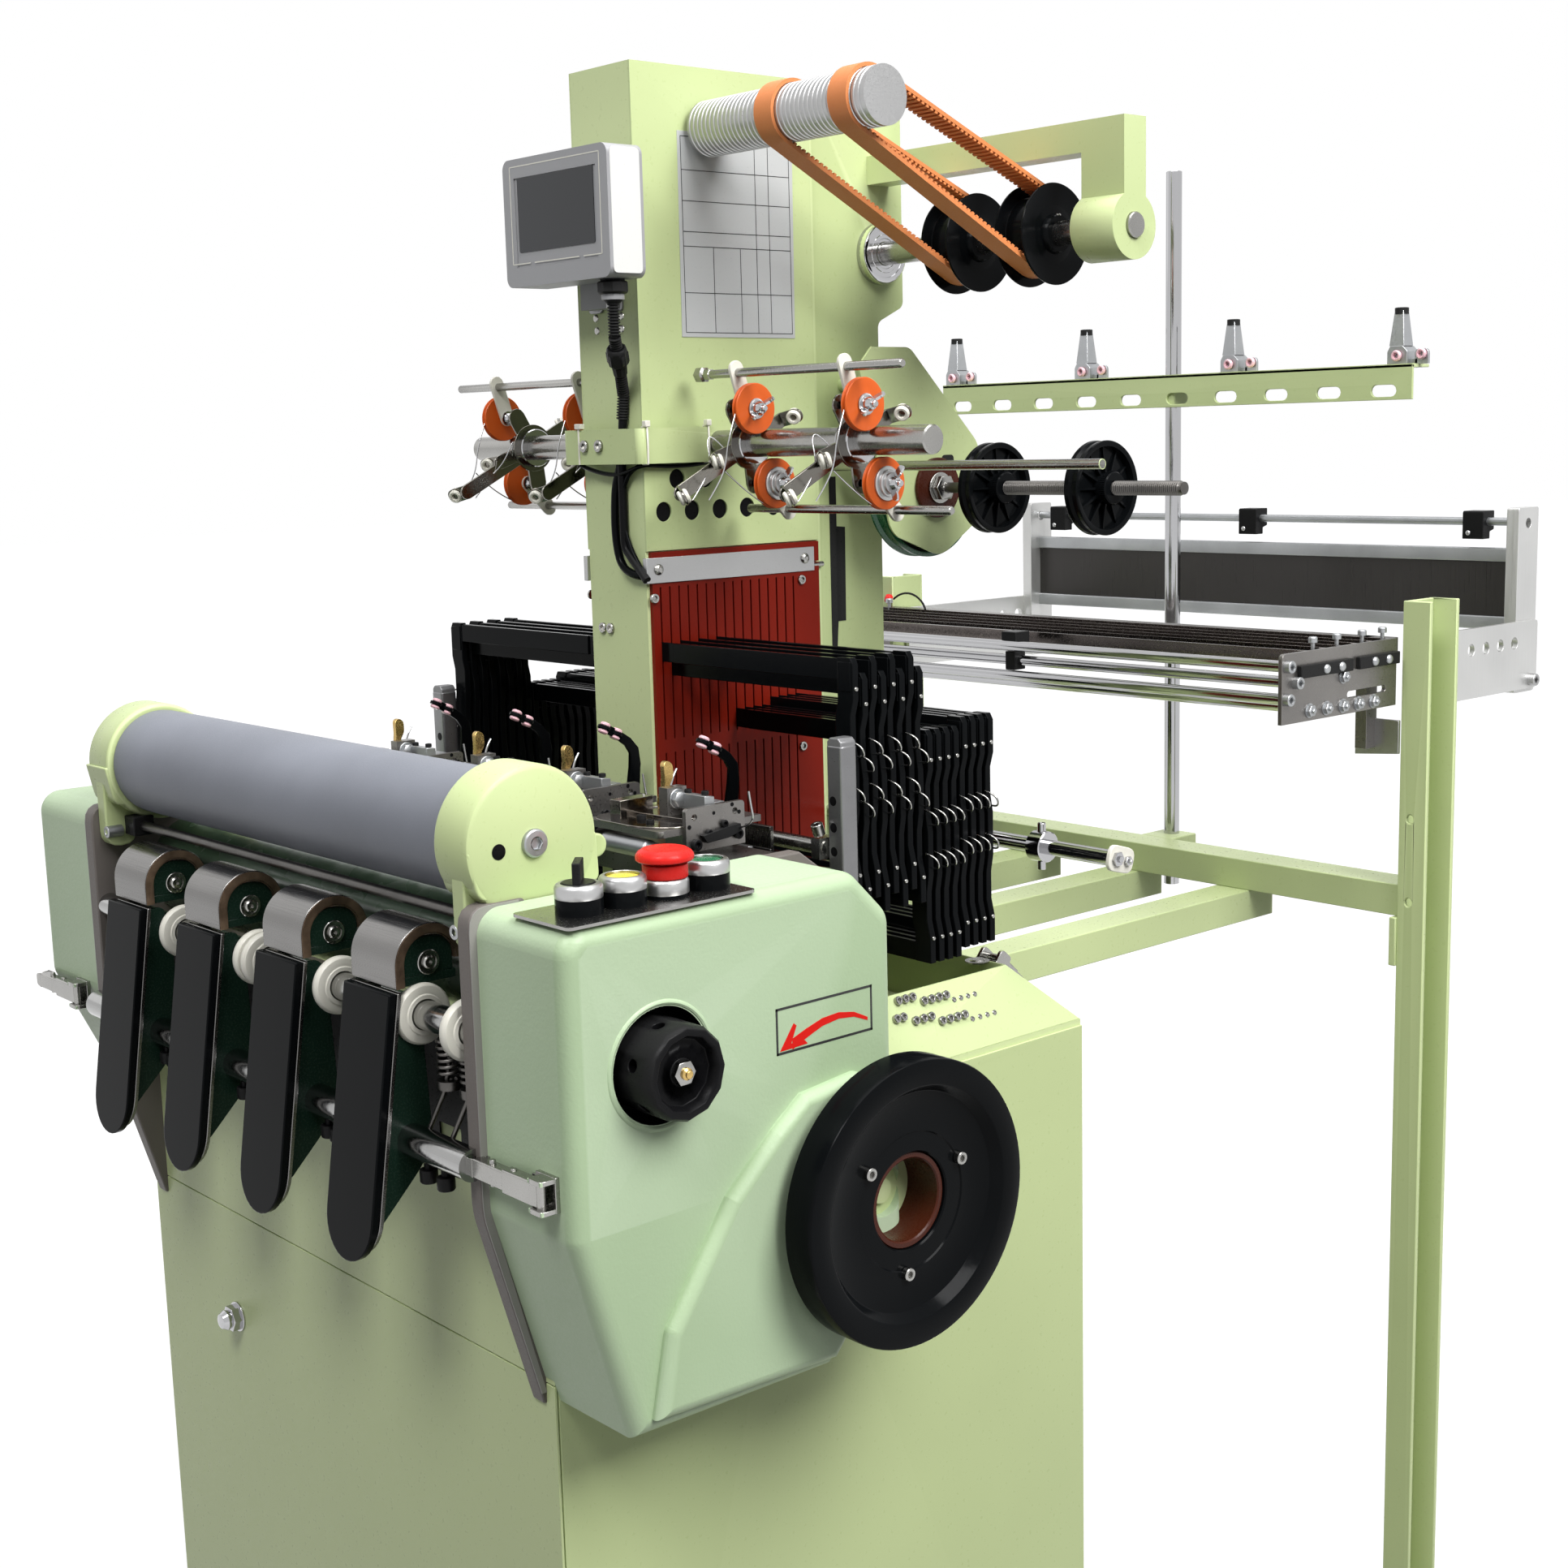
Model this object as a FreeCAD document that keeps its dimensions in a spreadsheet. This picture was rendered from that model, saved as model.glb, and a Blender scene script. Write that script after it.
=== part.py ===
"""Narrow-fabric power loom with four weaving heads, in millimetres.

+X is the operator's right, +Y runs from the operator to the back, +Z is up.
The origin is on the floor, midway between the four floor-fixing holes.
"""
import FreeCAD, Part

import math
import os
import re

import Sketcher
from FreeCAD import Placement, Rotation, Vector

# ---------------------------------------------------------------------------
# Driving dimensions
# ---------------------------------------------------------------------------
DIMENSIONS = {
    # pressed-steel cabinet and its panels
    "cabinet_width": 600, "cabinet_depth": 532, "cabinet_height": 873, "cabinet_wall": 3,
    "floor_flange": 40, "fixing_inset_x": 22, "fixing_inset_y": 21, "fixing_radius": 7,
    "panel_thick": 2, "panel_gap": 1, "panel_floor_gap": 60, "deck_height": 52,
    "deck_slope": 28, "deck_front": 47, "deck_rear_slope": 60, "well_front": 36,
    "well_rear": 204, "well_floor": 6,
    # side frames, their covers and the control plate
    "frame_thick": 13, "frame_front": -298, "frame_rear": 46, "frame_corner": 14,
    "cover_front": -303, "cover_bevel": 34, "cover_rear": -28, "cover_wall": 3,
    "cover_corner": 18, "cover_crown": 12, "cover_toe_y": -262, "cover_heel_y": -92,
    "cover_waist_y": -28, "duct_rise": 10, "knob_hole": 38, "wheel_hole": 18,
    "left_toe_y": -212, "plate_thick": 2, "plate_front": -297, "plate_rear": -148,
    "button_pitch": 34, "button_first": -267, "bezel_radius": 15, "bezel_height": 19,
    "body_radius": 10, "body_depth": 38, "bezel_floor": 3, "cap_radius": 11, "cap_lift": 5,
    "cap_height": -1, "stem_radius": 3, "stem_length": 12, "stop_radius": 19, "stop_lift": 6,
    "stop_bezel": 12,
    "stop_rim": 14, "selector_height": 6, "selector_width": 6, "panel_hole": 10.5,
    # handwheel, knob and shafts
    "wheel_radius": 100, "wheel_y": -51, "wheel_thick": 26, "wheel_web": 10, "wheel_rim": 12,
    "wheel_bore": 33, "wheel_boss": 53, "hub_flange": 5, "hub_radius": 32.7, "hub_recess": 28,
    "hub_depth": 14, "wheel_bolt_circle": 43, "wheel_bolt": 4, "shaft_radius": 15,
    "shaft_start": 150, "drive_pulley_radius": 28, "drive_pulley_x": 180, "knob_y": -232,
    "knob_radius": 31, "knob_length": 50, "knob_dish": 24, "knob_dish_depth": 8,
    "knob_shaft": 10, "nipple_radius": 5,
    # take-up roller and its end castings
    "roller_y": -255, "roller_radius": 43, "roller_rubber": 4, "roller_journal": 10,
    "end_gap": 1, "end_cap_radius": 51, "end_cap_width": 40, "lug_width": 26, "lug_rear": -250,
    "foot_front": -300, "foot_rear": -203, "lug_front": -302, "lug_thick": 14,
    "cap_handle_y": -196, "cap_handle_radius": 8,
    # beam and shafts across the front
    "beam_y": -216, "beam_radius": 44, "beam_wall": 4, "guide_y": -306, "guide_radius": 8,
    "ring_radius": 21, "ring_width": 10, "pivot_y": -311, "pivot_radius": 11,
    "bracket_thick": 12, "wire_rod_radius": 4, "wire_rod_y": -277, "spring_radius": 7.3,
    "spring_wire": 1.5, "spring_turns": 7, "spring_pitch": 4.2, "spring_rod_radius": 5.5,
    "spring_y": -299,
    # four presser fingers
    "head_pitch": 125, "finger_width": 54, "finger_face_top": -324, "finger_face_tip": -352,
    "finger_pad": 6, "finger_back": 3, "saddle_radius": 27, "saddle_thick": 7, "saddle_y": -291,
    "saddle_width": 50, "cheek_thick": 4, "cheek_gap": 40, "cheek_rear": -294, "running": 0.05,
    "air_gap": 0.3,
    # column, harness guides and covers
    "column_half": 38, "column_front": 37, "column_rear": 228, "column_wall": 5,
    "guide_thick": 4, "slot_width": 4.6, "sheet_thick": 2, "strip_height": 18, "vent_radius": 8,
    "vent_pitch": 29.5, "vent_first": 56, "strap_half": 52, "strap_front": 24,
    "strap_rear": 125, "strap_height": 28, "strap_thick": 5,
    # harness frames
    "harness_first": 48, "harness_pitch": 9.6, "harness_thick": 4.4, "harness_height": 182,
    "rail_height": 16, "sill_height": 16, "post_width": 15, "lifter_width": 30, "rest_step": 12,
    # rear casting, belt guard and the pulley shaft
    "casting_half": 34, "casting_rear": 337, "casting_waist": 306, "guard_x": 88,
    "guard_thick": 2, "guard_lobe": 60, "guard_y": 316, "stud_y": 318, "stud_radius": 6,
    "stud_end": 362, "spoked_radius": 38, "spoked_width": 14, "spoked_hub": 12,
    "spoked_first": 160, "spoked_pitch": 117, "rest_rod_y": 238, "rest_rod_end": 346,
    "rest_rod_radius": 4, "belt_thick": 3, "belt_width": 20, "belt_room": 18,
    # weft feeder shaft at the top
    "feed_y": 308, "feed_radius": 10, "feed_end": 322, "disc_radius": 40, "disc_core": 30,
    "disc_flange": 2, "spool_width": 30, "spool_first": 126, "spool_pitch": 83,
    "front_feed_y": 110, "front_core": 22, "front_feed_start": 46, "front_feed_end": 250,
    "front_journal": 8, "front_journal_start": 20, "block_width": 43, "block_radius": 26,
    "arm_y": 296, "arm_height": 24, "arm_thick": 26,
    # weft feeders on the main rod
    "main_rod_y": 107, "main_rod_radius": 11, "thin_rod_radius": 3.5, "thin_rod_start": 60,
    "upper_rod_y": 82, "lower_rod_y": 131, "feeder_first": 90, "feeder_plate": 3,
    "feeder_collar": 17, "feeder_collar_width": 14, "weft_disc_radius": 20,
    "weft_disc_thick": 6, "weft_disc_offset": 21, "disc_y": 91, "low_disc_y": 111, "eye_y": 30,
    "back_eye_y": 141, "arm_bar": 9, "weft_stud": 3, "weft_cap_radius": 13,
    "weft_cap_height": 9, "lever_width": 13, "lever_thick": 3, "eye_radius": 6, "eye_length": 8,
    # display
    "display_width": 140, "display_height": 100, "display_depth": 34, "display_front": -11,
    "screen_margin": 15, "screen_depth": 2, "bracket_width": 34, "gland_radius": 9,
    "gland_height": 16, "cable_radius": 3.5,
    # weaving heads
    "bar_y": -58, "bar_depth": 40, "bar_height": 26, "head_width": 92, "table_rear": -12,
    "table_front": -108, "table_thick": 5, "wall_height": 32, "wall_thick": 4,
    "wall_front": -86, "wall_rear": -31, "wall_drop": 13, "latch_seat": 10,
    "latch_y": -66, "latch_pin": 4, "latch_length": 30, "latch_width": 12,
    "latch_thick": 5, "cross_y": 25, "cross_radius": 6, "thread_eye_y": -12, "elbow_y": 20,
    "thread_arm_thick": 3, "thread_arm_bar": 8, "thread_arm_offset": -36, "upright_width": 15,
    "upright_y": 26, "upright_depth": 15, "sley_y": 6, "sley_radius": 7, "sley_bar_height": 12,
    "sley_bar_depth": 10, "reed_width": 66, "reed_height": 62, "reed_thick": 5,
    "sword_width": 12, "sword_thick": 6,
    # rear frame
    "post_flange": 28, "post_depth": 48, "post_front": 673, "post_wall": 4, "rail_depth": 40,
    "rail_thick": 30, "rail_setback": 6, "bearer_x": 120, "bearer_width": 40,
    "bearer_depth": 30, "foot_size": 90, "foot_thick": 6, "collar_rod_y": 236,
    "collar_rod_radius": 6,
    # back reed frame
    "reed_bar": 12, "reed_plate_front": 690, "reed_plate_rear": 916, "reed_plate_thick": 5,
    "reed_post_y": 884, "reed_post_depth": 36, "reed_panel_thick": 8, "reed_band": 24,
    "reed_rod_radius": 4, "clip_size": 20,
    # stop motion
    "stop_front": 490, "stop_rear": 662, "stop_plate": 4, "stop_tube_radius": 5,
    "stop_rail_thick": 4, "stop_rail_height": 16, "hanger_width": 12, "hanger_depth": 16,
    # slotted rail, its pole and the thread tensioners
    "slotted_half": 300, "slotted_y": 728, "slotted_height": 32, "slotted_flange": 28,
    "slotted_wall": 3, "slot_pitch": 60, "slot_length": 26, "slot_height": 11, "pole_x": 12,
    "pole_y": 745, "pole_radius": 8, "tensioner_pitch": 190, "tensioner_shift": 6,
    "cone_radius": 12, "cone_top": 6, "cone_height": 30, "washer_radius": 19, "tab_height": 22,
    # toggle latches
    "toggle_length": 88, "toggle_width": 22, "toggle_lever": 16, "toggle_base": 3,
    "toggle_base_length": 20, "toggle_pin": 2.5, "toggle_height": 9, "toggle_thick": 5,
    "toggle_short": 60, "toggle_shoulder_y": 210,
    # motor inside the cabinet
    "motor_radius": 70, "motor_length": 190, "motor_z": 180, "motor_y": 60,
    "motor_pulley_radius": 22, "motor_foot": 12, "motor_shaft": 8,
}
# Heights above the top of the cabinet, negative below it.
HEIGHTS = {
    "frame_top": 182, "frame_rear_top": 127, "frame_knee": -11, "frame_toe": -135,
    "cover_top": 186, "cover_knee": -12, "cover_toe": -153, "cover_heel": -157,
    "cover_waist": -83, "left_knee": 27, "left_toe": -171, "wheel_z": -39, "knob_z": 89,
    "roller_z": 222, "lug_low": 154, "lug_shoulder": 177, "beam_z": 125, "guide_z": 110,
    "pivot_z": 19, "wire_rod_z": 171, "spring_z": 65, "finger_top": 122, "finger_tip": -62,
    "saddle_z": 137, "cheek_top": 91, "cheek_low": -37, "column_top": 767, "window_low": 27,
    "guide_top": 367, "slot_upper_low": 231, "slot_upper_high": 357, "slot_lower_low": 47,
    "slot_lower_high": 221, "vent_low": 417, "vent_high": 443, "strap_low": 456,
    "rest_high": 130, "rest_low": 68, "casting_step": 571, "casting_low": 53, "guard_z": 427,
    "stud_z": 427, "rest_rod_z": 448, "feed_z": 629, "front_feed_z": 719, "arm_z": 687,
    "main_rod_z": 470, "upper_rod_z": 525, "lower_rod_z": 417, "disc_z": 497, "low_disc_z": 438,
    "eye_z": 434, "back_eye_z": 485, "display_low": 599, "bar_z": 149, "table_z": 195,
    "latch_z": 217, "cross_z": 173, "thread_eye_z": 247, "elbow_z": 226, "upright_top": 253,
    "sley_z": 105, "sley_bar_z": 155, "post_height": 313, "rail_low": 19, "collar_rod_z": 146,
    "reed_plate_low": 211, "reed_plate_top": 277, "reed_post_low": 207, "reed_post_top": 387,
    "reed_panel_low": 267, "reed_panel_top": 347, "stop_low": 219, "stop_high": 280,
    "hanger_low": 177, "slotted_low": 493, "pole_low": -5, "pole_top": 727, "toggle_z": 19,
    "toggle_rear_z": 112, "cap_handle_z": 211, "side_panel_height": -5,
    "front_seam_height": -142,
}
# Distances out from the side of the cabinet, negative inwards.
REACHES = {
    "frame_inside": -23, "well_half_width": -29, "cover_right_face": 85, "cover_left_face": 105,
    "plate_inner": 22, "button_x": 53, "wheel_face": 130, "knob_start": 62,
    "knob_shaft_start": -20, "roller_half": -52, "main_rod_half": -3, "thin_rod_half": -8,
    "harness_half": -35, "spring_start": -68, "sley_end": -17, "sley_bar_half": -64,
    "block_start": -24, "post_x": 31, "reed_half": 22, "toggle_right_x": 70,
    "toggle_rear_x": 45, "toggle_shoulder_x": -55, "collar_rod_end": 58, "toggle_left": 20,
}

doc = FreeCAD.newDocument("power_loom")
sheet = doc.addObject("Spreadsheet::Sheet", "sheet")
for row, (alias, value) in enumerate({**DIMENSIONS, **HEIGHTS, **REACHES}.items(), 1):
    sheet.set("A%d" % row, alias)
    sheet.set("B%d" % row, str(value))
    sheet.setAlias("B%d" % row, alias)
doc.recompute()

working = doc.addObject("Spreadsheet::Sheet", "working")
TURNS = {"X": Rotation(Vector(0, 1, 0), 90), "Y": Rotation(Vector(1, 0, 0), -90),
         "Z": Rotation()}
LEFT, RIGHT = -1, 1
nodes = []


# ---------------------------------------------------------------------------
# Helpers
# ---------------------------------------------------------------------------
def linked(expression):
    """The expression with every driving dimension written as a cell of the sheet."""
    def cell(match):
        word = match.group()
        if word in HEIGHTS:
            return "(sheet.cabinet_height + sheet.%s)" % word
        if word in REACHES:
            return "(sheet.cabinet_width/2 + sheet.%s)" % word
        return "sheet." + word if word in DIMENSIONS else word
    return re.sub(r"[a-z_]\w*", cell, str(expression))


def number(expression):
    """The present value of an expression, worked out by a sheet of its own."""
    working.set("A1", "=" + linked(expression))
    working.recompute()
    return float(working.get("A1"))


def bind(thing, **sizes):
    for name, expression in sizes.items():
        thing.setExpression(name, linked(expression))
    return thing


def put(thing, x=0, y=0, z=0, turn=None):
    thing.Placement = Placement(Vector(), turn or Rotation())
    for axis, expression in zip("xyz", (x, y, z)):
        if expression != 0:
            thing.setExpression("Placement.Base." + axis, linked(expression))
    return thing


def box(length, width, height, x, y, z):
    """A block from its low corner."""
    block = bind(doc.addObject("Part::Box", "box"), Length=length, Width=width, Height=height)
    return put(block, x, y, z)


def rod(radius, length, x, y, z, along="X"):
    """A round bar from x, y, z along an axis."""
    bar = bind(doc.addObject("Part::Cylinder", "rod"), Radius=radius, Height=length)
    return put(bar, x, y, z, TURNS[along])


def fuse(*shapes):
    joined = doc.addObject("Part::MultiFuse", "joined")
    joined.Shapes = list(shapes)
    joined.Refine = True
    return joined


def cut(base, *tools):
    result = doc.addObject("Part::Cut", "cut")
    result.Base = base
    result.Tool = tools[0] if len(tools) == 1 else fuse(*tools)
    return result


def mirrored(shape, keep=True):
    """The shape and its mirror image about the centre plane, or the image alone."""
    image = doc.addObject("Part::Mirroring", "mirrored")
    image.Source = shape
    image.Normal = Vector(1, 0, 0)
    return [shape, image] if keep else image


def node(name, *pieces):
    """Names one piece, or a set of separate solids of one node."""
    thing = pieces[0]
    if len(pieces) > 1:
        thing = doc.addObject("Part::Compound", name)
        thing.Links = list(pieces)
    thing.Label = name
    nodes.append(thing)
    return thing


def sketch_on(body, plane):
    origin = next(part for part in body.Origin.OriginFeatures if part.Role == plane + "_Plane")
    sketch = body.newObject("Sketcher::SketchObject", "outline")
    sketch.AttachmentSupport = [(origin, "")]
    sketch.MapMode = "FlatFace"
    return sketch


def fix_point(sketch, geometry, end, corner):
    for kind, expression in zip(("DistanceX", "DistanceY"), corner):
        rule = Sketcher.Constraint(kind, -1, 1, geometry, end, number(expression))
        sketch.setExpression("Constraints[%d]" % sketch.addConstraint(rule), linked(expression))


def draw_outline(sketch, corners):
    """A closed line through the corners, each held at its two sizes."""
    first = sketch.GeometryCount
    places = [Vector(number(across), number(up), 0) for across, up in corners]
    for index, start in enumerate(places):
        end = places[(index + 1) % len(places)]
        sketch.addGeometry(Part.LineSegment(start, end), False)
    for index, corner in enumerate(corners):
        after = first + (index + 1) % len(corners)
        sketch.addConstraint(Sketcher.Constraint("Coincident", first + index, 2, after, 1))
        fix_point(sketch, first + index, 1, corner)


def draw_circle(sketch, across, up, radius):
    centre = Vector(number(across), number(up), 0)
    circle = sketch.addGeometry(Part.Circle(centre, Vector(0, 0, 1), number(radius)), False)
    fix_point(sketch, circle, 3, (across, up))
    rule = sketch.addConstraint(Sketcher.Constraint("Radius", circle, number(radius)))
    sketch.setExpression("Constraints[%d]" % rule, linked(radius))


def round_corners(body, pad, corners, rounds, plane):
    """Fillets the edges that stand on the named corners of an extruded outline."""
    for radius, indices in rounds.items():
        wanted = [(number(corners[i][0]), number(corners[i][1])) for i in indices]
        pad.recompute()
        names = []
        for position, edge in enumerate(pad.Shape.Edges, 1):
            ends = [flat_point(vertex.Point, plane) for vertex in edge.Vertexes]
            if len(ends) == 2 and math.dist(*ends) < 1e-4 and any(
                    math.dist(ends[0], corner) < 1e-3 for corner in wanted):
                names.append("Edge%d" % position)
        fillet = body.newObject("PartDesign::Fillet", "rounded")
        fillet.Base = (pad, names)
        bind(fillet, Radius=radius)
        pad = fillet
    return pad


def flat_point(point, plane):
    return {"XY": (point.x, point.y), "XZ": (point.x, point.z), "YZ": (point.y, point.z)}[plane]


def round_face(body, pad, thick, radius):
    """Fillets the edges round the far face of an outline extruded along X."""
    pad.recompute()
    level = number(thick)
    names = ["Edge%d" % position for position, edge in enumerate(pad.Shape.Edges, 1)
             if all(abs(vertex.X - level) < 1e-4 for vertex in edge.Vertexes)]
    fillet = body.newObject("PartDesign::Fillet", "crown")
    fillet.Base = (pad, names)
    bind(fillet, Radius=radius)


def plate(corners, thick, plane="YZ", at=(0, 0, 0), holes=(), rounds=None, cut_outs=(),
          crown=None):
    """An extruded outline: a profile body with holes, cut-outs and rounded corners."""
    body = doc.addObject("PartDesign::Body", "plate")
    sketch = sketch_on(body, plane)
    draw_outline(sketch, corners)
    for inner in cut_outs:
        draw_outline(sketch, inner)
    for hole in holes:
        draw_circle(sketch, *hole)
    pad = bind(body.newObject("PartDesign::Pad", "pad"), Length=thick)
    pad.Profile = sketch
    pad.Reversed = plane == "XZ"
    sketch.recompute()
    if rounds:
        pad = round_corners(body, pad, corners, rounds, plane)
    if crown:
        round_face(body, pad, thick, crown)
    return put(body, *at)


def turned(corners, at=(0, 0, 0), along="X"):
    """A turned piece: corners are radius and height along the axis."""
    body = doc.addObject("PartDesign::Body", "turned")
    sketch = sketch_on(body, "XZ")
    draw_outline(sketch, corners)
    spin = body.newObject("PartDesign::Revolution", "revolution")
    spin.Profile = sketch
    spin.ReferenceAxis = (sketch, ["V_Axis"])
    spin.Angle = 360
    return put(body, *at, turn=TURNS[along])


def block_corners(low_across, low_up, high_across, high_up):
    return [(low_across, low_up), (high_across, low_up), (high_across, high_up),
            (low_across, high_up)]


def shaped(name, shape):
    """A piece whose form has no parametric feature: a belt, a coil or a cable."""
    piece = doc.addObject("Part::Feature", name)
    piece.Shape = shape
    return piece


def belt_loop(first, second, thick, width, x):
    """A closed flat belt round two pulleys, each given as (y, z, radius)."""
    def outline(extra):
        (y1, z1, r1), (y2, z2, r2) = first, second
        r1, r2 = r1 + extra, r2 + extra
        reach = math.hypot(y2 - y1, z2 - z1)
        heading = math.atan2(z2 - z1, y2 - y1)
        lean = math.acos((r1 - r2) / reach)
        def on(centre_y, centre_z, radius, angle):
            return Vector(x, centre_y + radius * math.cos(angle),
                          centre_z + radius * math.sin(angle))
        upper, lower = heading + lean, heading - lean
        far = Part.Arc(on(y2, z2, r2, lower), on(y2, z2, r2, heading), on(y2, z2, r2, upper))
        near = Part.Arc(on(y1, z1, r1, upper), on(y1, z1, r1, heading + math.pi),
                        on(y1, z1, r1, lower))
        lines = [Part.LineSegment(far.EndPoint, near.StartPoint),
                 Part.LineSegment(near.EndPoint, far.StartPoint)]
        return Part.Wire([far.toShape(), lines[0].toShape(), near.toShape(),
                          lines[1].toShape()])
    ring = Part.Face(outline(thick)).cut(Part.Face(outline(0)))
    return ring.extrude(Vector(width, 0, 0))


def biarc_coil(centre, radius, pitch, turns, wire):
    """A coil on biarcs of a half turn, standing on Z; its least gap is printed."""
    def point(angle):
        return centre + Vector(radius * math.cos(angle), radius * math.sin(angle),
                               pitch * angle / (2 * math.pi))
    step = math.pi / 2
    edges = []
    for index in range(int(turns * 4)):
        angle = index * step
        edges.append(Part.Arc(point(angle), point(angle + step / 2),
                              point(angle + step)).toShape())
    path = Part.Wire(edges)
    start = path.Edges[0]
    circle = Part.Wire(Part.Circle(point(0), start.tangentAt(start.FirstParameter),
                                   wire).toShape())
    return path.makePipeShell([circle], True, False)


# ---------------------------------------------------------------------------
# Cabinet: a folded steel shell with a sloped deck round the harness well
# ---------------------------------------------------------------------------
def cabinet():
    """The cabinet of welded sheets, and the cast deck on it."""
    half_width = "(cabinet_width/2 - panel_thick)"
    front = "(-cabinet_depth/2 + panel_thick)"
    depth = "cabinet_depth - panel_thick"
    inside_height = "cabinet_height - 2*cabinet_wall"
    floor, top = [box("2*" + half_width, depth, "cabinet_wall", "-" + half_width, front, level)
                  for level in (0, "cabinet_height - cabinet_wall")]
    left, right = [box("cabinet_wall", depth, inside_height, x, front, "cabinet_wall")
                   for x in ("-" + half_width, half_width + " - cabinet_wall")]
    ends = [box("2*%s - 2*cabinet_wall" % half_width, "cabinet_wall", inside_height,
                "-%s + cabinet_wall" % half_width, y, "cabinet_wall")
            for y in (front, "cabinet_depth/2 - cabinet_wall")]
    mouth = box("2*%s - 2*floor_flange" % half_width,
                "cabinet_depth - panel_thick - 2*floor_flange", "2*cabinet_wall",
                "-%s + floor_flange" % half_width, front + " + floor_flange",
                "-cabinet_wall/2")
    feet = [rod("fixing_radius", "3*cabinet_wall", "%d*(cabinet_width/2 - fixing_inset_x)" % x,
                "%d*(cabinet_depth/2 - fixing_inset_y)" % y, "-cabinet_wall", "Z")
            for x in (LEFT, RIGHT) for y in (LEFT, RIGHT)]
    bore = rod("shaft_radius + running", "cabinet_width/4", "cabinet_width/4 + shaft_radius",
               "wheel_y", "wheel_z")
    deck = bind(doc.addObject("Part::Wedge", "deck"), Xmin="-" + half_width, Xmax=half_width,
                Ymin="0", Ymax="deck_height", Zmin="-cabinet_depth/2", Zmax="-deck_front",
                X2min="-cabinet_width/2 + deck_slope", X2max="cabinet_width/2 - deck_slope",
                Z2min="-cabinet_depth/2 + deck_rear_slope", Z2max="-deck_front")
    put(deck, 0, 0, "cabinet_height", Rotation(Vector(1, 0, 0), 90))
    well = box("2*well_half_width", "well_rear - well_front", "deck_height",
               "-well_half_width", "well_front", "cabinet_height + well_floor")
    socket = box("2*column_half", "column_rear - column_front", "deck_height",
                 "-column_half", "column_front", "cabinet_height + well_floor")
    node("base_cabinet", cut(floor, mouth, *feet), top, left, cut(right, bore), *ends)
    return node("cabinet_deck", cut(deck, well, socket), toggle_base(*TOGGLES[3][2:]))


def cabinet_panels():
    """The front panel above its lower door, and the two side doors."""
    half = "cabinet_width/2"
    front = plate(block_corners("-" + half, "panel_floor_gap", half,
                                "front_seam_height - panel_gap"),
                  "panel_thick", "XZ", (0, "-cabinet_depth/2", 0))
    upper = plate(block_corners("-" + half, "front_seam_height", half, "cabinet_height"),
                  "panel_thick", "XZ", (0, "-cabinet_depth/2", 0))
    doors = [plate(block_corners("-cabinet_depth/2 + panel_thick + panel_gap",
                                 "panel_floor_gap", "cabinet_depth/2", "side_panel_height"),
                   "panel_thick", "YZ", (x, 0, 0), holes=[
                       ("wheel_y", "wheel_z", "shaft_radius + 3*air_gap")])
             for x in (half + " - panel_thick", "-" + half)]
    return node("cabinet_panels", front, upper, *doors)


# ---------------------------------------------------------------------------
# Side frames and the moulded gear covers over them
# ---------------------------------------------------------------------------
def side_frames():
    """Two upright plates, each with a holed bar and a bracket for the front shafts."""
    corners = [("frame_front", "frame_top"), ("frame_front", "frame_knee"),
               ("-cabinet_depth/2 - 8", "frame_toe"), ("-cabinet_depth/2", "frame_toe"),
               ("-cabinet_depth/2", "cabinet_height"), ("frame_rear", "cabinet_height"),
               ("frame_rear", "frame_rear_top"), ("cover_rear", "frame_top")]
    side = plate(corners, "frame_thick", "YZ", ("frame_inside", 0, 0),
                 holes=[("sley_y", "sley_z", "sley_radius + running"),
                        ("knob_y", "knob_z", "knob_shaft + running")],
                 rounds={"frame_corner": [0, 1]})
    bar = box("upright_width", "upright_depth", "upright_top - cabinet_height",
              "frame_inside - upright_width", "upright_y", "cabinet_height")
    holes = [rod("upright_width/5", "2*upright_depth", "frame_inside - upright_width/2",
                 "upright_y - upright_depth/2", "upright_top - %d*upright_width" % step, "Y")
             for step in range(1, 8)]
    upright = cut(bar, *holes)
    bracket = plate([("pivot_y - 14", "pivot_z - 14"), ("pivot_y + 30", "pivot_z - 14"),
                     ("pivot_y + 30", "guide_z + 13"), ("guide_y - 13", "guide_z + 13")],
                    "bracket_thick", "YZ", ("frame_inside - bracket_thick", 0, 0),
                    holes=[("pivot_y", "pivot_z", "pivot_radius"),
                           ("guide_y", "guide_z", "guide_radius")],
                    rounds={"6": [0, 3]})
    return node("side_frames", *mirrored(side), *mirrored(upright), *mirrored(bracket))


def cover_outline(knee, toe_y, toe, heel, inset="0"):
    """The side view of a gear cover, drawn in by the inset."""
    return [("cover_front + " + inset, "cover_top - " + inset),
            ("cover_front + " + inset, knee), ("%s + %s" % (toe_y, inset), toe + " + " + inset),
            ("cover_heel_y - %s/2" % inset, heel + " + " + inset),
            ("cover_waist_y - " + inset, "cover_waist + %s/2" % inset),
            ("cover_rear - " + inset, "cover_top - cover_bevel - %s/2" % inset),
            ("cover_rear - cover_bevel - %s/2" % inset, "cover_top - " + inset)]


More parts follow.
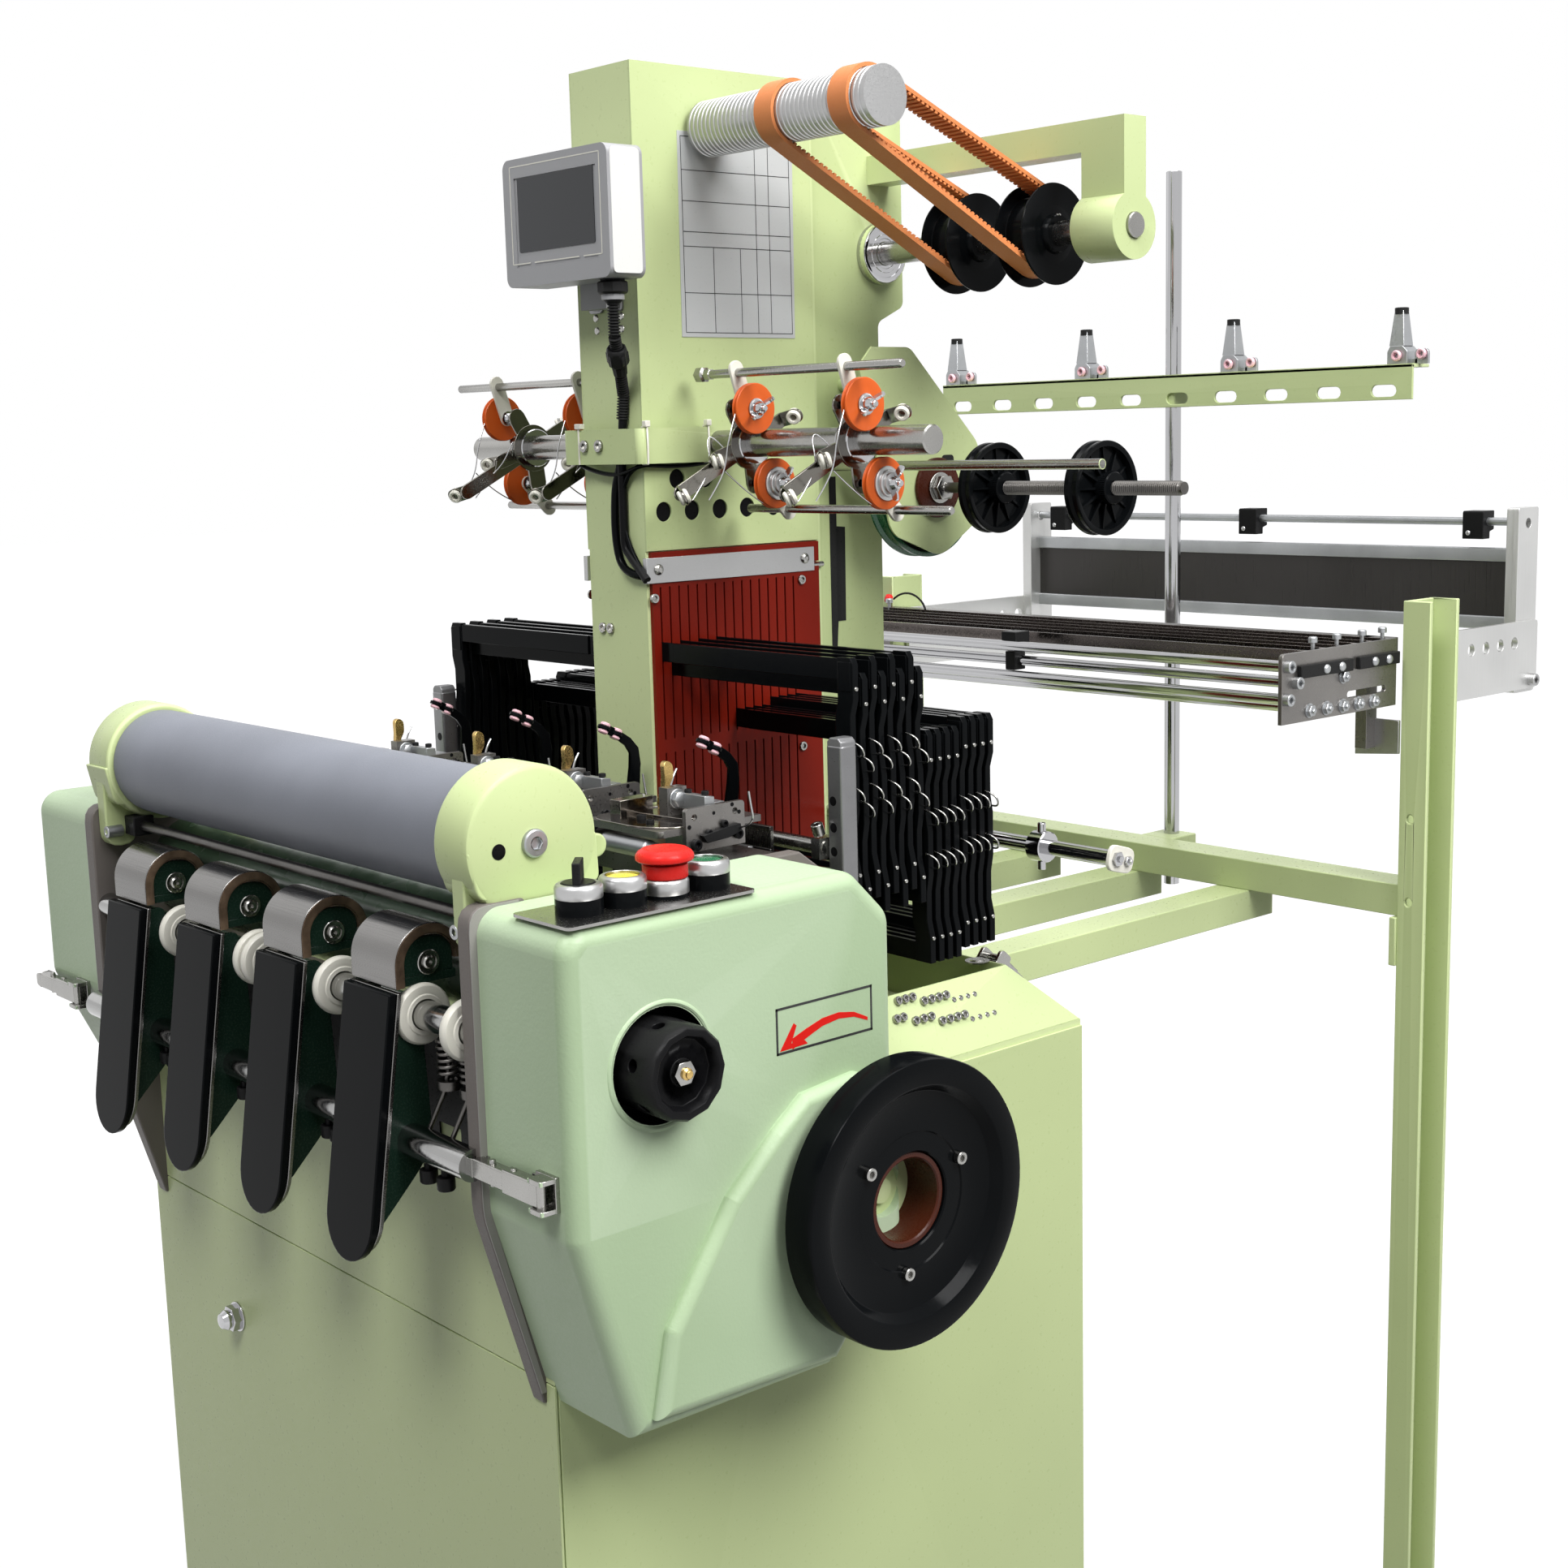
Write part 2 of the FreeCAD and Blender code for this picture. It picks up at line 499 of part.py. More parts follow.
def cover_shell(face, outline, inner_outline, holes):
    """A moulded cover open towards the machine, cleared round the cabinet."""
    outer = plate(outline, face + " - frame_inside - frame_thick", "YZ",
                  ("frame_inside + frame_thick", 0, 0), rounds={"cover_corner": [0, 1, 4, 5, 6]},
                  crown="cover_crown")
    hollow = plate(inner_outline, face + " - frame_inside - frame_thick - cover_wall", "YZ",
                   ("frame_inside + frame_thick", 0, 0),
                   rounds={"cover_corner - cover_wall": [0, 1, 4, 5, 6]},
                   crown="cover_crown - cover_wall")
    body_room = box("cabinet_width/2 + air_gap - frame_inside - frame_thick",
                    "cabinet_depth", "cabinet_height + air_gap",
                    "frame_inside + frame_thick", "-cabinet_depth/2 - air_gap", 0)
    return outer, [hollow, body_room] + holes


def gear_covers():
    right_line = cover_outline("cover_knee", "cover_toe_y", "cover_toe", "cover_heel")
    inner_line = cover_outline("cover_knee", "cover_toe_y", "cover_toe", "cover_heel",
                               "cover_wall")
    holes = [rod("knob_hole", "2*duct_rise", "cover_right_face - duct_rise", "knob_y",
                 "knob_z"),
             rod("wheel_hole", "4*duct_rise", "cover_right_face - 2*duct_rise", "wheel_y",
                 "wheel_z")]
    holes += [rod("panel_hole", "6*cover_wall", "button_x",
                  "button_first + %d*button_pitch" % index, "cover_top - 3*cover_wall", "Z")
              for index in range(4)]
    outer, tools = cover_shell("cover_right_face", right_line, inner_line, holes)
    ridge = plate([("-70", "cabinet_height + 50"), ("-119", "cabinet_height + 45"),
                   ("-145", "cabinet_height + 26"), ("-185", "cabinet_height - 9"),
                   ("-238", "cabinet_height - 84"), ("-250", "cover_toe + 12"),
                   ("-96", "cover_heel + 10"), ("cover_waist_y - 5", "cover_waist + 6"),
                   ("cover_waist_y - 5", "cabinet_height + 32")],
                  "duct_rise + cover_wall", "YZ", ("cover_right_face - cover_wall", 0, 0),
                  rounds={"10": [0, 4, 8]}, crown="duct_rise - 2")
    node("gear_cover_right", cut(fuse(outer, ridge), *tools), toggle_base(*TOGGLES[0][2:]),
         toggle_base(*TOGGLES[2][2:]))

    left_line = cover_outline("left_knee", "left_toe_y", "left_toe", "left_toe")
    left_inner = cover_outline("left_knee", "left_toe_y", "left_toe", "left_toe",
                               "cover_wall")
    outer, tools = cover_shell("cover_left_face", left_line, left_inner, [])
    return node("gear_cover_left", mirrored(cut(outer, *tools), keep=False),
                toggle_base(*TOGGLES[1][2:]))


# ---------------------------------------------------------------------------
# Control plate and its four switches
# ---------------------------------------------------------------------------
def switch_y(index):
    return "button_first + %d*button_pitch" % index


def control_plate():
    top = plate(block_corners("plate_inner", "plate_front", "cover_right_face - panel_thick",
                              "plate_rear"), "plate_thick", "XY", (0, 0, "cover_top"),
                holes=[("button_x", switch_y(index), "panel_hole") for index in range(4)],
                rounds={"4": [0, 1, 2, 3]})
    bezels = ("bezel_height", "bezel_height", "stop_bezel", "bezel_height")
    bodies = [turned([("stem_radius + running", "-body_depth"), ("body_radius", "-body_depth"),
                      ("body_radius", 0), ("bezel_radius", 0), ("bezel_radius", top_of + " - 2"),
                      ("bezel_radius - 2", top_of), ("cap_radius + running", top_of),
                      ("cap_radius + running", "bezel_floor"),
                      ("stem_radius + running", "bezel_floor")],
                     ("button_x", switch_y(index), "cover_top + plate_thick"), "Z")
              for index, top_of in enumerate(bezels)]
    return node("control_plate", top, *bodies)


def push_button(name, index):
    rest = "bezel_floor + cap_lift"
    top = "bezel_height + cap_height"
    return node(name, turned([(0, "bezel_floor - stem_length"),
                              ("stem_radius", "bezel_floor - stem_length"),
                              ("stem_radius", rest), ("cap_radius", rest),
                              ("cap_radius", top + " - 1"), ("cap_radius - 1", top), (0, top)],
                             ("button_x", switch_y(index), "cover_top + plate_thick"), "Z"))


def stop_button():
    rest = "bezel_floor + cap_lift + 1"
    rim = "stop_bezel + stop_lift"
    return node("estop_button", turned(
        [(0, "bezel_floor - stem_length"), ("stem_radius", "bezel_floor - stem_length"),
         ("stem_radius", rest), ("cap_radius", rest), ("cap_radius", rim),
         ("stop_radius - 2", rim), ("stop_radius", rim + " + 2"),
         ("stop_radius", rim + " + stop_rim/2"), ("stop_radius*0.8", rim + " + stop_rim*0.85"),
         ("stop_radius*0.4", rim + " + stop_rim"), (0, rim + " + stop_rim")],
        ("button_x", switch_y(2), "cover_top + plate_thick"), "Z"))


def selector():
    rest = "bezel_floor + running"
    dial = turned([(0, "bezel_floor - stem_length"),
                   ("stem_radius", "bezel_floor - stem_length"), ("stem_radius", rest),
                   ("cap_radius", rest), ("cap_radius", "bezel_height + 2"),
                   (0, "bezel_height + 2")],
                  ("button_x", switch_y(0), "cover_top + plate_thick"), "Z")
    handle = box("2*cap_radius + 4", "selector_width", "selector_height",
                 "button_x - cap_radius - 2", switch_y(0) + " - selector_width/2",
                 "cover_top + plate_thick + bezel_height + 2")
    return node("selector_switch", fuse(dial, handle))


# ---------------------------------------------------------------------------
# Handwheel, hand knob and the motor inside the cabinet
# ---------------------------------------------------------------------------
def handwheel():
    start = "wheel_face - wheel_thick"
    wheel = turned([("wheel_bore", "hub_flange"), ("wheel_boss", "hub_flange"),
                    ("wheel_radius - wheel_rim", "hub_flange"),
                    ("wheel_radius - wheel_rim", 0), ("wheel_radius", 0),
                    ("wheel_radius", "wheel_thick"),
                    ("wheel_radius - wheel_rim", "wheel_thick"),
                    ("wheel_radius - wheel_rim", "hub_flange + wheel_web"),
                    ("wheel_boss", "hub_flange + wheel_web"),
                    ("wheel_boss - 3", "wheel_thick - 4"), ("wheel_bore", "wheel_thick - 4")],
                   (start, "wheel_y", "wheel_z"))
    reach = start + " - shaft_start"
    hub = turned([(0, 0), ("shaft_radius", 0), ("shaft_radius", reach),
                  ("wheel_boss", reach), ("wheel_boss", reach + " + hub_flange"),
                  ("hub_radius", reach + " + hub_flange"),
                  ("hub_radius", reach + " + wheel_thick - 6"),
                  ("hub_recess", reach + " + wheel_thick - 6"),
                  ("hub_recess", reach + " + wheel_thick - 6 - hub_depth"),
                  (0, reach + " + wheel_thick - 6 - hub_depth")],
                 ("shaft_start", "wheel_y", "wheel_z"))
    pulley = turned([("shaft_radius", 0), ("drive_pulley_radius + 4", 0),
                     ("drive_pulley_radius", 3), ("drive_pulley_radius", "belt_room + 3"),
                     ("drive_pulley_radius + 4", "belt_room + 6"),
                     ("shaft_radius", "belt_room + 6")],
                    ("drive_pulley_x", "wheel_y", "wheel_z"))
    bolts = [rod("wheel_bolt", "5", "wheel_face - 4",
                 "wheel_y + wheel_bolt_circle*cos(%d)" % angle,
                 "wheel_z + wheel_bolt_circle*sin(%d)" % angle) for angle in (90, 210, 330)]
    return node("handwheel", wheel, fuse(hub, pulley), *bolts)


def hand_knob():
    prism = bind(doc.addObject("Part::Prism", "knob"), Circumradius="knob_radius",
                 Height="knob_length")
    prism.Polygon = 12
    put(prism, "knob_start", "knob_y", "knob_z", TURNS["X"])
    dish = rod("knob_dish", "knob_dish_depth + 1", "knob_start + knob_length - knob_dish_depth",
               "knob_y", "knob_z")
    nipple = rod("nipple_radius", "knob_dish_depth + 4",
                 "knob_start + knob_length - knob_dish_depth", "knob_y", "knob_z")
    shaft = rod("knob_shaft", "knob_start - knob_shaft_start", "knob_shaft_start", "knob_y",
                "knob_z")
    return node("hand_knob", fuse(cut(prism, dish), nipple, shaft))


def drive_motor():
    body = turned([(0, 0), ("motor_radius - 20", 0), ("motor_radius - 12", 8),
                   ("motor_radius", 20), ("motor_radius", "motor_length"),
                   ("motor_shaft + running", "motor_length"),
                   ("motor_shaft + running", "motor_length - 30"), (0, "motor_length - 30")],
                  ("drive_pulley_x - motor_length - 20", "motor_y", "motor_z"))
    foot = box("motor_length - 60", "2*motor_radius", "motor_foot",
               "drive_pulley_x - motor_length + 10", "motor_y - motor_radius",
               "motor_z - motor_radius - motor_foot")
    saddle = box("motor_length - 60", "motor_radius", "motor_radius",
                 "drive_pulley_x - motor_length + 10", "motor_y - motor_radius/2",
                 "motor_z - motor_radius")
    return node("drive_motor", fuse(body, foot, saddle), *motor_rails())


def motor_rails():
    """Two rails that carry the motor across the cabinet floor."""
    return [box("40", "cabinet_depth - panel_thick - 2*cabinet_wall",
                "motor_z - motor_radius - motor_foot - cabinet_wall", x,
                "-cabinet_depth/2 + panel_thick + cabinet_wall", "cabinet_wall")
            for x in ("drive_pulley_x - motor_length + 10", "drive_pulley_x - 90")]


def motor_pulley():
    hub = turned([(0, "-45"), ("motor_shaft", "-45"), ("motor_shaft", "-20 + air_gap"),
                  ("12", "-20 + air_gap"), ("12", 0),
                  ("motor_pulley_radius + 4", 0), ("motor_pulley_radius", 3),
                  ("motor_pulley_radius", "belt_room + 3"),
                  ("motor_pulley_radius + 4", "belt_room + 6"), (0, "belt_room + 6")],
                 ("drive_pulley_x", "motor_y", "motor_z"))
    return node("motor_pulley", hub)


# ---------------------------------------------------------------------------
# Take-up roller, cross beam and the shafts across the front
# ---------------------------------------------------------------------------
def take_up_roller():
    core = turned([(0, "-roller_half - 25"), ("roller_journal", "-roller_half - 25"),
                   ("roller_journal", "-roller_half"),
                   ("roller_radius - roller_rubber", "-roller_half"),
                   ("roller_radius - roller_rubber", "roller_half"),
                   ("roller_journal", "roller_half"), ("roller_journal", "roller_half + 25"),
                   (0, "roller_half + 25")], (0, "roller_y", "roller_z"))
    sleeve = turned(block_corners("roller_radius - roller_rubber", "-roller_half",
                                  "roller_radius", "roller_half"),
                    (0, "roller_y", "roller_z"))
    return node("take_up_roller", core, sleeve)


def roller_caps():
    """End castings of the roller: a drum on a flat foot, and a lug bolted to the frame."""
    start = "roller_half + end_gap"
    drum = turned([("roller_journal + running", 0), ("end_cap_radius - 3", 0),
                   ("end_cap_radius", 3), ("end_cap_radius", "end_cap_width - 5"),
                   ("end_cap_radius - 5", "end_cap_width"), (0, "end_cap_width"),
                   (0, "28"), ("roller_journal + running", "28")],
                  (start, "roller_y", "roller_z"))
    floor = "cover_top + plate_thick + air_gap"
    foot = plate([("foot_front", floor), ("foot_rear", floor), ("foot_rear + 2", "roller_z"),
                  ("foot_front", "roller_z")], "end_cap_width - 2", "YZ", (start + " + 1", 0, 0),
                 rounds={"4": [0, 1]})
    boss = rod("cap_handle_radius", "14", start + " + 18", "cap_handle_y", "cap_handle_z")
    lug = plate([("lug_front", "roller_z"), ("lug_front", "lug_low"),
                 ("lug_front + lug_width", "lug_low"), ("lug_front + lug_width", "lug_shoulder"),
                 ("lug_rear", "lug_shoulder"), ("lug_rear + 15", "lug_shoulder + 12"),
                 ("lug_rear + 15", "roller_z")], "lug_thick", "YZ",
                ("frame_inside - lug_thick", 0, 0),
                rounds={"lug_width/2 - 0.5": [1, 2], "4": [3]})
    frame_room = box("end_cap_width", "3*end_cap_radius", "end_cap_radius",
                     "frame_inside - air_gap", "roller_y - 1.5*end_cap_radius",
                     floor + " - end_cap_radius")
    keep = rod("roller_journal + running", "28", start, "roller_y", "roller_z")
    lug_bolt = rod("5.5", "5", "frame_inside - lug_thick - 5", "lug_front + lug_width/2",
                   "lug_low + lug_width/2")
    cap = cut(fuse(drum, foot, boss, lug), frame_room, keep)
    bolt = rod("7", "5", start + " + end_cap_width", "roller_y", "roller_z")
    return node("roller_caps", *mirrored(cap), *mirrored(bolt), *mirrored(lug_bolt))


def cross_beam():
    tube = turned(block_corners("beam_radius - beam_wall", "-frame_inside", "beam_radius",
                                "frame_inside"), (0, "beam_y", "beam_z"))
    return node("cross_beam", tube)


def front_shafts():
    """The guide shaft, the finger shaft, the thin rod and the two return springs."""
    pieces = [rod(radius, "2*(%s)" % half, "-(%s)" % half, y, z) for radius, half, y, z in (
        ("guide_radius", "frame_inside", "guide_y", "guide_z"),
        ("pivot_radius", "frame_inside", "pivot_y", "pivot_z"),
        ("wire_rod_radius", "frame_inside - lug_thick", "wire_rod_y", "wire_rod_z"))]
    for side in (LEFT, RIGHT):
        start = "spring_start - 8" if side == RIGHT else "-frame_inside + bracket_thick"
        pieces.append(rod("spring_rod_radius", "frame_inside - bracket_thick - spring_start + 8",
                          start, "spring_y", "spring_z"))
        coil = biarc_coil(Vector(), number("spring_radius"), number("spring_pitch"),
                          number("spring_turns"), number("spring_wire"))
        spring = shaped("spring", coil)
        put(spring, "%d*spring_start" % side, "spring_y", "spring_z",
            Rotation(Vector(0, 1, 0), 90 * side))
        pieces.append(spring)
    print("spring gap between turns: %.2f" % number("spring_pitch - 2*spring_wire"))
    return node("front_shafts", *pieces, *guide_rings())


def guide_rings():
    return [turned([("guide_radius + air_gap", "-ring_width/2"), ("ring_radius", "-ring_width/2"),
                     ("ring_radius", "-1"), ("ring_radius - 2", 0), ("ring_radius", "1"),
                     ("ring_radius", "ring_width/2"), ("guide_radius + air_gap", "ring_width/2")],
                    ("%d*head_pitch" % place, "guide_y", "guide_z"))
            for place in range(-2, 3)]


def face_line(height, offset="0"):
    """The y of the leaning finger face at a height, moved back by the offset."""
    return ("finger_face_top + (finger_face_tip - finger_face_top)*(finger_top - %s)"
            "/(finger_top - finger_tip) + %s" % (height, offset))


def tongue(corners, width, centre):
    """A leaning strip across the machine with its lower corners rounded."""
    strip = plate(corners, width, "YZ", ("%s - %s/2" % (centre, width), 0, 0))
    shield = plate([("-%s/2" % width, "finger_tip"), ("%s/2" % width, "finger_tip"),
                    ("%s/2" % width, "saddle_z + saddle_radius"),
                    ("-%s/2" % width, "saddle_z + saddle_radius")], "200", "XZ",
                   (centre, "finger_face_tip - 100", 0), rounds={"%s/2 - 3" % width: [0, 1]})
    common = doc.addObject("Part::Common", "tongue")
    common.Base = strip
    common.Tool = shield
    return common


def finger(number_of, place):
    """One presser finger: a black pad on a bent steel strip, and two cheeks."""
    centre = "%d*head_pitch/2" % place
    pad = tongue([(face_line("finger_top"), "finger_top"), (face_line("finger_tip"), "finger_tip"),
                  (face_line("finger_tip", "finger_pad"), "finger_tip"),
                  (face_line("finger_top", "finger_pad"), "finger_top")],
                 "finger_width", centre)
    back = "finger_pad + finger_back"
    steel = tongue([("saddle_y - saddle_radius", "saddle_z"),
                    ("saddle_y - saddle_radius", "finger_top"),
                    (face_line("(finger_tip + 3)", "finger_pad"), "finger_tip + 3"),
                    (face_line("(finger_tip + 3)", back), "finger_tip + 3"),
                    (face_line("(finger_top - 3)", back), "finger_top - 3"),
                    ("saddle_y - saddle_radius + saddle_thick", "finger_top + 8"),
                    ("saddle_y - saddle_radius + saddle_thick", "saddle_z")],
                   "saddle_width", centre)
    arch = cut(rod("saddle_radius", "saddle_width", centre + " - saddle_width/2", "saddle_y",
                   "saddle_z"),
               rod("saddle_radius - saddle_thick", "2*saddle_width",
                   centre + " - saddle_width", "saddle_y", "saddle_z"),
               box("2*saddle_width", "4*saddle_radius", "saddle_radius",
                   centre + " - saddle_width", "saddle_y - 2*saddle_radius",
                   "saddle_z - saddle_radius"))
    cheek_line = [(face_line("cheek_top", back), "cheek_top"),
                  (face_line("cheek_low", back), "cheek_low"),
                  ("pivot_y + 4", "pivot_z - 24"), ("cheek_rear", "pivot_z - 8"),
                  ("cheek_rear - 4", "cheek_top")]
    cheeks = [plate(cheek_line, "cheek_thick", "YZ", (x, 0, 0),
                    holes=[("pivot_y", "pivot_z", "pivot_radius + running")],
                    rounds={"5": [3, 4]})
              for x in (centre + " - cheek_gap/2 - cheek_thick", centre + " + cheek_gap/2")]
    sleeve = turned(block_corners("pivot_radius + running", "-cheek_gap/2",
                                  "pivot_radius + 4", "cheek_gap/2"),
                    (centre, "pivot_y", "pivot_z"))
    return node("finger_%d" % number_of, pad, fuse(steel, arch), *cheeks, sleeve)


# ---------------------------------------------------------------------------
# Column, its covers and guides
# ---------------------------------------------------------------------------
def column():
    """The column, welded from two side plates, two narrow plates and a cap."""
    base = "cabinet_height + well_floor"
    height = "column_top - column_wall - (%s)" % base
    sides = [box("column_wall", "column_rear - column_front", height, x, "column_front", base)
             for x in ("-column_half", "column_half - column_wall")]
    narrow = [box("2*column_half - 2*column_wall", "column_wall", height,
                  "-column_half + column_wall", y, base)
              for y in ("column_front", "column_rear - column_wall")]
    cap = box("2*column_half", "column_rear - column_front", "column_wall", "-column_half",
              "column_front", "column_top - column_wall")
    windows = box("4*column_half", "column_rear - column_front - 2*column_wall - 4",
                  "guide_top - window_low", "-2*column_half", "column_front + column_wall + 2",
                  "window_low")
    lintel_rod = rod("main_rod_radius", "4*column_half", "-2*column_half", "main_rod_y",
                     "main_rod_z")
    journal = rod("front_journal + running", "2*column_half", 0, "front_feed_y",
                  "front_feed_z")
    return node("column", *[cut(side, windows, lintel_rod, journal) for side in sides],
                *narrow, cap)


def column_covers():
    """Side sheets with vent holes, the strap round the front and the belt guard."""
    vents = [("vent_first + %d*vent_pitch" % step, "vent_low", "vent_radius")
             for step in range(5)]
    vents += [("vent_first + %.1f*vent_pitch" % (step + 0.5), "vent_high", "vent_radius")
              for step in (0, 1, 3)]
    vents += [("main_rod_y", "main_rod_z", "main_rod_radius"),
              ("front_feed_y", "front_feed_z", "front_journal + 2")]
    low = "guide_top + strip_height + 1"
    sheets = mirrored(plate(block_corners("column_front", low, "column_rear - 4",
                                          "column_top"), "sheet_thick", "YZ",
                            ("column_half", 0, 0), holes=vents))
    strap = plate([("-strap_half", "strap_rear"), ("-strap_half", "strap_front"),
                   ("strap_half", "strap_front"), ("strap_half", "strap_rear"),
                   ("strap_half - strap_thick", "strap_rear"),
                   ("strap_half - strap_thick", "strap_front + strap_thick"),
                   ("-strap_half + strap_thick", "strap_front + strap_thick"),
                   ("-strap_half + strap_thick", "strap_rear")], "strap_height", "XY",
                  (0, 0, "strap_low"), rounds={"6": [1, 2], "2": [5, 6]})
    keep = rod("main_rod_radius", "4*strap_half", "-2*strap_half", "main_rod_y", "main_rod_z")
    ties = []
    for place in ("strap_front + 14", "column_front + 10"):
        ties += mirrored(rod("4", "strap_half - strap_thick - column_half - sheet_thick",
                             "column_half + sheet_thick", place, "strap_low + strap_height/2"))
    guard = plate([("guard_y - 1.45*guard_lobe", "guard_z + 1.74*guard_lobe"),
                   ("guard_y - 1.2*guard_lobe", "guard_z + 2*guard_lobe"),
                   ("guard_y - 0.45*guard_lobe", "guard_z + 2*guard_lobe"),
                   ("guard_y + 0.96*guard_lobe", "guard_z + 0.6*guard_lobe"),
                   ("guard_y + 0.93*guard_lobe", "guard_z - 0.5*guard_lobe"),
                   ("guard_y + 0.13*guard_lobe", "guard_z - guard_lobe"),
                   ("guard_y - 0.87*guard_lobe", "guard_z - 0.63*guard_lobe")],
                  "guard_thick", "YZ", ("guard_x", 0, 0),
                  holes=[("stud_y", "stud_z", "stud_radius + 2")],
                  rounds={"14": [2], "22": [3, 4, 5, 6]})
    posts = [rod("6", "guard_x - casting_half", "casting_half", y, z) for y, z in
             (("guard_y - 0.9*guard_lobe", "guard_z + 1.5*guard_lobe"),
              ("casting_waist - 16", "guard_z + 30"))]
    node("rod_strap", cut(strap, keep), *ties)
    return node("column_covers", *sheets, guard, *posts)


def slotted_guides():
    slots = []
    for step in range(16):
        for low, high in (("slot_lower_low", "slot_lower_high"),
                          ("slot_upper_low", "slot_upper_high")):
            slots.append(box("3*guide_thick", "slot_width", "%s - %s" % (high, low),
                             "column_half - guide_thick",
                             "harness_first + %d*harness_pitch - slot_width/2" % step, low))
    rear = "column_rear - 6"
    deck_top = "cabinet_height + deck_height + air_gap"
    blank = plate([("column_front + 3", "window_low + 5"), ("well_rear - 1", "window_low + 5"),
                   ("well_rear - 1", deck_top), (rear, deck_top), (rear, "guide_top"),
                   ("column_front + 3", "guide_top")], "guide_thick", "YZ",
                  ("column_half", 0, 0))
    strip = box("guide_thick", "column_rear - column_front - 9", "strip_height - 1",
                "column_half", "column_front + 3", "guide_top + 1")
    return node("slotted_guides", *mirrored(cut(blank, *slots)), *mirrored(strip))


def rear_casting():
    """The bearing casting behind the column, its outrigger arm and pillow block."""
    body = plate([("column_rear", "casting_low"), ("casting_waist", "casting_low"),
                  ("casting_waist", "casting_step"),
                  ("casting_rear", "casting_step + 14"), ("casting_rear", "column_top"),
                  ("column_rear", "column_top")], "2*casting_half", "YZ",
                 ("-casting_half", 0, 0), holes=[("feed_y", "feed_z", "feed_radius + running")],
                 rounds={"8": [1, 2, 3, 4]})
    boss = turned(block_corners("feed_radius + running", 0, "block_radius", "8"),
                  ("casting_half", "feed_y", "feed_z"))
    stud_bore = rod("stud_radius + running", "casting_half", "0", "stud_y", "stud_z")
    stud_boss = turned(block_corners("stud_radius + running", "-2*casting_half",
                                     "stud_radius*3", "0"),
                       ("casting_half", "stud_y", "stud_z"))
    rest_bore = rod("rest_rod_radius", "3*casting_half", "-casting_half", "rest_rod_y",
                    "rest_rod_z")
    collar_bore = rod("collar_rod_radius", "3*casting_half", "-1.5*casting_half",
                      "collar_rod_y", "collar_rod_z")
    casting = cut(fuse(body, boss, stud_boss), stud_bore, rest_bore, collar_bore)
    arm = box("block_start + block_width - casting_half", "arm_thick", "arm_height",
              "casting_half", "arm_y", "arm_z")
    hanger = box("block_width", "arm_thick", "arm_z - feed_z - block_radius + 8",
                 "block_start", "arm_y", "feed_z + block_radius - 8")
    block = turned(block_corners("feed_radius + running", 0, "block_radius", "block_width"),
                   ("block_start", "feed_y", "feed_z"))
    rest = rod("rest_rod_radius", "rest_rod_end + casting_half", "-casting_half",
               "rest_rod_y", "rest_rod_z")
    return node("rear_casting", casting, fuse(arm, hanger, block), rest)


# ---------------------------------------------------------------------------
# Weft feed shafts at the top, their belts and the pulley shaft below
# ---------------------------------------------------------------------------
def head_shaft():
    profile = [(0, "-casting_half"), ("feed_radius", "-casting_half")]
    for index in range(2):
        start = "spool_first + %d*spool_pitch" % index
        profile += [("feed_radius", start), ("disc_radius", start),
                    ("disc_radius", start + " + disc_flange"),
                    ("disc_core", start + " + disc_flange"),
                    ("disc_core", start + " + spool_width - disc_flange"),
                    ("disc_radius", start + " + spool_width - disc_flange"),
                    ("disc_radius", start + " + spool_width"),
                    ("feed_radius", start + " + spool_width")]
    profile += [("feed_radius", "feed_end"), (0, "feed_end")]
    return node("head_shaft", turned(profile, (0, "feed_y", "feed_z")))


def front_feed_shaft():
    return node("front_feed_shaft", turned(
        [(0, "front_journal_start"), ("front_journal", "front_journal_start"),
         ("front_journal", "front_feed_start"), ("front_core", "front_feed_start"),
         ("front_core", "front_feed_end"), (0, "front_feed_end")],
        (0, "front_feed_y", "front_feed_z")))


def feed_belts():
    belts = []
    for index in range(2):
        middle = number("spool_first + %d*spool_pitch + spool_width/2 - belt_width/2" % index)
        loop = belt_loop((number("feed_y"), number("feed_z"), number("disc_core + air_gap")),
                         (number("front_feed_y"), number("front_feed_z"),
                          number("front_core + air_gap")), number("belt_thick"),
                         number("belt_width"), middle)
        belts.append(shaped("belt", loop))
    drive = belt_loop((number("wheel_y"), number("wheel_z"),
                       number("drive_pulley_radius + air_gap")),
                      (number("motor_y"), number("motor_z"),
                       number("motor_pulley_radius + air_gap")), number("belt_thick"),
                      number("belt_room - 2"), number("drive_pulley_x + 4"))
    belts.append(shaped("belt", drive))
    return node("feed_belts", *belts)


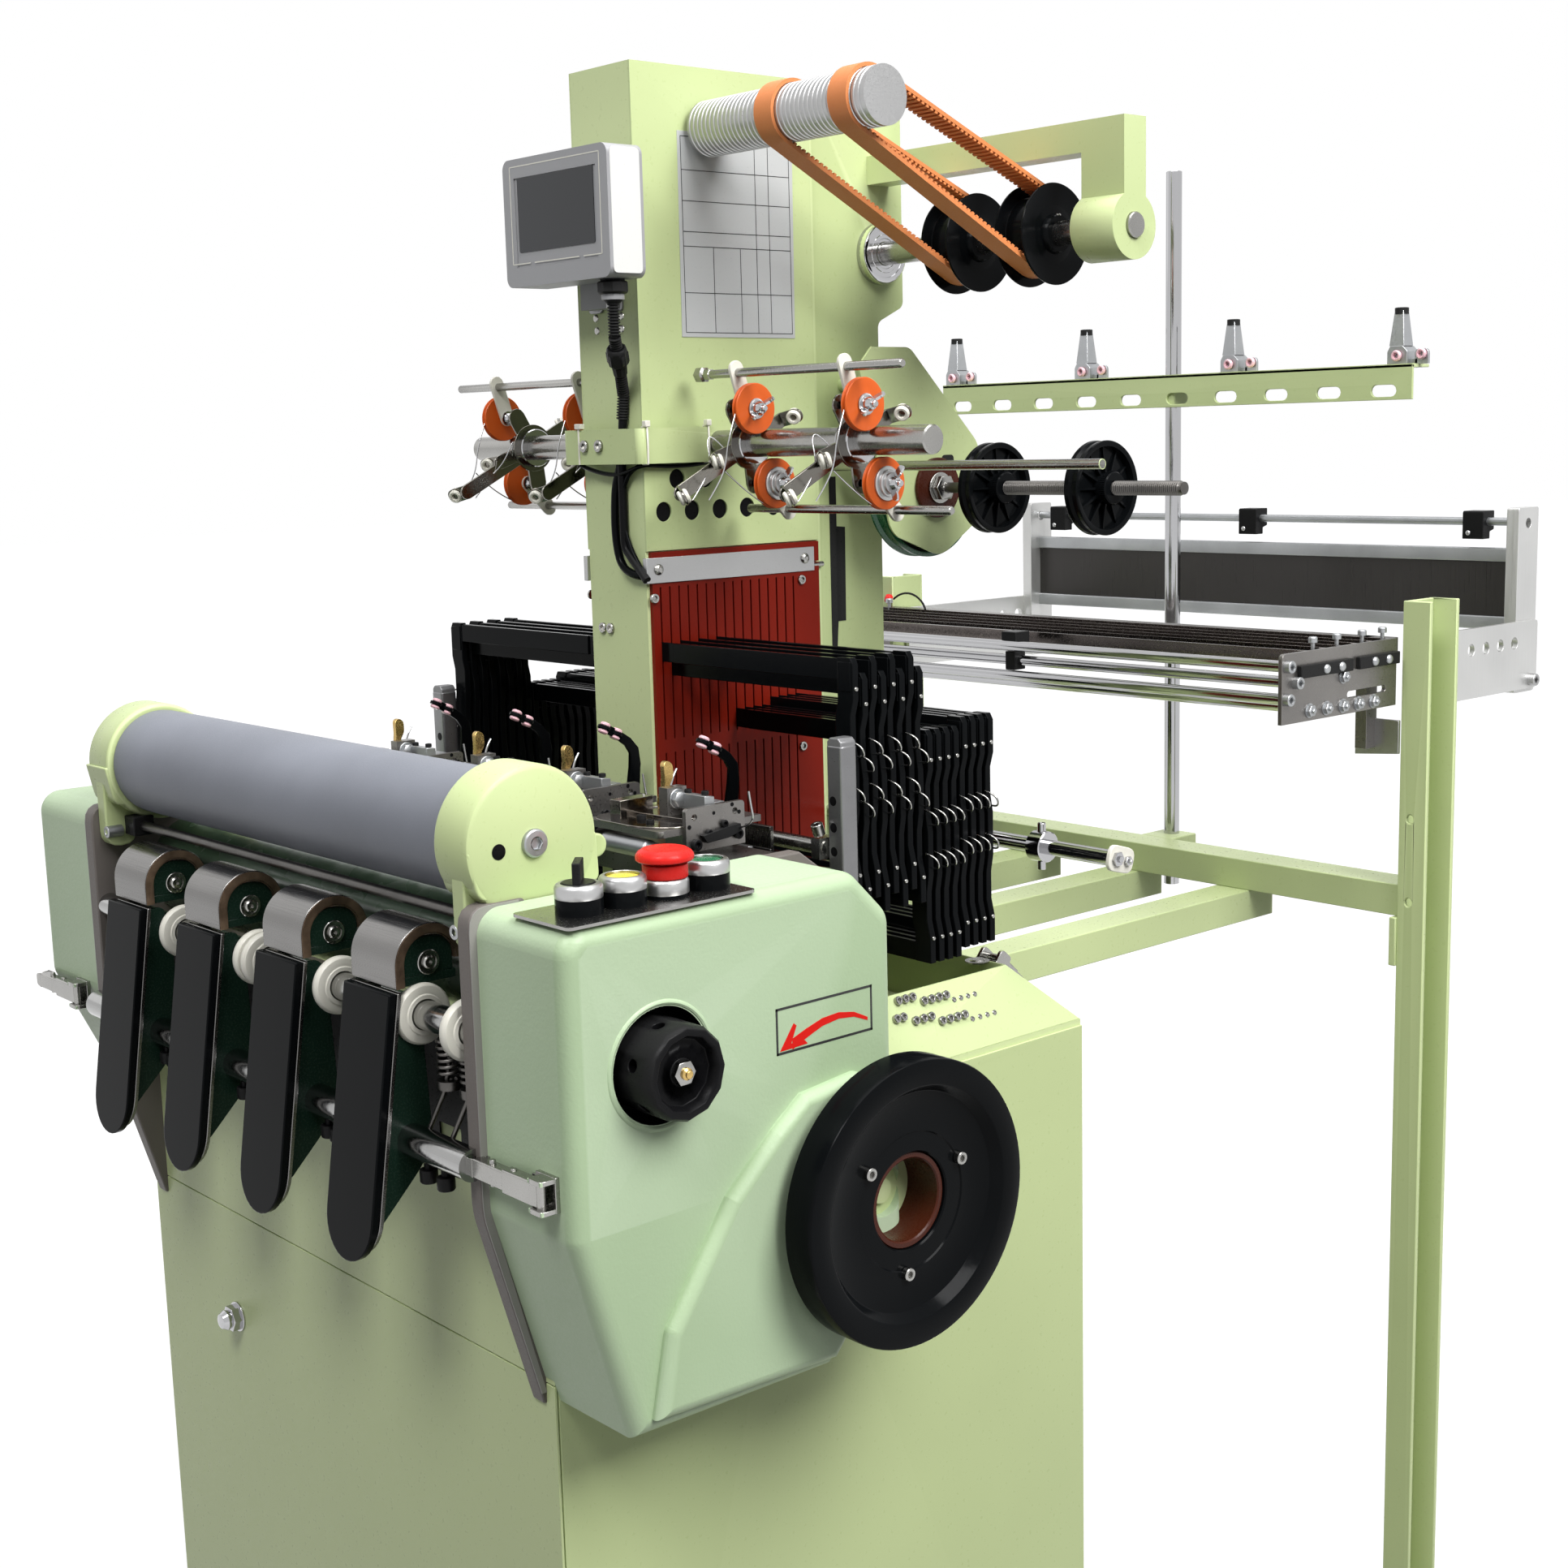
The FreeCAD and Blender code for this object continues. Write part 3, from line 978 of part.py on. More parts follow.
def pulley_shaft():
    """The stud shaft with two spoked pulleys and a nut by the belt guard."""
    pieces = [rod("stud_radius", "stud_end", 0, "stud_y", "stud_z")]
    for index in range(2):
        start = "spoked_first + %d*spoked_pitch - spoked_width/2" % index
        pieces.append(turned([("spoked_radius - 7", 0), ("spoked_radius", 0),
                              ("spoked_radius - 2", "spoked_width/2"),
                              ("spoked_radius", "spoked_width"),
                              ("spoked_radius - 7", "spoked_width")],
                             (start, "stud_y", "stud_z")))
        pieces.append(rod("spoked_hub", "spoked_width + 6", start + " - 3", "stud_y",
                          "stud_z"))
        for spoke in range(10):
            bar = rod("2", "spoked_radius - 3", 0, 0, 0, "Z")
            put(bar, start + " + spoked_width/2", "stud_y", "stud_z",
                Rotation(Vector(1, 0, 0), 36 * spoke))
            pieces.append(bar)
    nut = bind(doc.addObject("Part::Prism", "nut"), Circumradius="2*stud_radius", Height="6")
    nut.Polygon = 6
    put(nut, "guard_x + guard_thick + air_gap", "stud_y", "stud_z", TURNS["X"])
    return node("pulley_shaft", fuse(*pieces, nut))


# ---------------------------------------------------------------------------
# Weft feeders on the main rod
# ---------------------------------------------------------------------------
def link(x, start, end, width, thick):
    """A flat bar with rounded ends between two places on a YZ plane."""
    (y1, z1), (y2, z2) = start, end
    across, up = number(y2) - number(y1), number(z2) - number(z1)
    reach = math.hypot(across, up)
    side = ("%s/2*%.4f" % (width, up / reach), "%s/2*%.4f" % (width, across / reach))
    corners = [("%s + %s" % (y, turn + side[0]), "%s + %s" % (z, other + side[1]))
               for y, z, turn, other in ((y1, z1, "1*", "-1*"), (y2, z2, "1*", "-1*"),
                                         (y2, z2, "-1*", "1*"), (y1, z1, "-1*", "1*"))]
    bar = plate(corners, thick, "YZ", (x, 0, 0))
    ends = [rod("%s/2" % width, thick, x, y, z) for y, z in (start, end)]
    return fuse(bar, *ends)


FEEDERS = ["feeder_first", "feeder_first + head_pitch"]


def feeder_rods():
    pieces = [rod("main_rod_radius", "2*main_rod_half", "-main_rod_half", "main_rod_y",
                  "main_rod_z")]
    for y, z in (("upper_rod_y", "upper_rod_z"), ("lower_rod_y", "lower_rod_z")):
        pieces += mirrored(rod("thin_rod_radius", "thin_rod_half - thin_rod_start",
                               "thin_rod_start", y, z))
    return node("feeder_rods", *pieces)


def feeder_arms():
    pieces = []
    for x in FEEDERS:
        hub = rod("feeder_collar", "feeder_collar_width", x + " - feeder_collar_width/2",
                  "main_rod_y", "main_rod_z")
        spider = [link(x, ("main_rod_y", "main_rod_z"), end, "1.6*arm_bar", "feeder_plate")
                  for end in (("eye_y", "eye_z"), ("back_eye_y", "back_eye_z"),
                              ("disc_y", "disc_z"), ("low_disc_y", "low_disc_z"),
                              ("upper_rod_y", "upper_rod_z"), ("lower_rod_y", "lower_rod_z"))]
        eyes = [rod("eye_radius", "eye_length", x + " - 2", y, z)
                for y, z in (("eye_y", "eye_z"), ("back_eye_y", "back_eye_z"))]
        holes = [rod("eye_radius/2", "3*eye_length", x + " - eye_length", y, z)
                 for y, z in (("eye_y", "eye_z"), ("back_eye_y", "back_eye_z"))]
        rods = [rod("main_rod_radius", "4*feeder_collar", x + " - 2*feeder_collar",
                    "main_rod_y", "main_rod_z")]
        rods += [rod("thin_rod_radius", "4*feeder_collar", x + " - 2*feeder_collar", y, z)
                 for y, z in (("upper_rod_y", "upper_rod_z"), ("lower_rod_y", "lower_rod_z"))]
        pieces += mirrored(cut(fuse(hub, *spider, *eyes), *holes, *rods))
        for start, end in ((("upper_rod_y", "upper_rod_z"), ("disc_y", "disc_z")),
                           (("lower_rod_y", "lower_rod_z"), ("low_disc_y", "low_disc_z"))):
            lever = link(x + " + weft_disc_offset - lever_thick - 4", start, end,
                         "lever_width", "lever_thick")
            bores = [rod("thin_rod_radius", "40", x, *start), rod("weft_stud", "40", x, *end)]
            pieces += mirrored(cut(lever, *bores))
    return node("feeder_arms", *pieces)


def feeder_discs():
    pieces = []
    for x in FEEDERS:
        for y, z in (("disc_y", "disc_z"), ("low_disc_y", "low_disc_z")):
            start = x + " + feeder_plate"
            face = "weft_disc_offset - feeder_plate"
            pieces += mirrored(turned(
                [(0, 0), ("weft_stud", 0), ("weft_stud", face), ("weft_disc_radius", face),
                 ("weft_disc_radius - 2", face + " + 1"), ("weft_stud + 3", face + " + 2.4"),
                 ("weft_stud + 3", face + " + weft_disc_thick - 2.4"),
                 ("weft_disc_radius - 2", face + " + weft_disc_thick - 1"),
                 ("weft_disc_radius", face + " + weft_disc_thick"),
                 ("weft_cap_radius", face + " + weft_disc_thick"),
                 ("weft_cap_radius", face + " + weft_disc_thick + weft_cap_height - 2"),
                 ("weft_cap_radius - 2", face + " + weft_disc_thick + weft_cap_height"),
                 (0, face + " + weft_disc_thick + weft_cap_height")], (start, y, z)))
    return node("feeder_discs", *pieces)


# ---------------------------------------------------------------------------
# Display box and its cable
# ---------------------------------------------------------------------------
# Across, back and up from the underside of the display.
CABLE_ROUTE = [(49, 6, -16), (49, 6, -44), (22, 33, -88), (16, 33, -142), (16, 33, -210),
               (44, 33, -236)]


def display_box():
    half = "display_width/2"
    case = plate(block_corners("-" + half, "display_low", half,
                               "display_low + display_height"), "display_depth", "XZ",
                 (0, "display_front", 0), rounds={"8": [0, 1, 2, 3]})
    margin = "screen_margin"
    recess = box("display_width - 2*" + margin, "screen_depth", "display_height - 2*" + margin,
                 "-%s + %s" % (half, margin), "display_front", "display_low + " + margin)
    screen = box("display_width - 2*%s - 0.4" % margin, "screen_depth/2",
                 "display_height - 2*%s - 0.4" % margin, "-%s + %s + 0.2" % (half, margin),
                 "display_front + screen_depth/2", "display_low + %s + 0.2" % margin)
    bracket = box("bracket_width", "column_front - display_front - display_depth",
                  "display_height", "-bracket_width/2", "display_front + display_depth",
                  "display_low - 20")
    gland = rod("gland_radius", "gland_height", str(CABLE_ROUTE[0][0]),
                str(CABLE_ROUTE[0][1]), "display_low - gland_height", "Z")
    return node("display_box", cut(case, recess), screen, bracket, gland)


def display_cable():
    """The cable from the gland, down behind the strap and round the column's corner."""
    points = [Vector(x, y, number("display_low") + z) for x, y, z in CABLE_ROUTE]
    bend = number("4*cable_radius")
    edges = []
    start = points[0]
    for before, corner, after in zip(points, points[1:], points[2:]):
        into = (corner - before).normalize()
        out = (after - corner).normalize()
        turn = into.getAngle(out)
        reach = bend * math.tan(turn / 2)
        first, last = corner - into * reach, corner + out * reach
        middle = corner + (out - into).normalize() * (bend / math.cos(turn / 2) - bend)
        edges.append(Part.LineSegment(start, first).toShape())
        edges.append(Part.Arc(first, middle, last).toShape())
        start = last
    edges.append(Part.LineSegment(start, points[-1]).toShape())
    path = Part.Wire(edges)
    ring = Part.Wire(Part.Circle(points[0], Vector(0, 0, 1), number("cable_radius")).toShape())
    print("display cable: bends of %.1f mm, length %.1f mm" % (bend, path.Length))
    return node("display_cable", shaped("cable", path.makePipeShell([ring], True, False)))


# ---------------------------------------------------------------------------
# Weaving heads, thread arms, latches and the reed sley
# ---------------------------------------------------------------------------
HEADS = [-3, -1, 1, 3]


def weaving_heads():
    bar = box("2*frame_inside", "bar_depth", "bar_height", "-frame_inside", "bar_y", "bar_z")
    pieces = [bar]
    for place in HEADS:
        centre = "%d*head_pitch/2" % place
        foot = box("bar_depth", "bar_depth - 8", "table_z - bar_z - bar_height",
                   centre + " - bar_depth/2", "bar_y + 4", "bar_z + bar_height")
        table = plate(block_corners("-head_width/2", "table_front",
                                    "head_width/2 - wall_thick", "table_rear"), "table_thick",
                      "XY", (centre, 0, "table_z"), rounds={"5": [0, 1]})
        top = "table_z + table_thick"
        low = "table_z - wall_drop"
        wall = plate(block_corners("wall_front", low, "wall_rear", low + " + wall_height"),
                     "wall_thick", "YZ", (centre + " + head_width/2 - wall_thick", 0, 0),
                     holes=[("wall_front + %d" % place, low + " + wall_height - 7", "2.5")
                            for place in (8, 46)], rounds={"3": [2, 3]})
        seat = cut(box("latch_seat", "2*latch_width - 6", "latch_z + latch_pin + 3 - (%s)" % top,
                       centre + " + 1.5", "latch_y - latch_width + 3", top),
                   rod("latch_pin + running", "2*latch_seat", centre, "latch_y", "latch_z"))
        block = box("12", "30", "14", centre + " - 30", "table_front + 12", top)
        pieces += [foot, table, wall, seat, block]
    return node("weaving_heads", *pieces)


def head_latch(number_of, place):
    face = "%d*head_pitch/2 - latch_thick + 1" % place
    pin = rod("latch_pin", "latch_thick + latch_seat", face + " + air_gap", "latch_y",
              "latch_z")
    lever = plate([("latch_y - latch_width/2", "latch_z - 6"),
                   ("latch_y + latch_width/2", "latch_z - 6"),
                   ("latch_y + latch_width/2", "latch_z + latch_length - 6"),
                   ("latch_y - latch_width/2", "latch_z + latch_length")], "latch_thick",
                  "YZ", (face + " + air_gap", 0, 0), rounds={"3": [0, 1, 2, 3]})
    return node("head_latch_%d" % number_of, fuse(pin, lever))


def thread_arms():
    shaft = rod("cross_radius", "2*(frame_inside - upright_width)",
                "-frame_inside + upright_width", "cross_y", "cross_z")
    pieces = [shaft]
    for place in HEADS:
        x = "%d*head_pitch/2 + thread_arm_offset" % place
        clamp = rod("cross_radius + 3", "12", x + " - 6", "cross_y", "cross_z")
        lower = link(x, ("cross_y", "cross_z"), ("elbow_y", "elbow_z"), "thread_arm_bar",
                     "thread_arm_thick")
        upper = link(x, ("elbow_y", "elbow_z"), ("thread_eye_y", "thread_eye_z"),
                     "thread_arm_bar", "thread_arm_thick")
        eye = rod("eye_radius", "eye_length", x + " - 2", "thread_eye_y", "thread_eye_z")
        hole = rod("eye_radius/2", "3*eye_length", x + " - eye_length", "thread_eye_y",
                   "thread_eye_z")
        bore = rod("cross_radius", "20", x + " - 10", "cross_y", "cross_z")
        pieces.append(cut(fuse(clamp, lower, upper, eye), hole, bore))
    return node("thread_arms", *pieces)


def reed_sley():
    """The swinging sley: a shaft, four pairs of swords, a bar and the four reeds."""
    shaft = rod("sley_radius", "2*sley_end", "-sley_end", "sley_y", "sley_z")
    beam = box("2*sley_bar_half", "sley_bar_depth", "sley_bar_height", "-sley_bar_half",
               "sley_y - sley_bar_depth/2", "sley_bar_z")
    swords = []
    reeds = []
    for place in HEADS:
        centre = "%d*head_pitch/2" % place
        for side in (LEFT, RIGHT):
            swords.append(box("sword_width", "sword_thick", "sley_bar_z - sley_z + 2",
                              "%s + %d*reed_width/2 - sword_width/2" % (centre, side),
                              "sley_y - sword_thick/2", "sley_z"))
        reeds.append(box("reed_width", "reed_thick", "reed_height", centre + " - reed_width/2",
                         "sley_y - reed_thick/2", "sley_bar_z + sley_bar_height"))
    return node("reed_sley", fuse(shaft, beam, *swords), *reeds)


# ---------------------------------------------------------------------------
# Sixteen harness frames, two to a lifting group
# ---------------------------------------------------------------------------
HARNESS_GROUPS = [(1, 3), (5, 7), (2, 4), (6, 8), (9, 10), (11, 12), (13, 14), (15, 16)]


def harness_frame(place):
    rest = "rest_low" if place > 8 else "rest_high - %d*rest_step" % (1 - place % 2)
    top = "harness_height - rail_height"
    windows = [block_corners("lifter_width/2", "sill_height", "harness_half - post_width", top),
               block_corners("-harness_half + post_width", "sill_height", "-lifter_width/2",
                             top)]
    return plate(block_corners("-harness_half", "0", "harness_half", "harness_height"),
                 "harness_thick", "XZ",
                 (0, "harness_first + %d*harness_pitch - harness_thick/2" % (place - 1), rest),
                 cut_outs=windows)


def harnesses():
    for index, group in enumerate(HARNESS_GROUPS, 1):
        node("harness_%d" % index, *[harness_frame(place) for place in group])


# ---------------------------------------------------------------------------
# Rear frame, back reed, stop motion and the slotted rail
# ---------------------------------------------------------------------------
def rear_frame():
    """Two channel posts on feet, a rail across them and four bearers to the cabinet."""
    wall = "post_wall"
    rear = "post_front + post_depth"
    channel = plate([("post_x", "post_front"), ("post_x + post_flange", "post_front"),
                     ("post_x + post_flange", "post_front + " + wall),
                     ("post_x + " + wall, "post_front + " + wall),
                     ("post_x + " + wall, rear + " - " + wall),
                     ("post_x + post_flange", rear + " - " + wall),
                     ("post_x + post_flange", rear), ("post_x", rear)],
                    "post_height - foot_thick", "XY", (0, 0, "foot_thick"))
    holes = [rod("6", "3*post_wall", "post_x - post_wall", "post_front + post_depth/2", z)
             for z in ("899", "977", "1055")]
    foot = box("foot_size", "foot_size", "foot_thick", "post_x + post_flange/2 - foot_size/2",
               "post_front + post_depth/2 - foot_size/2", 0)
    rail = box("2*post_x", "rail_depth", "rail_thick", "-post_x", "post_front + rail_setback",
               "rail_low")
    bearers = []
    for x in ("bearer_x", "0"):
        bearer = box("bearer_width", "post_front + rail_setback + rail_depth - cabinet_depth/2",
                     "bearer_depth", x, "cabinet_depth/2", "rail_low - bearer_depth")
        bearers += mirrored(bearer) if x != "0" else [
            put(bearer, "-bearer_width/2", "cabinet_depth/2", "rail_low - bearer_depth")]
    collar = rod("collar_rod_radius", "collar_rod_end + casting_half", "-casting_half",
                 "collar_rod_y", "collar_rod_z")
    ring = rod("2*collar_rod_radius", "14", "284 - 7", "collar_rod_y", "collar_rod_z")
    end = box("3", "30", "30", "collar_rod_end", "collar_rod_y - 15", "collar_rod_z - 15")
    return node("rear_frame", *mirrored(cut(channel, *holes)), *mirrored(foot), rail,
                *bearers, fuse(collar, ring, end))


def stop_motion():
    """Two end plates with tubes and rails between them, and a hanging bar."""
    ends = mirrored(plate(block_corners("stop_front", "stop_low", "post_front + 24",
                                        "stop_high"), "stop_plate", "YZ",
                          ("post_x - stop_plate", 0, 0), rounds={"6": [0, 3]}))
    inside = "post_x - stop_plate"
    tubes = [rod("stop_tube_radius", "2*(%s)" % inside, "-(%s)" % inside,
                 "stop_front + 12 + %d*13" % step, "stop_low + 10 + %d*12" % step)
             for step in range(4)]
    rails = [box("2*(%s)" % inside, "stop_rail_thick", "stop_rail_height", "-(%s)" % inside,
                 "stop_front + 72 + %d*24" % step, "stop_high - stop_rail_height - 4")
             for step in range(5)]
    hanger = box("hanger_width", "hanger_depth", "stop_high - hanger_low - 20", "294",
                 "stop_rear - 6", "hanger_low")
    bridge = box("2*(%s)" % inside, "hanger_depth", "20", "-(%s)" % inside, "stop_rear - 6",
                 "stop_high - 20")
    return node("stop_motion", *ends, *tubes, *rails, fuse(hanger, bridge))


def back_reed_frame():
    inner = "reed_half"
    plates = mirrored(plate(block_corners("reed_plate_front", "reed_plate_low",
                                          "reed_plate_rear", "reed_plate_top"),
                            "reed_plate_thick", "YZ", (inner, 0, 0),
                            holes=[("reed_plate_front + 106 + %d*26" % step,
                                    "reed_plate_low + 46", "6") for step in range(4)],
                            rounds={"8": [1, 2]}))
    posts = mirrored(box("reed_bar", "reed_post_depth", "reed_post_top - reed_post_low",
                         inner + " - reed_bar", "reed_post_y", "reed_post_low"))
    top = rod("reed_rod_radius", "2*(%s - reed_bar)" % inner, "-%s + reed_bar" % inner,
              "reed_post_y + reed_post_depth/2", "reed_post_top - 14")
    clips = [box("clip_size", "clip_size", "clip_size", x, "reed_post_y + 8",
                 "reed_post_top - 14 - clip_size/2") for x in ("-285", "-13", "258")]
    keep = rod("reed_rod_radius", "2*reed_half", "-reed_half",
               "reed_post_y + reed_post_depth/2", "reed_post_top - 14")
    clamps = [cut(clip, keep) for clip in clips]
    spacers = mirrored(box("post_x - %s - reed_plate_thick" % inner, "20",
                           "reed_plate_top - reed_plate_low - 20",
                           inner + " + reed_plate_thick", "post_front + 26",
                           "reed_plate_low + 10"))
    return node("back_reed_frame", *plates, *posts, top, *clamps, *spacers)


def back_reed():
    width = "2*(reed_half - reed_bar)"
    low = "-(reed_half - reed_bar)"
    middle = "reed_post_y + reed_post_depth/2 - reed_panel_thick/2"
    panel = box(width, "reed_panel_thick/2", "reed_panel_top - reed_panel_low", low,
                middle + " + reed_panel_thick/4", "reed_panel_low")
    bands = [box(width, "reed_panel_thick", "reed_band/2", low, middle, z)
             for z in ("reed_panel_low", "reed_panel_top - reed_band/2")]
    return node("back_reed", fuse(panel, *bands))


def slotted_rail():
    """The slotted rail with its top flange, on a pole clamped to the rear frame."""
    front = box("2*slotted_half", "slotted_wall", "slotted_height", "-slotted_half",
                "slotted_y", "slotted_low")
    flange = box("2*slotted_half", "slotted_flange", "slotted_wall", "-slotted_half",
                 "slotted_y", "slotted_low + slotted_height - slotted_wall")
    slots = [box("slot_length", "3*slotted_wall", "slot_height",
                 "%d*slot_pitch + (slot_pitch - slot_length)/2" % step,
                 "slotted_y - slotted_wall",
                 "slotted_low + slotted_height/2 - slot_height/2") for step in range(-5, 5)]
    pole_hole = rod("pole_radius", "2*slotted_height", "pole_x", "pole_y", "slotted_low", "Z")
    rail = cut(fuse(front, flange), *slots, pole_hole)
    pole = rod("pole_radius", "pole_top - pole_low", "pole_x", "pole_y", "pole_low", "Z")
    clamp = box("3*pole_radius", "pole_y - slotted_y - slotted_wall",
                "slotted_height - slotted_wall", "pole_x - 1.5*pole_radius",
                "slotted_y + slotted_wall", "slotted_low")
    base_front = "post_front + rail_setback + rail_depth"
    base = box("5*pole_radius", "pole_y + 2*pole_radius - (%s)" % base_front, "rail_thick",
               "pole_x - 2.5*pole_radius", base_front, "rail_low")
    keep = rod("pole_radius", "pole_top - pole_low", "pole_x", "pole_y", "pole_low", "Z")
    return node("slotted_rail", rail, pole, cut(clamp, keep), cut(base, keep))


def thread_tensioners():
    pieces = []
    for step in (-1.5, -0.5, 0.5, 1.5):
        x = "%.1f*tensioner_pitch - tensioner_shift" % step
        base = "slotted_low + slotted_height"
        spindle = turned([(0, 0), ("cone_radius", 0), ("cone_radius", 4),
                          ("cone_top", "cone_height - 6"), ("cone_top", "cone_height"),
                          ("washer_radius", "cone_height"),
                          ("washer_radius", "cone_height + 1.5"),
                          ("cone_top/2", "cone_height + 1.5"),
                          ("cone_top/2", "cone_height + tab_height"),
                          (0, "cone_height + tab_height")],
                         (x, "slotted_y + slotted_flange/2", base), "Z")
        tab = box("2", "14", "tab_height - 4", x + " + cone_top/2 - 1",
                  "slotted_y + slotted_flange/2 - 7", base + " + cone_height + 1.5")
        pieces.append(fuse(spindle, tab))
    return node("thread_tensioners", *pieces)


# ---------------------------------------------------------------------------
# Toggle latches: a base with two ears, and a lever on a pin
# ---------------------------------------------------------------------------
def toggle_turn(lever, outward):
    return Rotation(lever, outward.cross(lever), outward, "ZXY")


SLOPE = math.atan2(DIMENSIONS["deck_height"], DIMENSIONS["deck_rear_slope"])
DOWN_SLOPE = Vector(0, math.cos(SLOPE), -math.sin(SLOPE))
OFF_SLOPE = Vector(0, math.sin(SLOPE), math.cos(SLOPE))
TOGGLES = [
    ("toggle_1", "toggle_length", ("toggle_right_x", "cover_front", "toggle_z"),
     toggle_turn(Vector(-1, 0, 0), Vector(0, -1, 0))),
    ("toggle_2", "toggle_length", ("-toggle_left", "cover_front", "toggle_z"),
     toggle_turn(Vector(-1, 0, 0), Vector(0, -1, 0))),
    ("toggle_3", "toggle_short", ("toggle_rear_x", "cover_rear", "toggle_rear_z"),
     toggle_turn(Vector(0, 0, -1), Vector(0, 1, 0))),
    ("toggle_4", "toggle_short", ("toggle_shoulder_x", "toggle_shoulder_y",
                                  "cabinet_height + deck_height - (toggle_shoulder_y"
                                  " - cabinet_depth/2 + deck_rear_slope)"
                                  "*deck_height/deck_rear_slope"),
     toggle_turn(DOWN_SLOPE, OFF_SLOPE)),
]


def toggle_base(place, turn):
    ears = []
    for side in (LEFT, RIGHT):
        low = "toggle_width/2 - 2.7" if side == RIGHT else "-toggle_width/2"
        ears.append(box("toggle_base_length - 6", "2.7", "toggle_height + 5", 0, low, 0))
    foot = box("toggle_base_length", "toggle_width", "toggle_base", 0, "-toggle_width/2", 0)
    bore = rod("toggle_pin + running", "2*toggle_width", "7", "-toggle_width",
               "toggle_height", "Y")
    return put(cut(fuse(foot, *ears), bore), *place, turn=turn)


def toggle_lever(name, length, place, turn):
    lever = box(length + " - 7", "toggle_lever", "toggle_thick", "7", "-toggle_lever/2",
                "toggle_height - toggle_thick/2")
    barrel = rod("toggle_thick", "toggle_lever", "7", "-toggle_lever/2", "toggle_height", "Y")
    pin = rod("toggle_pin", "toggle_width", "7", "-toggle_width/2", "toggle_height", "Y")
    return node(name, put(fuse(lever, barrel, pin), *place, turn=turn))


# ---------------------------------------------------------------------------
# The whole machine
# ---------------------------------------------------------------------------
cabinet()
cabinet_panels()
side_frames()
gear_covers()
control_plate()
stop_button()
push_button("yellow_button", 1)
push_button("green_button", 3)
selector()
handwheel()
hand_knob()
drive_motor()
motor_pulley()
take_up_roller()
roller_caps()
cross_beam()
front_shafts()
for count, spot in enumerate(HEADS, 1):
    finger(count, spot)
    head_latch(count, spot)
column()
column_covers()
slotted_guides()
rear_casting()
head_shaft()
front_feed_shaft()
feed_belts()
pulley_shaft()
feeder_rods()
feeder_arms()
feeder_discs()
display_box()
display_cable()
weaving_heads()
thread_arms()
reed_sley()
harnesses()
rear_frame()
stop_motion()
back_reed_frame()
back_reed()
slotted_rail()
thread_tensioners()
for label, reach, spot, direction in TOGGLES:
    toggle_lever(label, reach, spot, direction)

doc.recompute()
os.makedirs("parts", exist_ok=True)
for thing in doc.Objects:
    problems = [state for state in thing.State if state in ("Invalid", "Error")]
    if problems:
        raise RuntimeError("%s (%s): %s" % (thing.Name, thing.Label, problems))
for thing in nodes:
    if thing.Shape.isNull() or not thing.Shape.isValid():
        raise RuntimeError("%s has no valid shape" % thing.Label)
for thing in nodes:
    thing.Shape.exportStep("parts/%s.step" % thing.Label)
print("%d nodes written" % len(nodes))
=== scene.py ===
from math import asin, atan2, cos, pi, radians, sin

import bmesh
import bpy
from mathutils import Matrix, Vector


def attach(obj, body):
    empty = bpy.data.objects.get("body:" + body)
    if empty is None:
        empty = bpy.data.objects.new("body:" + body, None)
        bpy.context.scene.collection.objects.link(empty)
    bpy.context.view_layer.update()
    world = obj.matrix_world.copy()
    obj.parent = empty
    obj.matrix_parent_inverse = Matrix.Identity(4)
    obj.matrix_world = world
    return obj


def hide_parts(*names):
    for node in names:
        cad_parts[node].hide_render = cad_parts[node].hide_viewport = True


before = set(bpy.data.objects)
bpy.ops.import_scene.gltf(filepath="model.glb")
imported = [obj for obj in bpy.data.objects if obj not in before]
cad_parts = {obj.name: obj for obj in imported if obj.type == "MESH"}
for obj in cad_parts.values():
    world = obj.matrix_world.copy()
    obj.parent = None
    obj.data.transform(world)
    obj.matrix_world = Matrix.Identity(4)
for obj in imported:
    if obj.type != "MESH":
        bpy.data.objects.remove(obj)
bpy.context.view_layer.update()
print(len(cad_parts), "nodes in the frame")
MM = 0.001

# %% [markdown]
# ## Camera
# The photograph was taken from the right of the machine's front, at eye height, with a slight
# roll. The place and the three turns were solved from edges of the machine whose sizes are
# known, so the camera is written as those numbers and not aimed at a target.
# %% Camera
CAMERA_PLACE = (1.400, -1.011, 1.350)
CAMERA_TURN = (48.858, -9.406, -1.522)
CAMERA_LENS = 48.556


def set_camera():
    heading, pitch, roll = (radians(angle) for angle in CAMERA_TURN)
    data = bpy.data.cameras.new("photo_camera")
    data.lens = CAMERA_LENS
    data.sensor_width = 36
    data.clip_end = 50
    camera = bpy.data.objects.new("photo_camera", data)
    camera.matrix_world = (Matrix.Translation(CAMERA_PLACE) @ Matrix.Rotation(heading, 4, "Z")
                           @ Matrix.Rotation(pi / 2 + pitch, 4, "X")
                           @ Matrix.Rotation(roll, 4, "Z"))
    bpy.context.collection.objects.link(camera)
    bpy.context.scene.camera = camera


set_camera()
print("camera at", CAMERA_PLACE, "with a lens of", CAMERA_LENS, "mm")

# %% [markdown]
# ## Materials
# Every surface is procedural: paint, turned steel, rubber and moulded plastic differ in how
# the tone drifts, how fine the grain is and how much their edges are lightened, which is a
# painted highlight along with some wear. One helper makes them all, and first come its small
# parts. Object coordinates are metres in the machine's frame, so a scale of 500 is a grain of
# about two millimetres on every piece.
# %% Materials
MATERIALS, LOOK_SLOTS = {}, {}
COAT_ROUGHNESS = 0.15


BLACK, WHITE = (0, 0, 0, 1), (1, 1, 1, 1)


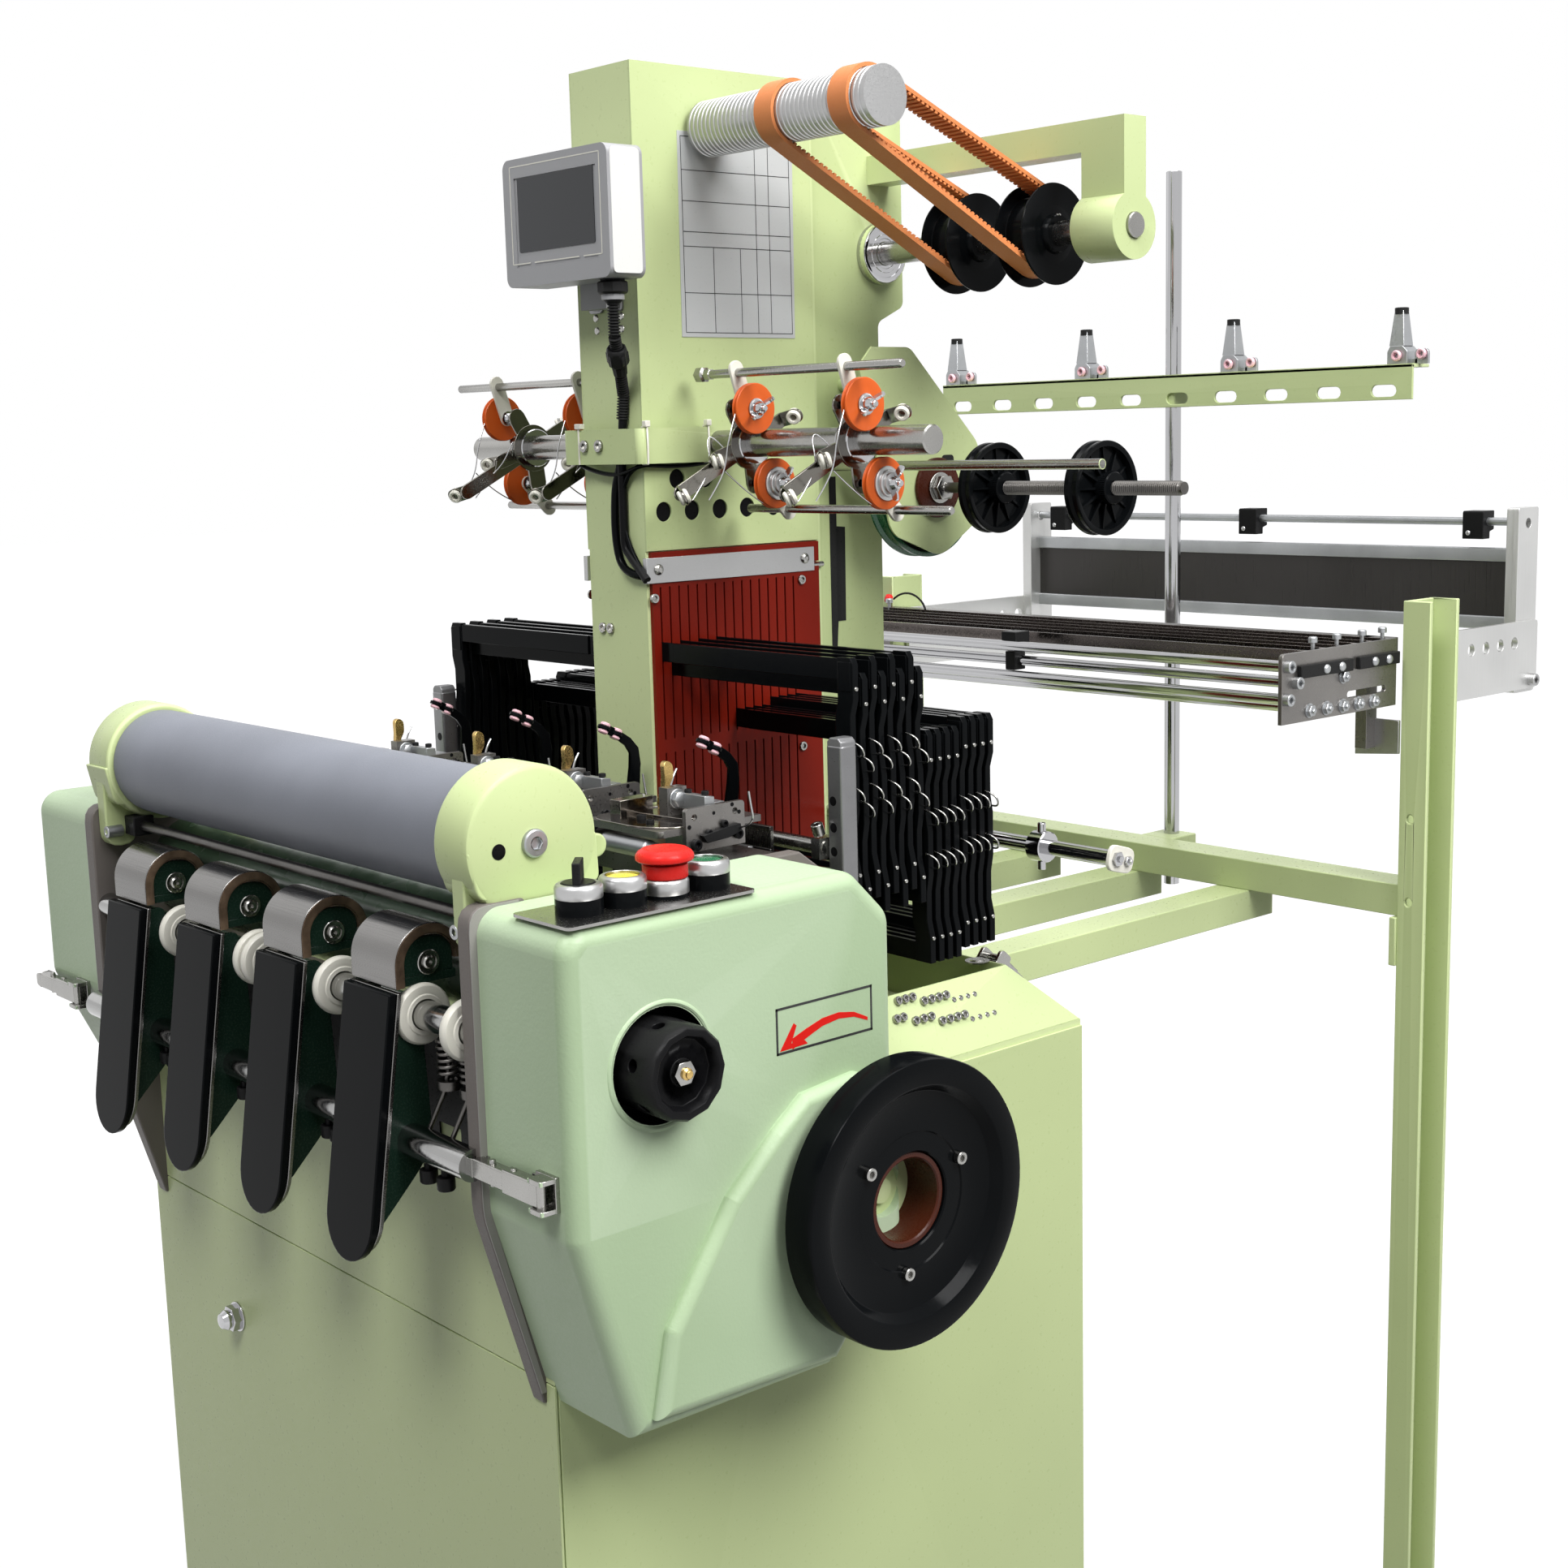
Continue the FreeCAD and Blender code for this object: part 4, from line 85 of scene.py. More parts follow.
def add(tree, kind, inputs=(), **settings):
    """A node with its settings; each input is a socket and a value or another's output."""
    made = tree.nodes.new("ShaderNode" + kind)
    for setting, value in settings.items():
        setattr(made, setting, value)
    for socket, value in inputs:
        if isinstance(value, bpy.types.NodeSocket):
            tree.links.new(value, made.inputs[socket])
        else:
            made.inputs[socket].default_value = value
    return made


def scaled(colour, factor):
    return tuple(min(1.0, part * factor) for part in colour[:3]) + (1.0,)


def noise(tree, scale, detail, stretch=(1, 1, 1)):
    place = add(tree, "TexCoord")
    mapping = add(tree, "Mapping", [("Scale", stretch), ("Vector", place.outputs["Object"])])
    return add(tree, "TexNoise", [("Scale", scale), ("Detail", detail),
                                  ("Vector", mapping.outputs["Vector"])]).outputs["Fac"]


def ramp(tree, source, low, low_colour, high, high_colour):
    """Turns a value into a colour, from one place on its scale to another."""
    node = add(tree, "ValToRGB", [("Fac", source)])
    first, last = node.color_ramp.elements
    first.position, first.color = low, low_colour
    last.position, last.color = high, high_colour
    return node.outputs["Color"]

# %% [markdown]
# ## One maker for every finish
# A finish starts from a colour that drifts slowly. A fine noise then sets its roughness and a
# little bump, and Pointiness lightens the edges: a painted highlight, with some wear. It is one
# function because the finishes differ only in numbers, and numbers side by side are easy to
# compare with the photograph.
# %% One maker for every finish
def surface(name, slot, colour, rough=0.5, metal=0.0, tone=0.06, tone_scale=5.0, swing=0.10,
            grain=0.0, grain_scale=600.0, stretch=(1, 1, 1), edge=None, coat=0.0, shine=0.5):
    """A Principled material; slot is a name that is kept with it in LOOK_SLOTS."""
    material = bpy.data.materials.new(name)
    material.use_nodes = True
    tree = material.node_tree
    shader = tree.nodes["Principled BSDF"].inputs
    shader["Metallic"].default_value = metal
    shader["Coat Weight"].default_value = coat
    shader["Coat Roughness"].default_value = COAT_ROUGHNESS
    shader["Specular IOR Level"].default_value = shine
    output = ramp(tree, noise(tree, tone_scale, 4.0), 0.3, scaled(colour, 1 - tone),
                  0.7, scaled(colour, 1 + tone))
    # The edge colour is laid on convex edges by Pointiness: a painted highlight, with some wear.
    if edge:
        edge_highlight_and_wear = ramp(tree, add(tree, "NewGeometry").outputs["Pointiness"], 0.51, BLACK, 0.60,
                    WHITE)
        output = add(tree, "Mix", [("Factor", edge_highlight_and_wear), ("A", output), ("B", scaled(edge, 1))],
                     data_type="RGBA").outputs["Result"]
    tree.links.new(output, shader["Base Color"])
    fine = noise(tree, grain_scale, 2.0, stretch)
    polish = ramp(tree, fine, 0.25, (max(0.02, rough - swing),) * 3 + (1,),
                  0.75, (min(1, rough + swing),) * 3 + (1,))
    tree.links.new(polish, shader["Roughness"])
    if grain:
        bump = add(tree, "Bump", [("Strength", 1.0), ("Distance", grain), ("Height", fine)])
        tree.links.new(bump.outputs["Normal"], shader["Normal"])
    MATERIALS[name], LOOK_SLOTS[name] = material, slot
    return material

# %% [markdown]
# ## Paint and metal
# The machine is sprayed light green, and its covers have a coarser hammered mint. Metals are
# dark here, because they mirror a white room: a real shop is darker than this studio.
# %% Paint and metal
# The edge colours are lighter copies of the paints: a painted highlight along the edges, with some
# wear.
surface("green_enamel", "green_paint", (0.46, 0.54, 0.265), 0.34, tone=0.04, grain=0.00003,
    grain_scale=260, edge=(0.56, 0.64, 0.34), shine=0.25)
surface("mint_hammertone", "green_paint", (0.36, 0.47, 0.29), 0.42, tone=0.05, grain=0.00016,
    grain_scale=420, edge=(0.45, 0.56, 0.38), shine=0.35)
surface("dark_green", "dark_green_paint", (0.010, 0.026, 0.017), 0.25, tone=0.15, grain=0.00002,
    shine=0.15)
surface("steel", "bright_steel", (0.34, 0.335, 0.32), 0.24, 1.0, tone=0.10, tone_scale=14,
    swing=0.05)
surface("satin_ring", "alloy", (0.46, 0.46, 0.46), 0.34, 0.95, tone=0.04, swing=0.04)
surface("brushed_x", "bright_steel", (0.19, 0.185, 0.18), 0.24, 1.0, tone=0.12, grain=0.00002,
    grain_scale=1200, stretch=(0.02, 1, 1))
surface("dark_steel", "dark_steel", (0.10, 0.095, 0.09), 0.36, 1.0, tone=0.2, tone_scale=20,
    grain=0.00002)
surface("chrome", "chrome_plate", (0.46, 0.46, 0.47), 0.10, 1.0, tone=0.04, swing=0.03,
    grain_scale=900)
surface("alloy", "alloy", (0.42, 0.42, 0.42), 0.36, 1.0, tone=0.06, grain=0.00001,
    grain_scale=900)
surface("sheet_zinc", "alloy", (0.38, 0.39, 0.40), 0.38, 0.9, tone=0.12, tone_scale=18)
surface("brass", "brass", (0.55, 0.38, 0.14), 0.28, 1.0, tone=0.12, tone_scale=30)
print(len(MATERIALS), "finishes so far")

# %% [markdown]
# ## Rubber, plastic and small finishes
# Blacks have a low specular level, so that they stay black beside white surroundings. Brushed
# grain comes from a noise that is stretched along one direction.
# %% Rubber, plastic and small finishes
surface("black_gloss", "black_enamel", (0.003, 0.0035, 0.004), 0.16, tone=0.2, swing=0.05,
    shine=0.045, grain=0.00001, grain_scale=300)
# Its edge colour is a lighter grey: a painted highlight along the edges, with some wear.
surface("black_satin", "black_plastic", (0.004, 0.004, 0.0045), 0.34, tone=0.2, grain=0.00002,
    edge=(0.02, 0.02, 0.02), shine=0.07)
surface("roller_rubber", "roller_rubber", (0.185, 0.195, 0.225), 0.50, tone=0.10, tone_scale=9,
    grain=0.00006, grain_scale=1500, shine=0.3)
surface("resin_red", "guide_resin", (0.17, 0.010, 0.004), 0.35, tone=0.12, grain=0.00002,
    grain_scale=900, shine=0.1)
surface("orange", "orange_plastic", (0.60, 0.10, 0.012), 0.40, tone=0.08, grain=0.00002,
    shine=0.3)
surface("orange_belt", "orange_rubber", (0.60, 0.20, 0.06), 0.55, tone=0.08, grain=0.00004)
surface("white_nylon", "white_plastic", (0.70, 0.68, 0.60), 0.35, tone=0.04, grain=0.00001)
surface("grey_case", "grey_plastic", (0.30, 0.30, 0.31), 0.45, tone=0.03, grain=0.00003,
    grain_scale=1500)
surface("plate_grey", "alloy", (0.45, 0.46, 0.46), 0.35, tone=0.03, shine=0.4)
surface("red_plastic", "red_plastic", (0.60, 0.018, 0.014), 0.32, tone=0.05, shine=0.15)
surface("yellow_plastic", "yellow_plastic", (0.70, 0.58, 0.05), 0.28, tone=0.05, coat=0.3)
surface("green_plastic", "green_plastic", (0.02, 0.16, 0.07), 0.28, tone=0.05, coat=0.3)
surface("brown_phenolic", "guide_resin", (0.050, 0.010, 0.004), 0.30, tone=0.25, shine=0.15)
surface("edge_trim", "dark_steel", (0.130, 0.115, 0.105), 0.50, tone=0.12, grain=0.00003,
    shine=0.3)
# A lighter copy of the trim colour, laid on as a painted highlight along the side frames' front
# edge.
surface("edge_painted_highlight", "alloy", (0.26, 0.25, 0.235), 0.40, tone=0.05)
surface("film_green", "dark_green_paint", (0.12, 0.20, 0.12), 0.24, tone=0.30, tone_scale=16,
    coat=0.15, grain=0.0008, grain_scale=30)
surface("ceramic", "white_plastic", (0.75, 0.45, 0.50), 0.2, tone=0.1, coat=0.3)
surface("reed_dark", "dark_steel", (0.045, 0.042, 0.040), 0.35, 0.7, tone=0.1, grain=0.0001,
    grain_scale=900, stretch=(1, 0.02, 0.02))
surface("plate_steel", "bright_steel", (0.21, 0.20, 0.19), 0.34, 0.9, tone=0.10, tone_scale=14,
    grain=0.00001)
surface("arrow_red", "red_plastic", (0.62, 0.014, 0.010), 0.45, tone=0.02, shine=0.1)
surface("label_ink", "black_plastic", (0.010, 0.010, 0.010), 0.40, tone=0.02)
print(len(MATERIALS), "finishes:", ", ".join(MATERIALS))

# %% [markdown]
# ## Finishes of the CAD nodes that stay in view
# Nineteen nodes of the frame show as they are and only get their finish. On seven of them a
# weld and a narrow bevel give each edge its highlight, which is cheaper than a new mesh for a
# plain sheet form.
# %% Finishes of the CAD nodes that stay in view
NODE_LOOKS = {
    "green_enamel": ("base_cabinet", "cabinet_panels", "cabinet_deck", "rod_strap", "column",
        "column_covers", "rear_casting"),
    "mint_hammertone": ("gear_cover_right", "gear_cover_left"),
    "steel": ("control_plate",),
    "dark_green": ("drive_motor",),
    "alloy": ("motor_pulley",),
    "roller_rubber": ("take_up_roller",),
    "film_green": ("cross_beam",),
    "orange_belt": ("feed_belts",),
    "grey_case": ("display_box",),
    "black_satin": ("display_cable",),
    "plate_steel": ("weaving_heads",),
    "reed_dark": ("back_reed",)}

for look, node_names in NODE_LOOKS.items():
    for node_name in node_names:
        for material_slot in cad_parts[node_name].material_slots:
            material_slot.material = MATERIALS[look]
    print(look, "on", ", ".join(node_names))


WELD_REACH, NODE_EDGE_ANGLE = 0.00002, radians(38)


def soften(piece, width):
    """Rounds the CAD edges by a modifier, so that each edge catches the light."""
    weld = piece.modifiers.new("weld", "WELD")
    weld.merge_threshold = WELD_REACH
    bevel = piece.modifiers.new("edge", "BEVEL")
    bevel.width = width
    bevel.segments = 2
    bevel.limit_method = "ANGLE"
    bevel.angle_limit = NODE_EDGE_ANGLE
    bevel.harden_normals = True
    bevel.use_clamp_overlap = True


EDGE_WIDTHS = {"cabinet_deck": 0.003, "cabinet_panels": 0.0006, "column_covers": 0.0007,
               "rod_strap": 0.0008, "rear_casting": 0.002, "display_box": 0.002,
               "weaving_heads": 0.0006}
for node_name, width in EDGE_WIDTHS.items():
    soften(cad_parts[node_name], width)
print(len(EDGE_WIDTHS), "nodes with softened edges")

# %% [markdown]
# ## Lamps and rays
# The photograph has a white background and soft shadows. Large area lamps are the plain way to
# such light; the white itself is not made by more light, but shown only to rays from the
# camera, a mirror or glass, so that the colours of the paint stay as they are written.
# %% Lamps and rays
def area_light(name, place, target, size, power):
    data = bpy.data.lights.new(name, "AREA")
    data.shape = "RECTANGLE"
    data.size, data.size_y = size
    data.energy = power
    light = bpy.data.objects.new(name, data)
    light.matrix_world = (Matrix.Translation(place)
                          @ (Vector(target) - Vector(place)).to_track_quat("-Z", "Y")
                          .to_matrix().to_4x4())
    bpy.context.collection.objects.link(light)


def seen_rays(tree):
    """One where a ray comes from the camera, a mirror or glass."""
    rays = add(tree, "LightPath").outputs
    first = add(tree, "Math", [(0, rays["Is Camera Ray"]), (1, rays["Is Glossy Ray"])],
                operation="MAXIMUM").outputs["Value"]
    return add(tree, "Math", [(0, first), (1, rays["Is Transmission Ray"])],
               operation="MAXIMUM").outputs["Value"]


def spread(tree, source, low, high, least, most, way="LINEAR"):
    """Maps a value from one range to another."""
    return add(tree, "MapRange", [("Value", source), ("From Min", low), ("From Max", high),
                                  ("To Min", least), ("To Max", most)],
               interpolation_type=way).outputs["Result"]

# %% [markdown]
# ## Floor
# A floor under a machine has to look white and still take its shadow. It is therefore a grey
# surface with a glow that only seen rays get, and the glow grows with the distance.
# %% Floor
def floor_material():
    """A pale floor that stays white to the eye and still takes the machine's shadow."""
    material = surface("pale_floor", "", (0.18, 0.18, 0.18), 0.9, tone=0.01, shine=0.0)
    tree = material.node_tree
    place = add(tree, "TexCoord").outputs["Object"]
    reach = add(tree, "VectorMath", [(0, place)], operation="LENGTH").outputs["Value"]
    grow = spread(tree, reach, 0.6, 2.6, 0.85, 1.0, "SMOOTHSTEP")
    seen = add(tree, "Math", [(0, grow), (1, seen_rays(tree))], operation="MULTIPLY")
    glow = add(tree, "Emission", [("Color", WHITE), ("Strength", seen.outputs["Value"])])
    both = add(tree, "AddShader", [(0, tree.nodes["Principled BSDF"].outputs["BSDF"]),
                                   (1, glow.outputs["Emission"])])
    tree.links.new(both.outputs["Shader"], tree.nodes["Material Output"].inputs["Surface"])
    return material

# %% [markdown]
# ## Stage
# Four lamps light the machine: a key from the right, a wide one above, one for the front and a
# weak one on the left. The world is brighter above than below, as in a room.
# %% Stage
FLOOR_REACH = 30


def set_stage():
    floor_data = bpy.data.meshes.new("floor")
    floor_data.from_pydata([(-FLOOR_REACH, -FLOOR_REACH, 0), (FLOOR_REACH, -FLOOR_REACH, 0),
                            (FLOOR_REACH, FLOOR_REACH, 0), (-FLOOR_REACH, FLOOR_REACH, 0)], [],
                           [(0, 1, 2, 3)])
    floor = bpy.data.objects.new("floor", floor_data)
    bpy.context.collection.objects.link(floor)
    floor_data.materials.append(floor_material())
    area_light("key", (2.9, 0.3, 3.6), (0, 0, 1.1), (2.0, 2.0), 180)
    area_light("top", (0.2, 0.4, 4.4), (0, 0, 1.0), (3.0, 3.0), 80)
    area_light("front", (0.9, -2.0, 3.7), (0, 0, 1.4), (1.4, 1.0), 66)
    area_light("left", (-4.0, -1.2, 3.0), (0, 0, 1.1), (2.0, 2.6), 6)
    world = bpy.data.worlds.new("studio")
    world.use_nodes = True
    bpy.context.scene.world = world
    tree = world.node_tree
    tree.nodes.clear()
    seen = add(tree, "Background", [("Color", WHITE), ("Strength", 1.0)])
    place = add(tree, "TexCoord").outputs["Generated"]
    up = add(tree, "SeparateXYZ", [("Vector", place)]).outputs["Z"]
    glow = add(tree, "Background", [("Color", (0.93, 0.96, 1.0, 1)),
                                    ("Strength", spread(tree, up, -0.1, 0.9, 0.05, 0.42))])
    mix = add(tree, "MixShader", [("Fac", seen_rays(tree)), (1, glow.outputs["Background"]),
                                  (2, seen.outputs["Background"])])
    add(tree, "OutputWorld", [("Surface", mix.outputs["Shader"])])
    bpy.context.scene.view_settings.view_transform = "Standard"


set_stage()
print(len(bpy.data.lights), "lamps")

# %% [markdown]
# ## Turned forms
# Almost every part of a machine is turned, cut from plate, bent from bar, or screwed on. A few
# helpers make these forms in a mesh, because a profile or an outline in millimetres reads like
# a drawing. The first one makes turned forms round an axis.
# %% Turned forms
SIDES = {"X": (Vector((0, 1, 0)), Vector((0, 0, 1)), Vector((1, 0, 0))),
         "Y": (Vector((1, 0, 0)), Vector((0, 0, 1)), Vector((0, 1, 0))),
         "Z": (Vector((1, 0, 0)), Vector((0, 1, 0)), Vector((0, 0, 1)))}


def axes(direction):
    """Two sideways directions and the way along, for an axis letter or any direction."""
    if isinstance(direction, str):
        return SIDES[direction]
    along = Vector(direction).normalized()
    across = along.cross(Vector((0, 0, 1)))
    if across.length < 0.1:
        across = Vector((1, 0, 0))
    across.normalize()
    return across, along.cross(across), along


def lathe(mesh, profile, place, direction="X", steps=32, start=0.0):
    """A turned form: each pair of the profile is a radius and a height along the axis."""
    across, up, along = axes(direction)
    rings = []
    for radius, height in profile:
        centre = Vector(place) + along * height
        count = steps if radius > 1e-6 else 1
        rings.append([mesh.verts.new((centre + (across * cos(angle) + up * sin(angle))
                                      * radius) * MM)
                      for angle in (start + 2 * pi * step / steps
                                    for step in range(count))])
    for first, second in zip(rings, rings[1:]):
        for step in range(steps):
            following = (step + 1) % steps
            corners = [first[step % len(first)], first[following % len(first)],
                second[following % len(second)], second[step % len(second)]]
            corners = list(dict.fromkeys(corners))
            if len(corners) > 2:
                mesh.faces.new(corners)


def rod(radius, low, high):
    """The profile of a plain bar."""
    return [(0, low), (radius, low), (radius, high), (0, high)]


def tube(inner, outer, low, high):
    """The profile of a ring or a pipe, closed on itself."""
    return [(inner, low), (outer, low), (outer, high), (inner, high), (inner, low)]

# %% [markdown]
# ## Plates, blocks and outlines
# A plate is an outline that is drawn out along an axis. Rounded corners and bars with round
# ends are made in the outline, so they need no modifier.
# %% Plates, blocks and outlines
def oblong(left, low, right, high):
    """An outline with four square corners."""
    return [(left, low), (right, low), (right, high), (left, high)]


def slab(mesh, outline, direction, low, high):
    """A plate: an outline on the plane across the direction, between two levels."""
    across, up, along = SIDES[direction]
    low, high = sorted((low, high))
    levels = [[mesh.verts.new((across * u + up * v + along * level) * MM) for u, v in outline]
              for level in (low, high)]
    mesh.faces.new(levels[0])
    mesh.faces.new(reversed(levels[1]))
    for step in range(len(outline)):
        following = (step + 1) % len(outline)
        mesh.faces.new([levels[0][step], levels[1][step], levels[1][following],
                        levels[0][following]])


def block(mesh, low, high):
    """A block between two corners; its edges are rounded when the piece is finished."""
    left, right = sorted((low[0], high[0]))
    slab(mesh, oblong(left, low[1], right, high[1]), "Z", low[2], high[2])


def rounded(corners, radius, steps=4):
    """An outline with its corners rounded; the radius may be one number or one a corner."""
    points = []
    count = len(corners)
    for index, corner in enumerate(corners):
        here = Vector(corner)
        size = radius[index] if isinstance(radius, (list, tuple)) else radius
        before = (Vector(corners[index - 1]) - here)
        after = (Vector(corners[(index + 1) % count]) - here)
        if size <= 0:
            points.append(tuple(here))
            continue
        first = here + before.normalized() * min(size, before.length / 2)
        last = here + after.normalized() * min(size, after.length / 2)
        for step in range(steps + 1):
            part = step / steps
            points.append(tuple(first * (1 - part) ** 2 + here * 2 * part * (1 - part)
                                + last * part ** 2))
    return points


def bar_outline(start, end, width, steps=6):
    """A flat bar with round ends between two places."""
    a, b = Vector(start), Vector(end)
    heading = atan2(b.y - a.y, b.x - a.x)
    half = width / 2
    return [(centre.x + half * cos(heading + turn),
             centre.y + half * sin(heading + turn))
            for centre, first in ((b, -pi / 2), (a, pi / 2))
            for turn in (first + pi * step / steps for step in range(steps + 1))]

# %% [markdown]
# ## Screws, nuts and washers
# Fasteners give a machine its scale. Each is one short lathe profile with few steps: six steps
# make a hexagon, and twenty make a round head.
# %% Screws, nuts and washers
def socket_screw(mesh, place, direction, radius=3.0, height=3.5):
    """A cap screw with its hexagon hole; place is the middle of its seat."""
    lathe(mesh, [(0, 0), (radius, 0), (radius, height - 0.5), (radius - 0.4, height),
        (radius * 0.56, height)], place, direction, 20)
    lathe(mesh, [(radius * 0.56, height), (radius * 0.5, height - 0.2), (radius * 0.5,
        height * 0.4), (0, height * 0.35)], place, direction, 6)


def hex_nut(mesh, place, direction, radius=6.0, height=5.0):
    lathe(mesh, [(0, 0), (radius, 0), (radius, height - 0.6), (radius * 0.88, height),
        (radius * 0.45, height), (radius * 0.45, height + 1.5), (radius * 0.35, height + 2.2),
        (0, height + 2.2)], place, direction, 6)


def round_screw(mesh, place, direction, radius=4.0, height=2.2):
    """A round-headed screw."""
    lathe(mesh, [(0, 0), (radius, 0), (radius * 0.96, height * 0.4), (radius * 0.75,
        height * 0.8), (radius * 0.35, height), (0, height)], place, direction, 20)


def washer(mesh, place, direction, inner, outer, thick=1.2):
    lathe(mesh, tube(inner, outer, 0, thick), place, direction, 28)

# %% [markdown]
# ## From a mesh to a piece
# A piece of the scene is a welded mesh with a finish, a body that it rides on and, where it
# stands for a node of the frame, that node's name. Wires are curves with a round section,
# because a bent wire is a line and a thickness. Each call prints what it made.
# %% From a mesh to a piece
BEVEL_ANGLE, SHARP_ANGLE = radians(40), radians(35)


def settle(name, data, look, body, stands_for):
    """Puts the piece into the scene with its finish, on its body, for the nodes it replaces."""
    data.materials.append(MATERIALS[look])
    piece = bpy.data.objects.new(name, data)
    bpy.context.collection.objects.link(piece)
    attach(piece, body)
    for node_name in stands_for:
        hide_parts(node_name)
    return piece


def finish(name, mesh, look, body="machine", bevel=0.0, stands_for=(), segments=2):
    """Makes the piece: welds the mesh, rounds its edges and gives it its look and its body."""
    bmesh.ops.remove_doubles(mesh, verts=mesh.verts, dist=1e-6)
    bmesh.ops.recalc_face_normals(mesh, faces=mesh.faces)
    data = bpy.data.meshes.new(name)
    mesh.to_mesh(data)
    mesh.free()
    piece = settle(name, data, look, body, stands_for)
    if bevel:
        edge = piece.modifiers.new("edge", "BEVEL")
        edge.width = bevel * MM
        edge.segments = segments
        edge.limit_method = "ANGLE"
        edge.angle_limit = BEVEL_ANGLE
    data.shade_smooth()
    data.set_sharp_from_angle(angle=SHARP_ANGLE)
    print(name, len(data.polygons), "faces")
    return piece


def turned(name, look, profile, place, direction, steps, body="machine", **rest):
    """A piece that is one turned form."""
    mesh = bmesh.new()
    lathe(mesh, profile, place, direction, steps)
    return finish(name, mesh, look, body, **rest)


def wires(name, paths, radius, look, body="machine", soft=True, stands_for=()):
    """Bent wires: one curve with a spline for each path of points in millimetres."""
    data = bpy.data.curves.new(name, "CURVE")
    data.dimensions = "3D"
    data.bevel_depth = radius * MM
    data.bevel_resolution = 3
    data.use_fill_caps = True
    data.resolution_u = 6
    for path in paths:
        spline = data.splines.new("NURBS" if soft else "POLY")
        spline.points.add(len(path) - 1)
        for point, place in zip(spline.points, path):
            point.co = (place[0] * MM, place[1] * MM, place[2] * MM, 1)
        if soft:
            spline.order_u = 3
            spline.use_endpoint_u = True
    piece = settle(name, data, look, body, stands_for)
    print(name, len(paths), "wires")
    return piece

# %% [markdown]
# ## Turned parts, eyes and plates with holes
# Some parts are easier to draw flat and then turn into their place. Holes are cut through
# their plate and have a wall, since a painted spot would look flat from the side.
# %% Turned parts, eyes and plates with holes
def add_part(mesh, part, matrix):
    """Adds a part that was drawn flat to a mesh, turned into its place."""
    bmesh.ops.transform(part, matrix=matrix, verts=part.verts)
    data = bpy.data.meshes.new("part")
    part.to_mesh(data)
    part.free()
    mesh.from_mesh(data)
    bpy.data.meshes.remove(data)


def ceramic_eye(mesh, place, direction, radius=6.0):
    lathe(mesh, [(radius * 0.45, -4), (radius * 0.85, -4), (radius, -3), (radius, -1.4),
        (radius * 0.8, -1), (radius * 0.8, 1), (radius, 1.4), (radius, 3), (radius * 0.8, 4.2),
        (radius * 0.55, 4), (radius * 0.45, 3), (radius * 0.45, -4)], place, direction, 28)


def holed_plate(mesh, outline, holes, direction, low, high):
    """A plate with real holes: each face is filled round them and each hole has a wall."""
    across, up, along = SIDES[direction]
    low, high = sorted((low, high))
    for level in (low, high):
        loops = [[mesh.verts.new((across * u + up * v + along * level) * MM) for u, v in loop]
                 for loop in [outline] + holes]
        edges = [mesh.edges.new((loop[step], loop[(step + 1) % len(loop)]))
                 for loop in loops for step in range(len(loop))]
        bmesh.ops.triangle_fill(mesh, use_beauty=True, edges=edges)
        if level == low:
            first = loops
    for start, end in zip(first, loops):
        for step in range(len(start)):
            following = (step + 1) % len(start)
            mesh.faces.new([start[step], end[step], end[following], start[following]])


def circle(u, v, radius, steps=20):
    return [(u + radius * cos(2 * pi * step / steps),
             v + radius * sin(2 * pi * step / steps)) for step in range(steps)]


def ribbon(points, widths):
    """An outline that follows a centre line on a plane, with a width at each point."""
    left, right = [], []
    for index, (u, v) in enumerate(points):
        before = Vector(points[max(0, index - 1)])
        after = Vector(points[min(len(points) - 1, index + 1)])
        sideways = (after - before).normalized().orthogonal()
        left.append((u + sideways.x * widths[index] / 2, v + sideways.y * widths[index] / 2))
        right.append((u - sideways.x * widths[index] / 2, v - sideways.y * widths[index] / 2))
    return left + right[::-1]

# %% [markdown]
# ## Handwheel
# The real wheel is a turned disc with a broad flat rim, a step down to a recessed web, and an
# open hub with a brown laminate bush in it. Turned forms are lathe profiles, so the chamfers
# of the step come straight from the profile and no boolean is needed.
# %% Handwheel
WHEEL = (0, -51, 834)


def handwheel():
    turned("handwheel_disc", "black_gloss", [(88, 404), (99, 404), (100, 405), (100, 428.6),
        (99.4, 429.6), (98.4, 430), (83, 430), (81.6, 429.4), (77, 422), (76, 421.4), (49, 421.4),
        (48, 420.4), (35, 420.4), (34, 419.4), (34, 405), (88, 405), (88, 404)], WHEEL, "X", 96,
        "handwheel_body", stands_for=("handwheel",))
    turned("handwheel_bush", "brown_phenolic", [(29, 386), (33.9, 386), (33.9, 417), (33, 418),
        (30, 418), (29, 417), (29, 386)], WHEEL, "X", 64, "handwheel_body")
    mesh = bmesh.new()
    lathe(mesh, [(0, 150), (15, 150), (15, 386.2), (29.1, 386.2), (29.1, 388), (9, 388.2),
        (9, 392), (0, 392)], WHEEL, "X", 48)
    lathe(mesh, [(15, 180), (31, 180), (28, 184), (28, 200), (31, 204), (15, 204)], WHEEL, "X",
        48)
    finish("handwheel_shaft", mesh, "green_enamel", "handwheel_body")
    mesh = bmesh.new()
    for angle in (23.5, 143, 263):
        turn = radians(angle)
        socket_screw(mesh, (421, -51 + 50 * cos(turn), 834 + 50 * sin(turn)), "X", 4.6,
            4.5)
    socket_screw(mesh, (388, -66, 843), "X", 5.5, 5)
    socket_screw(mesh, (388, -54, 852), "X", 5.5, 5)
    finish("handwheel_screws", mesh, "steel", "handwheel_body")


handwheel()

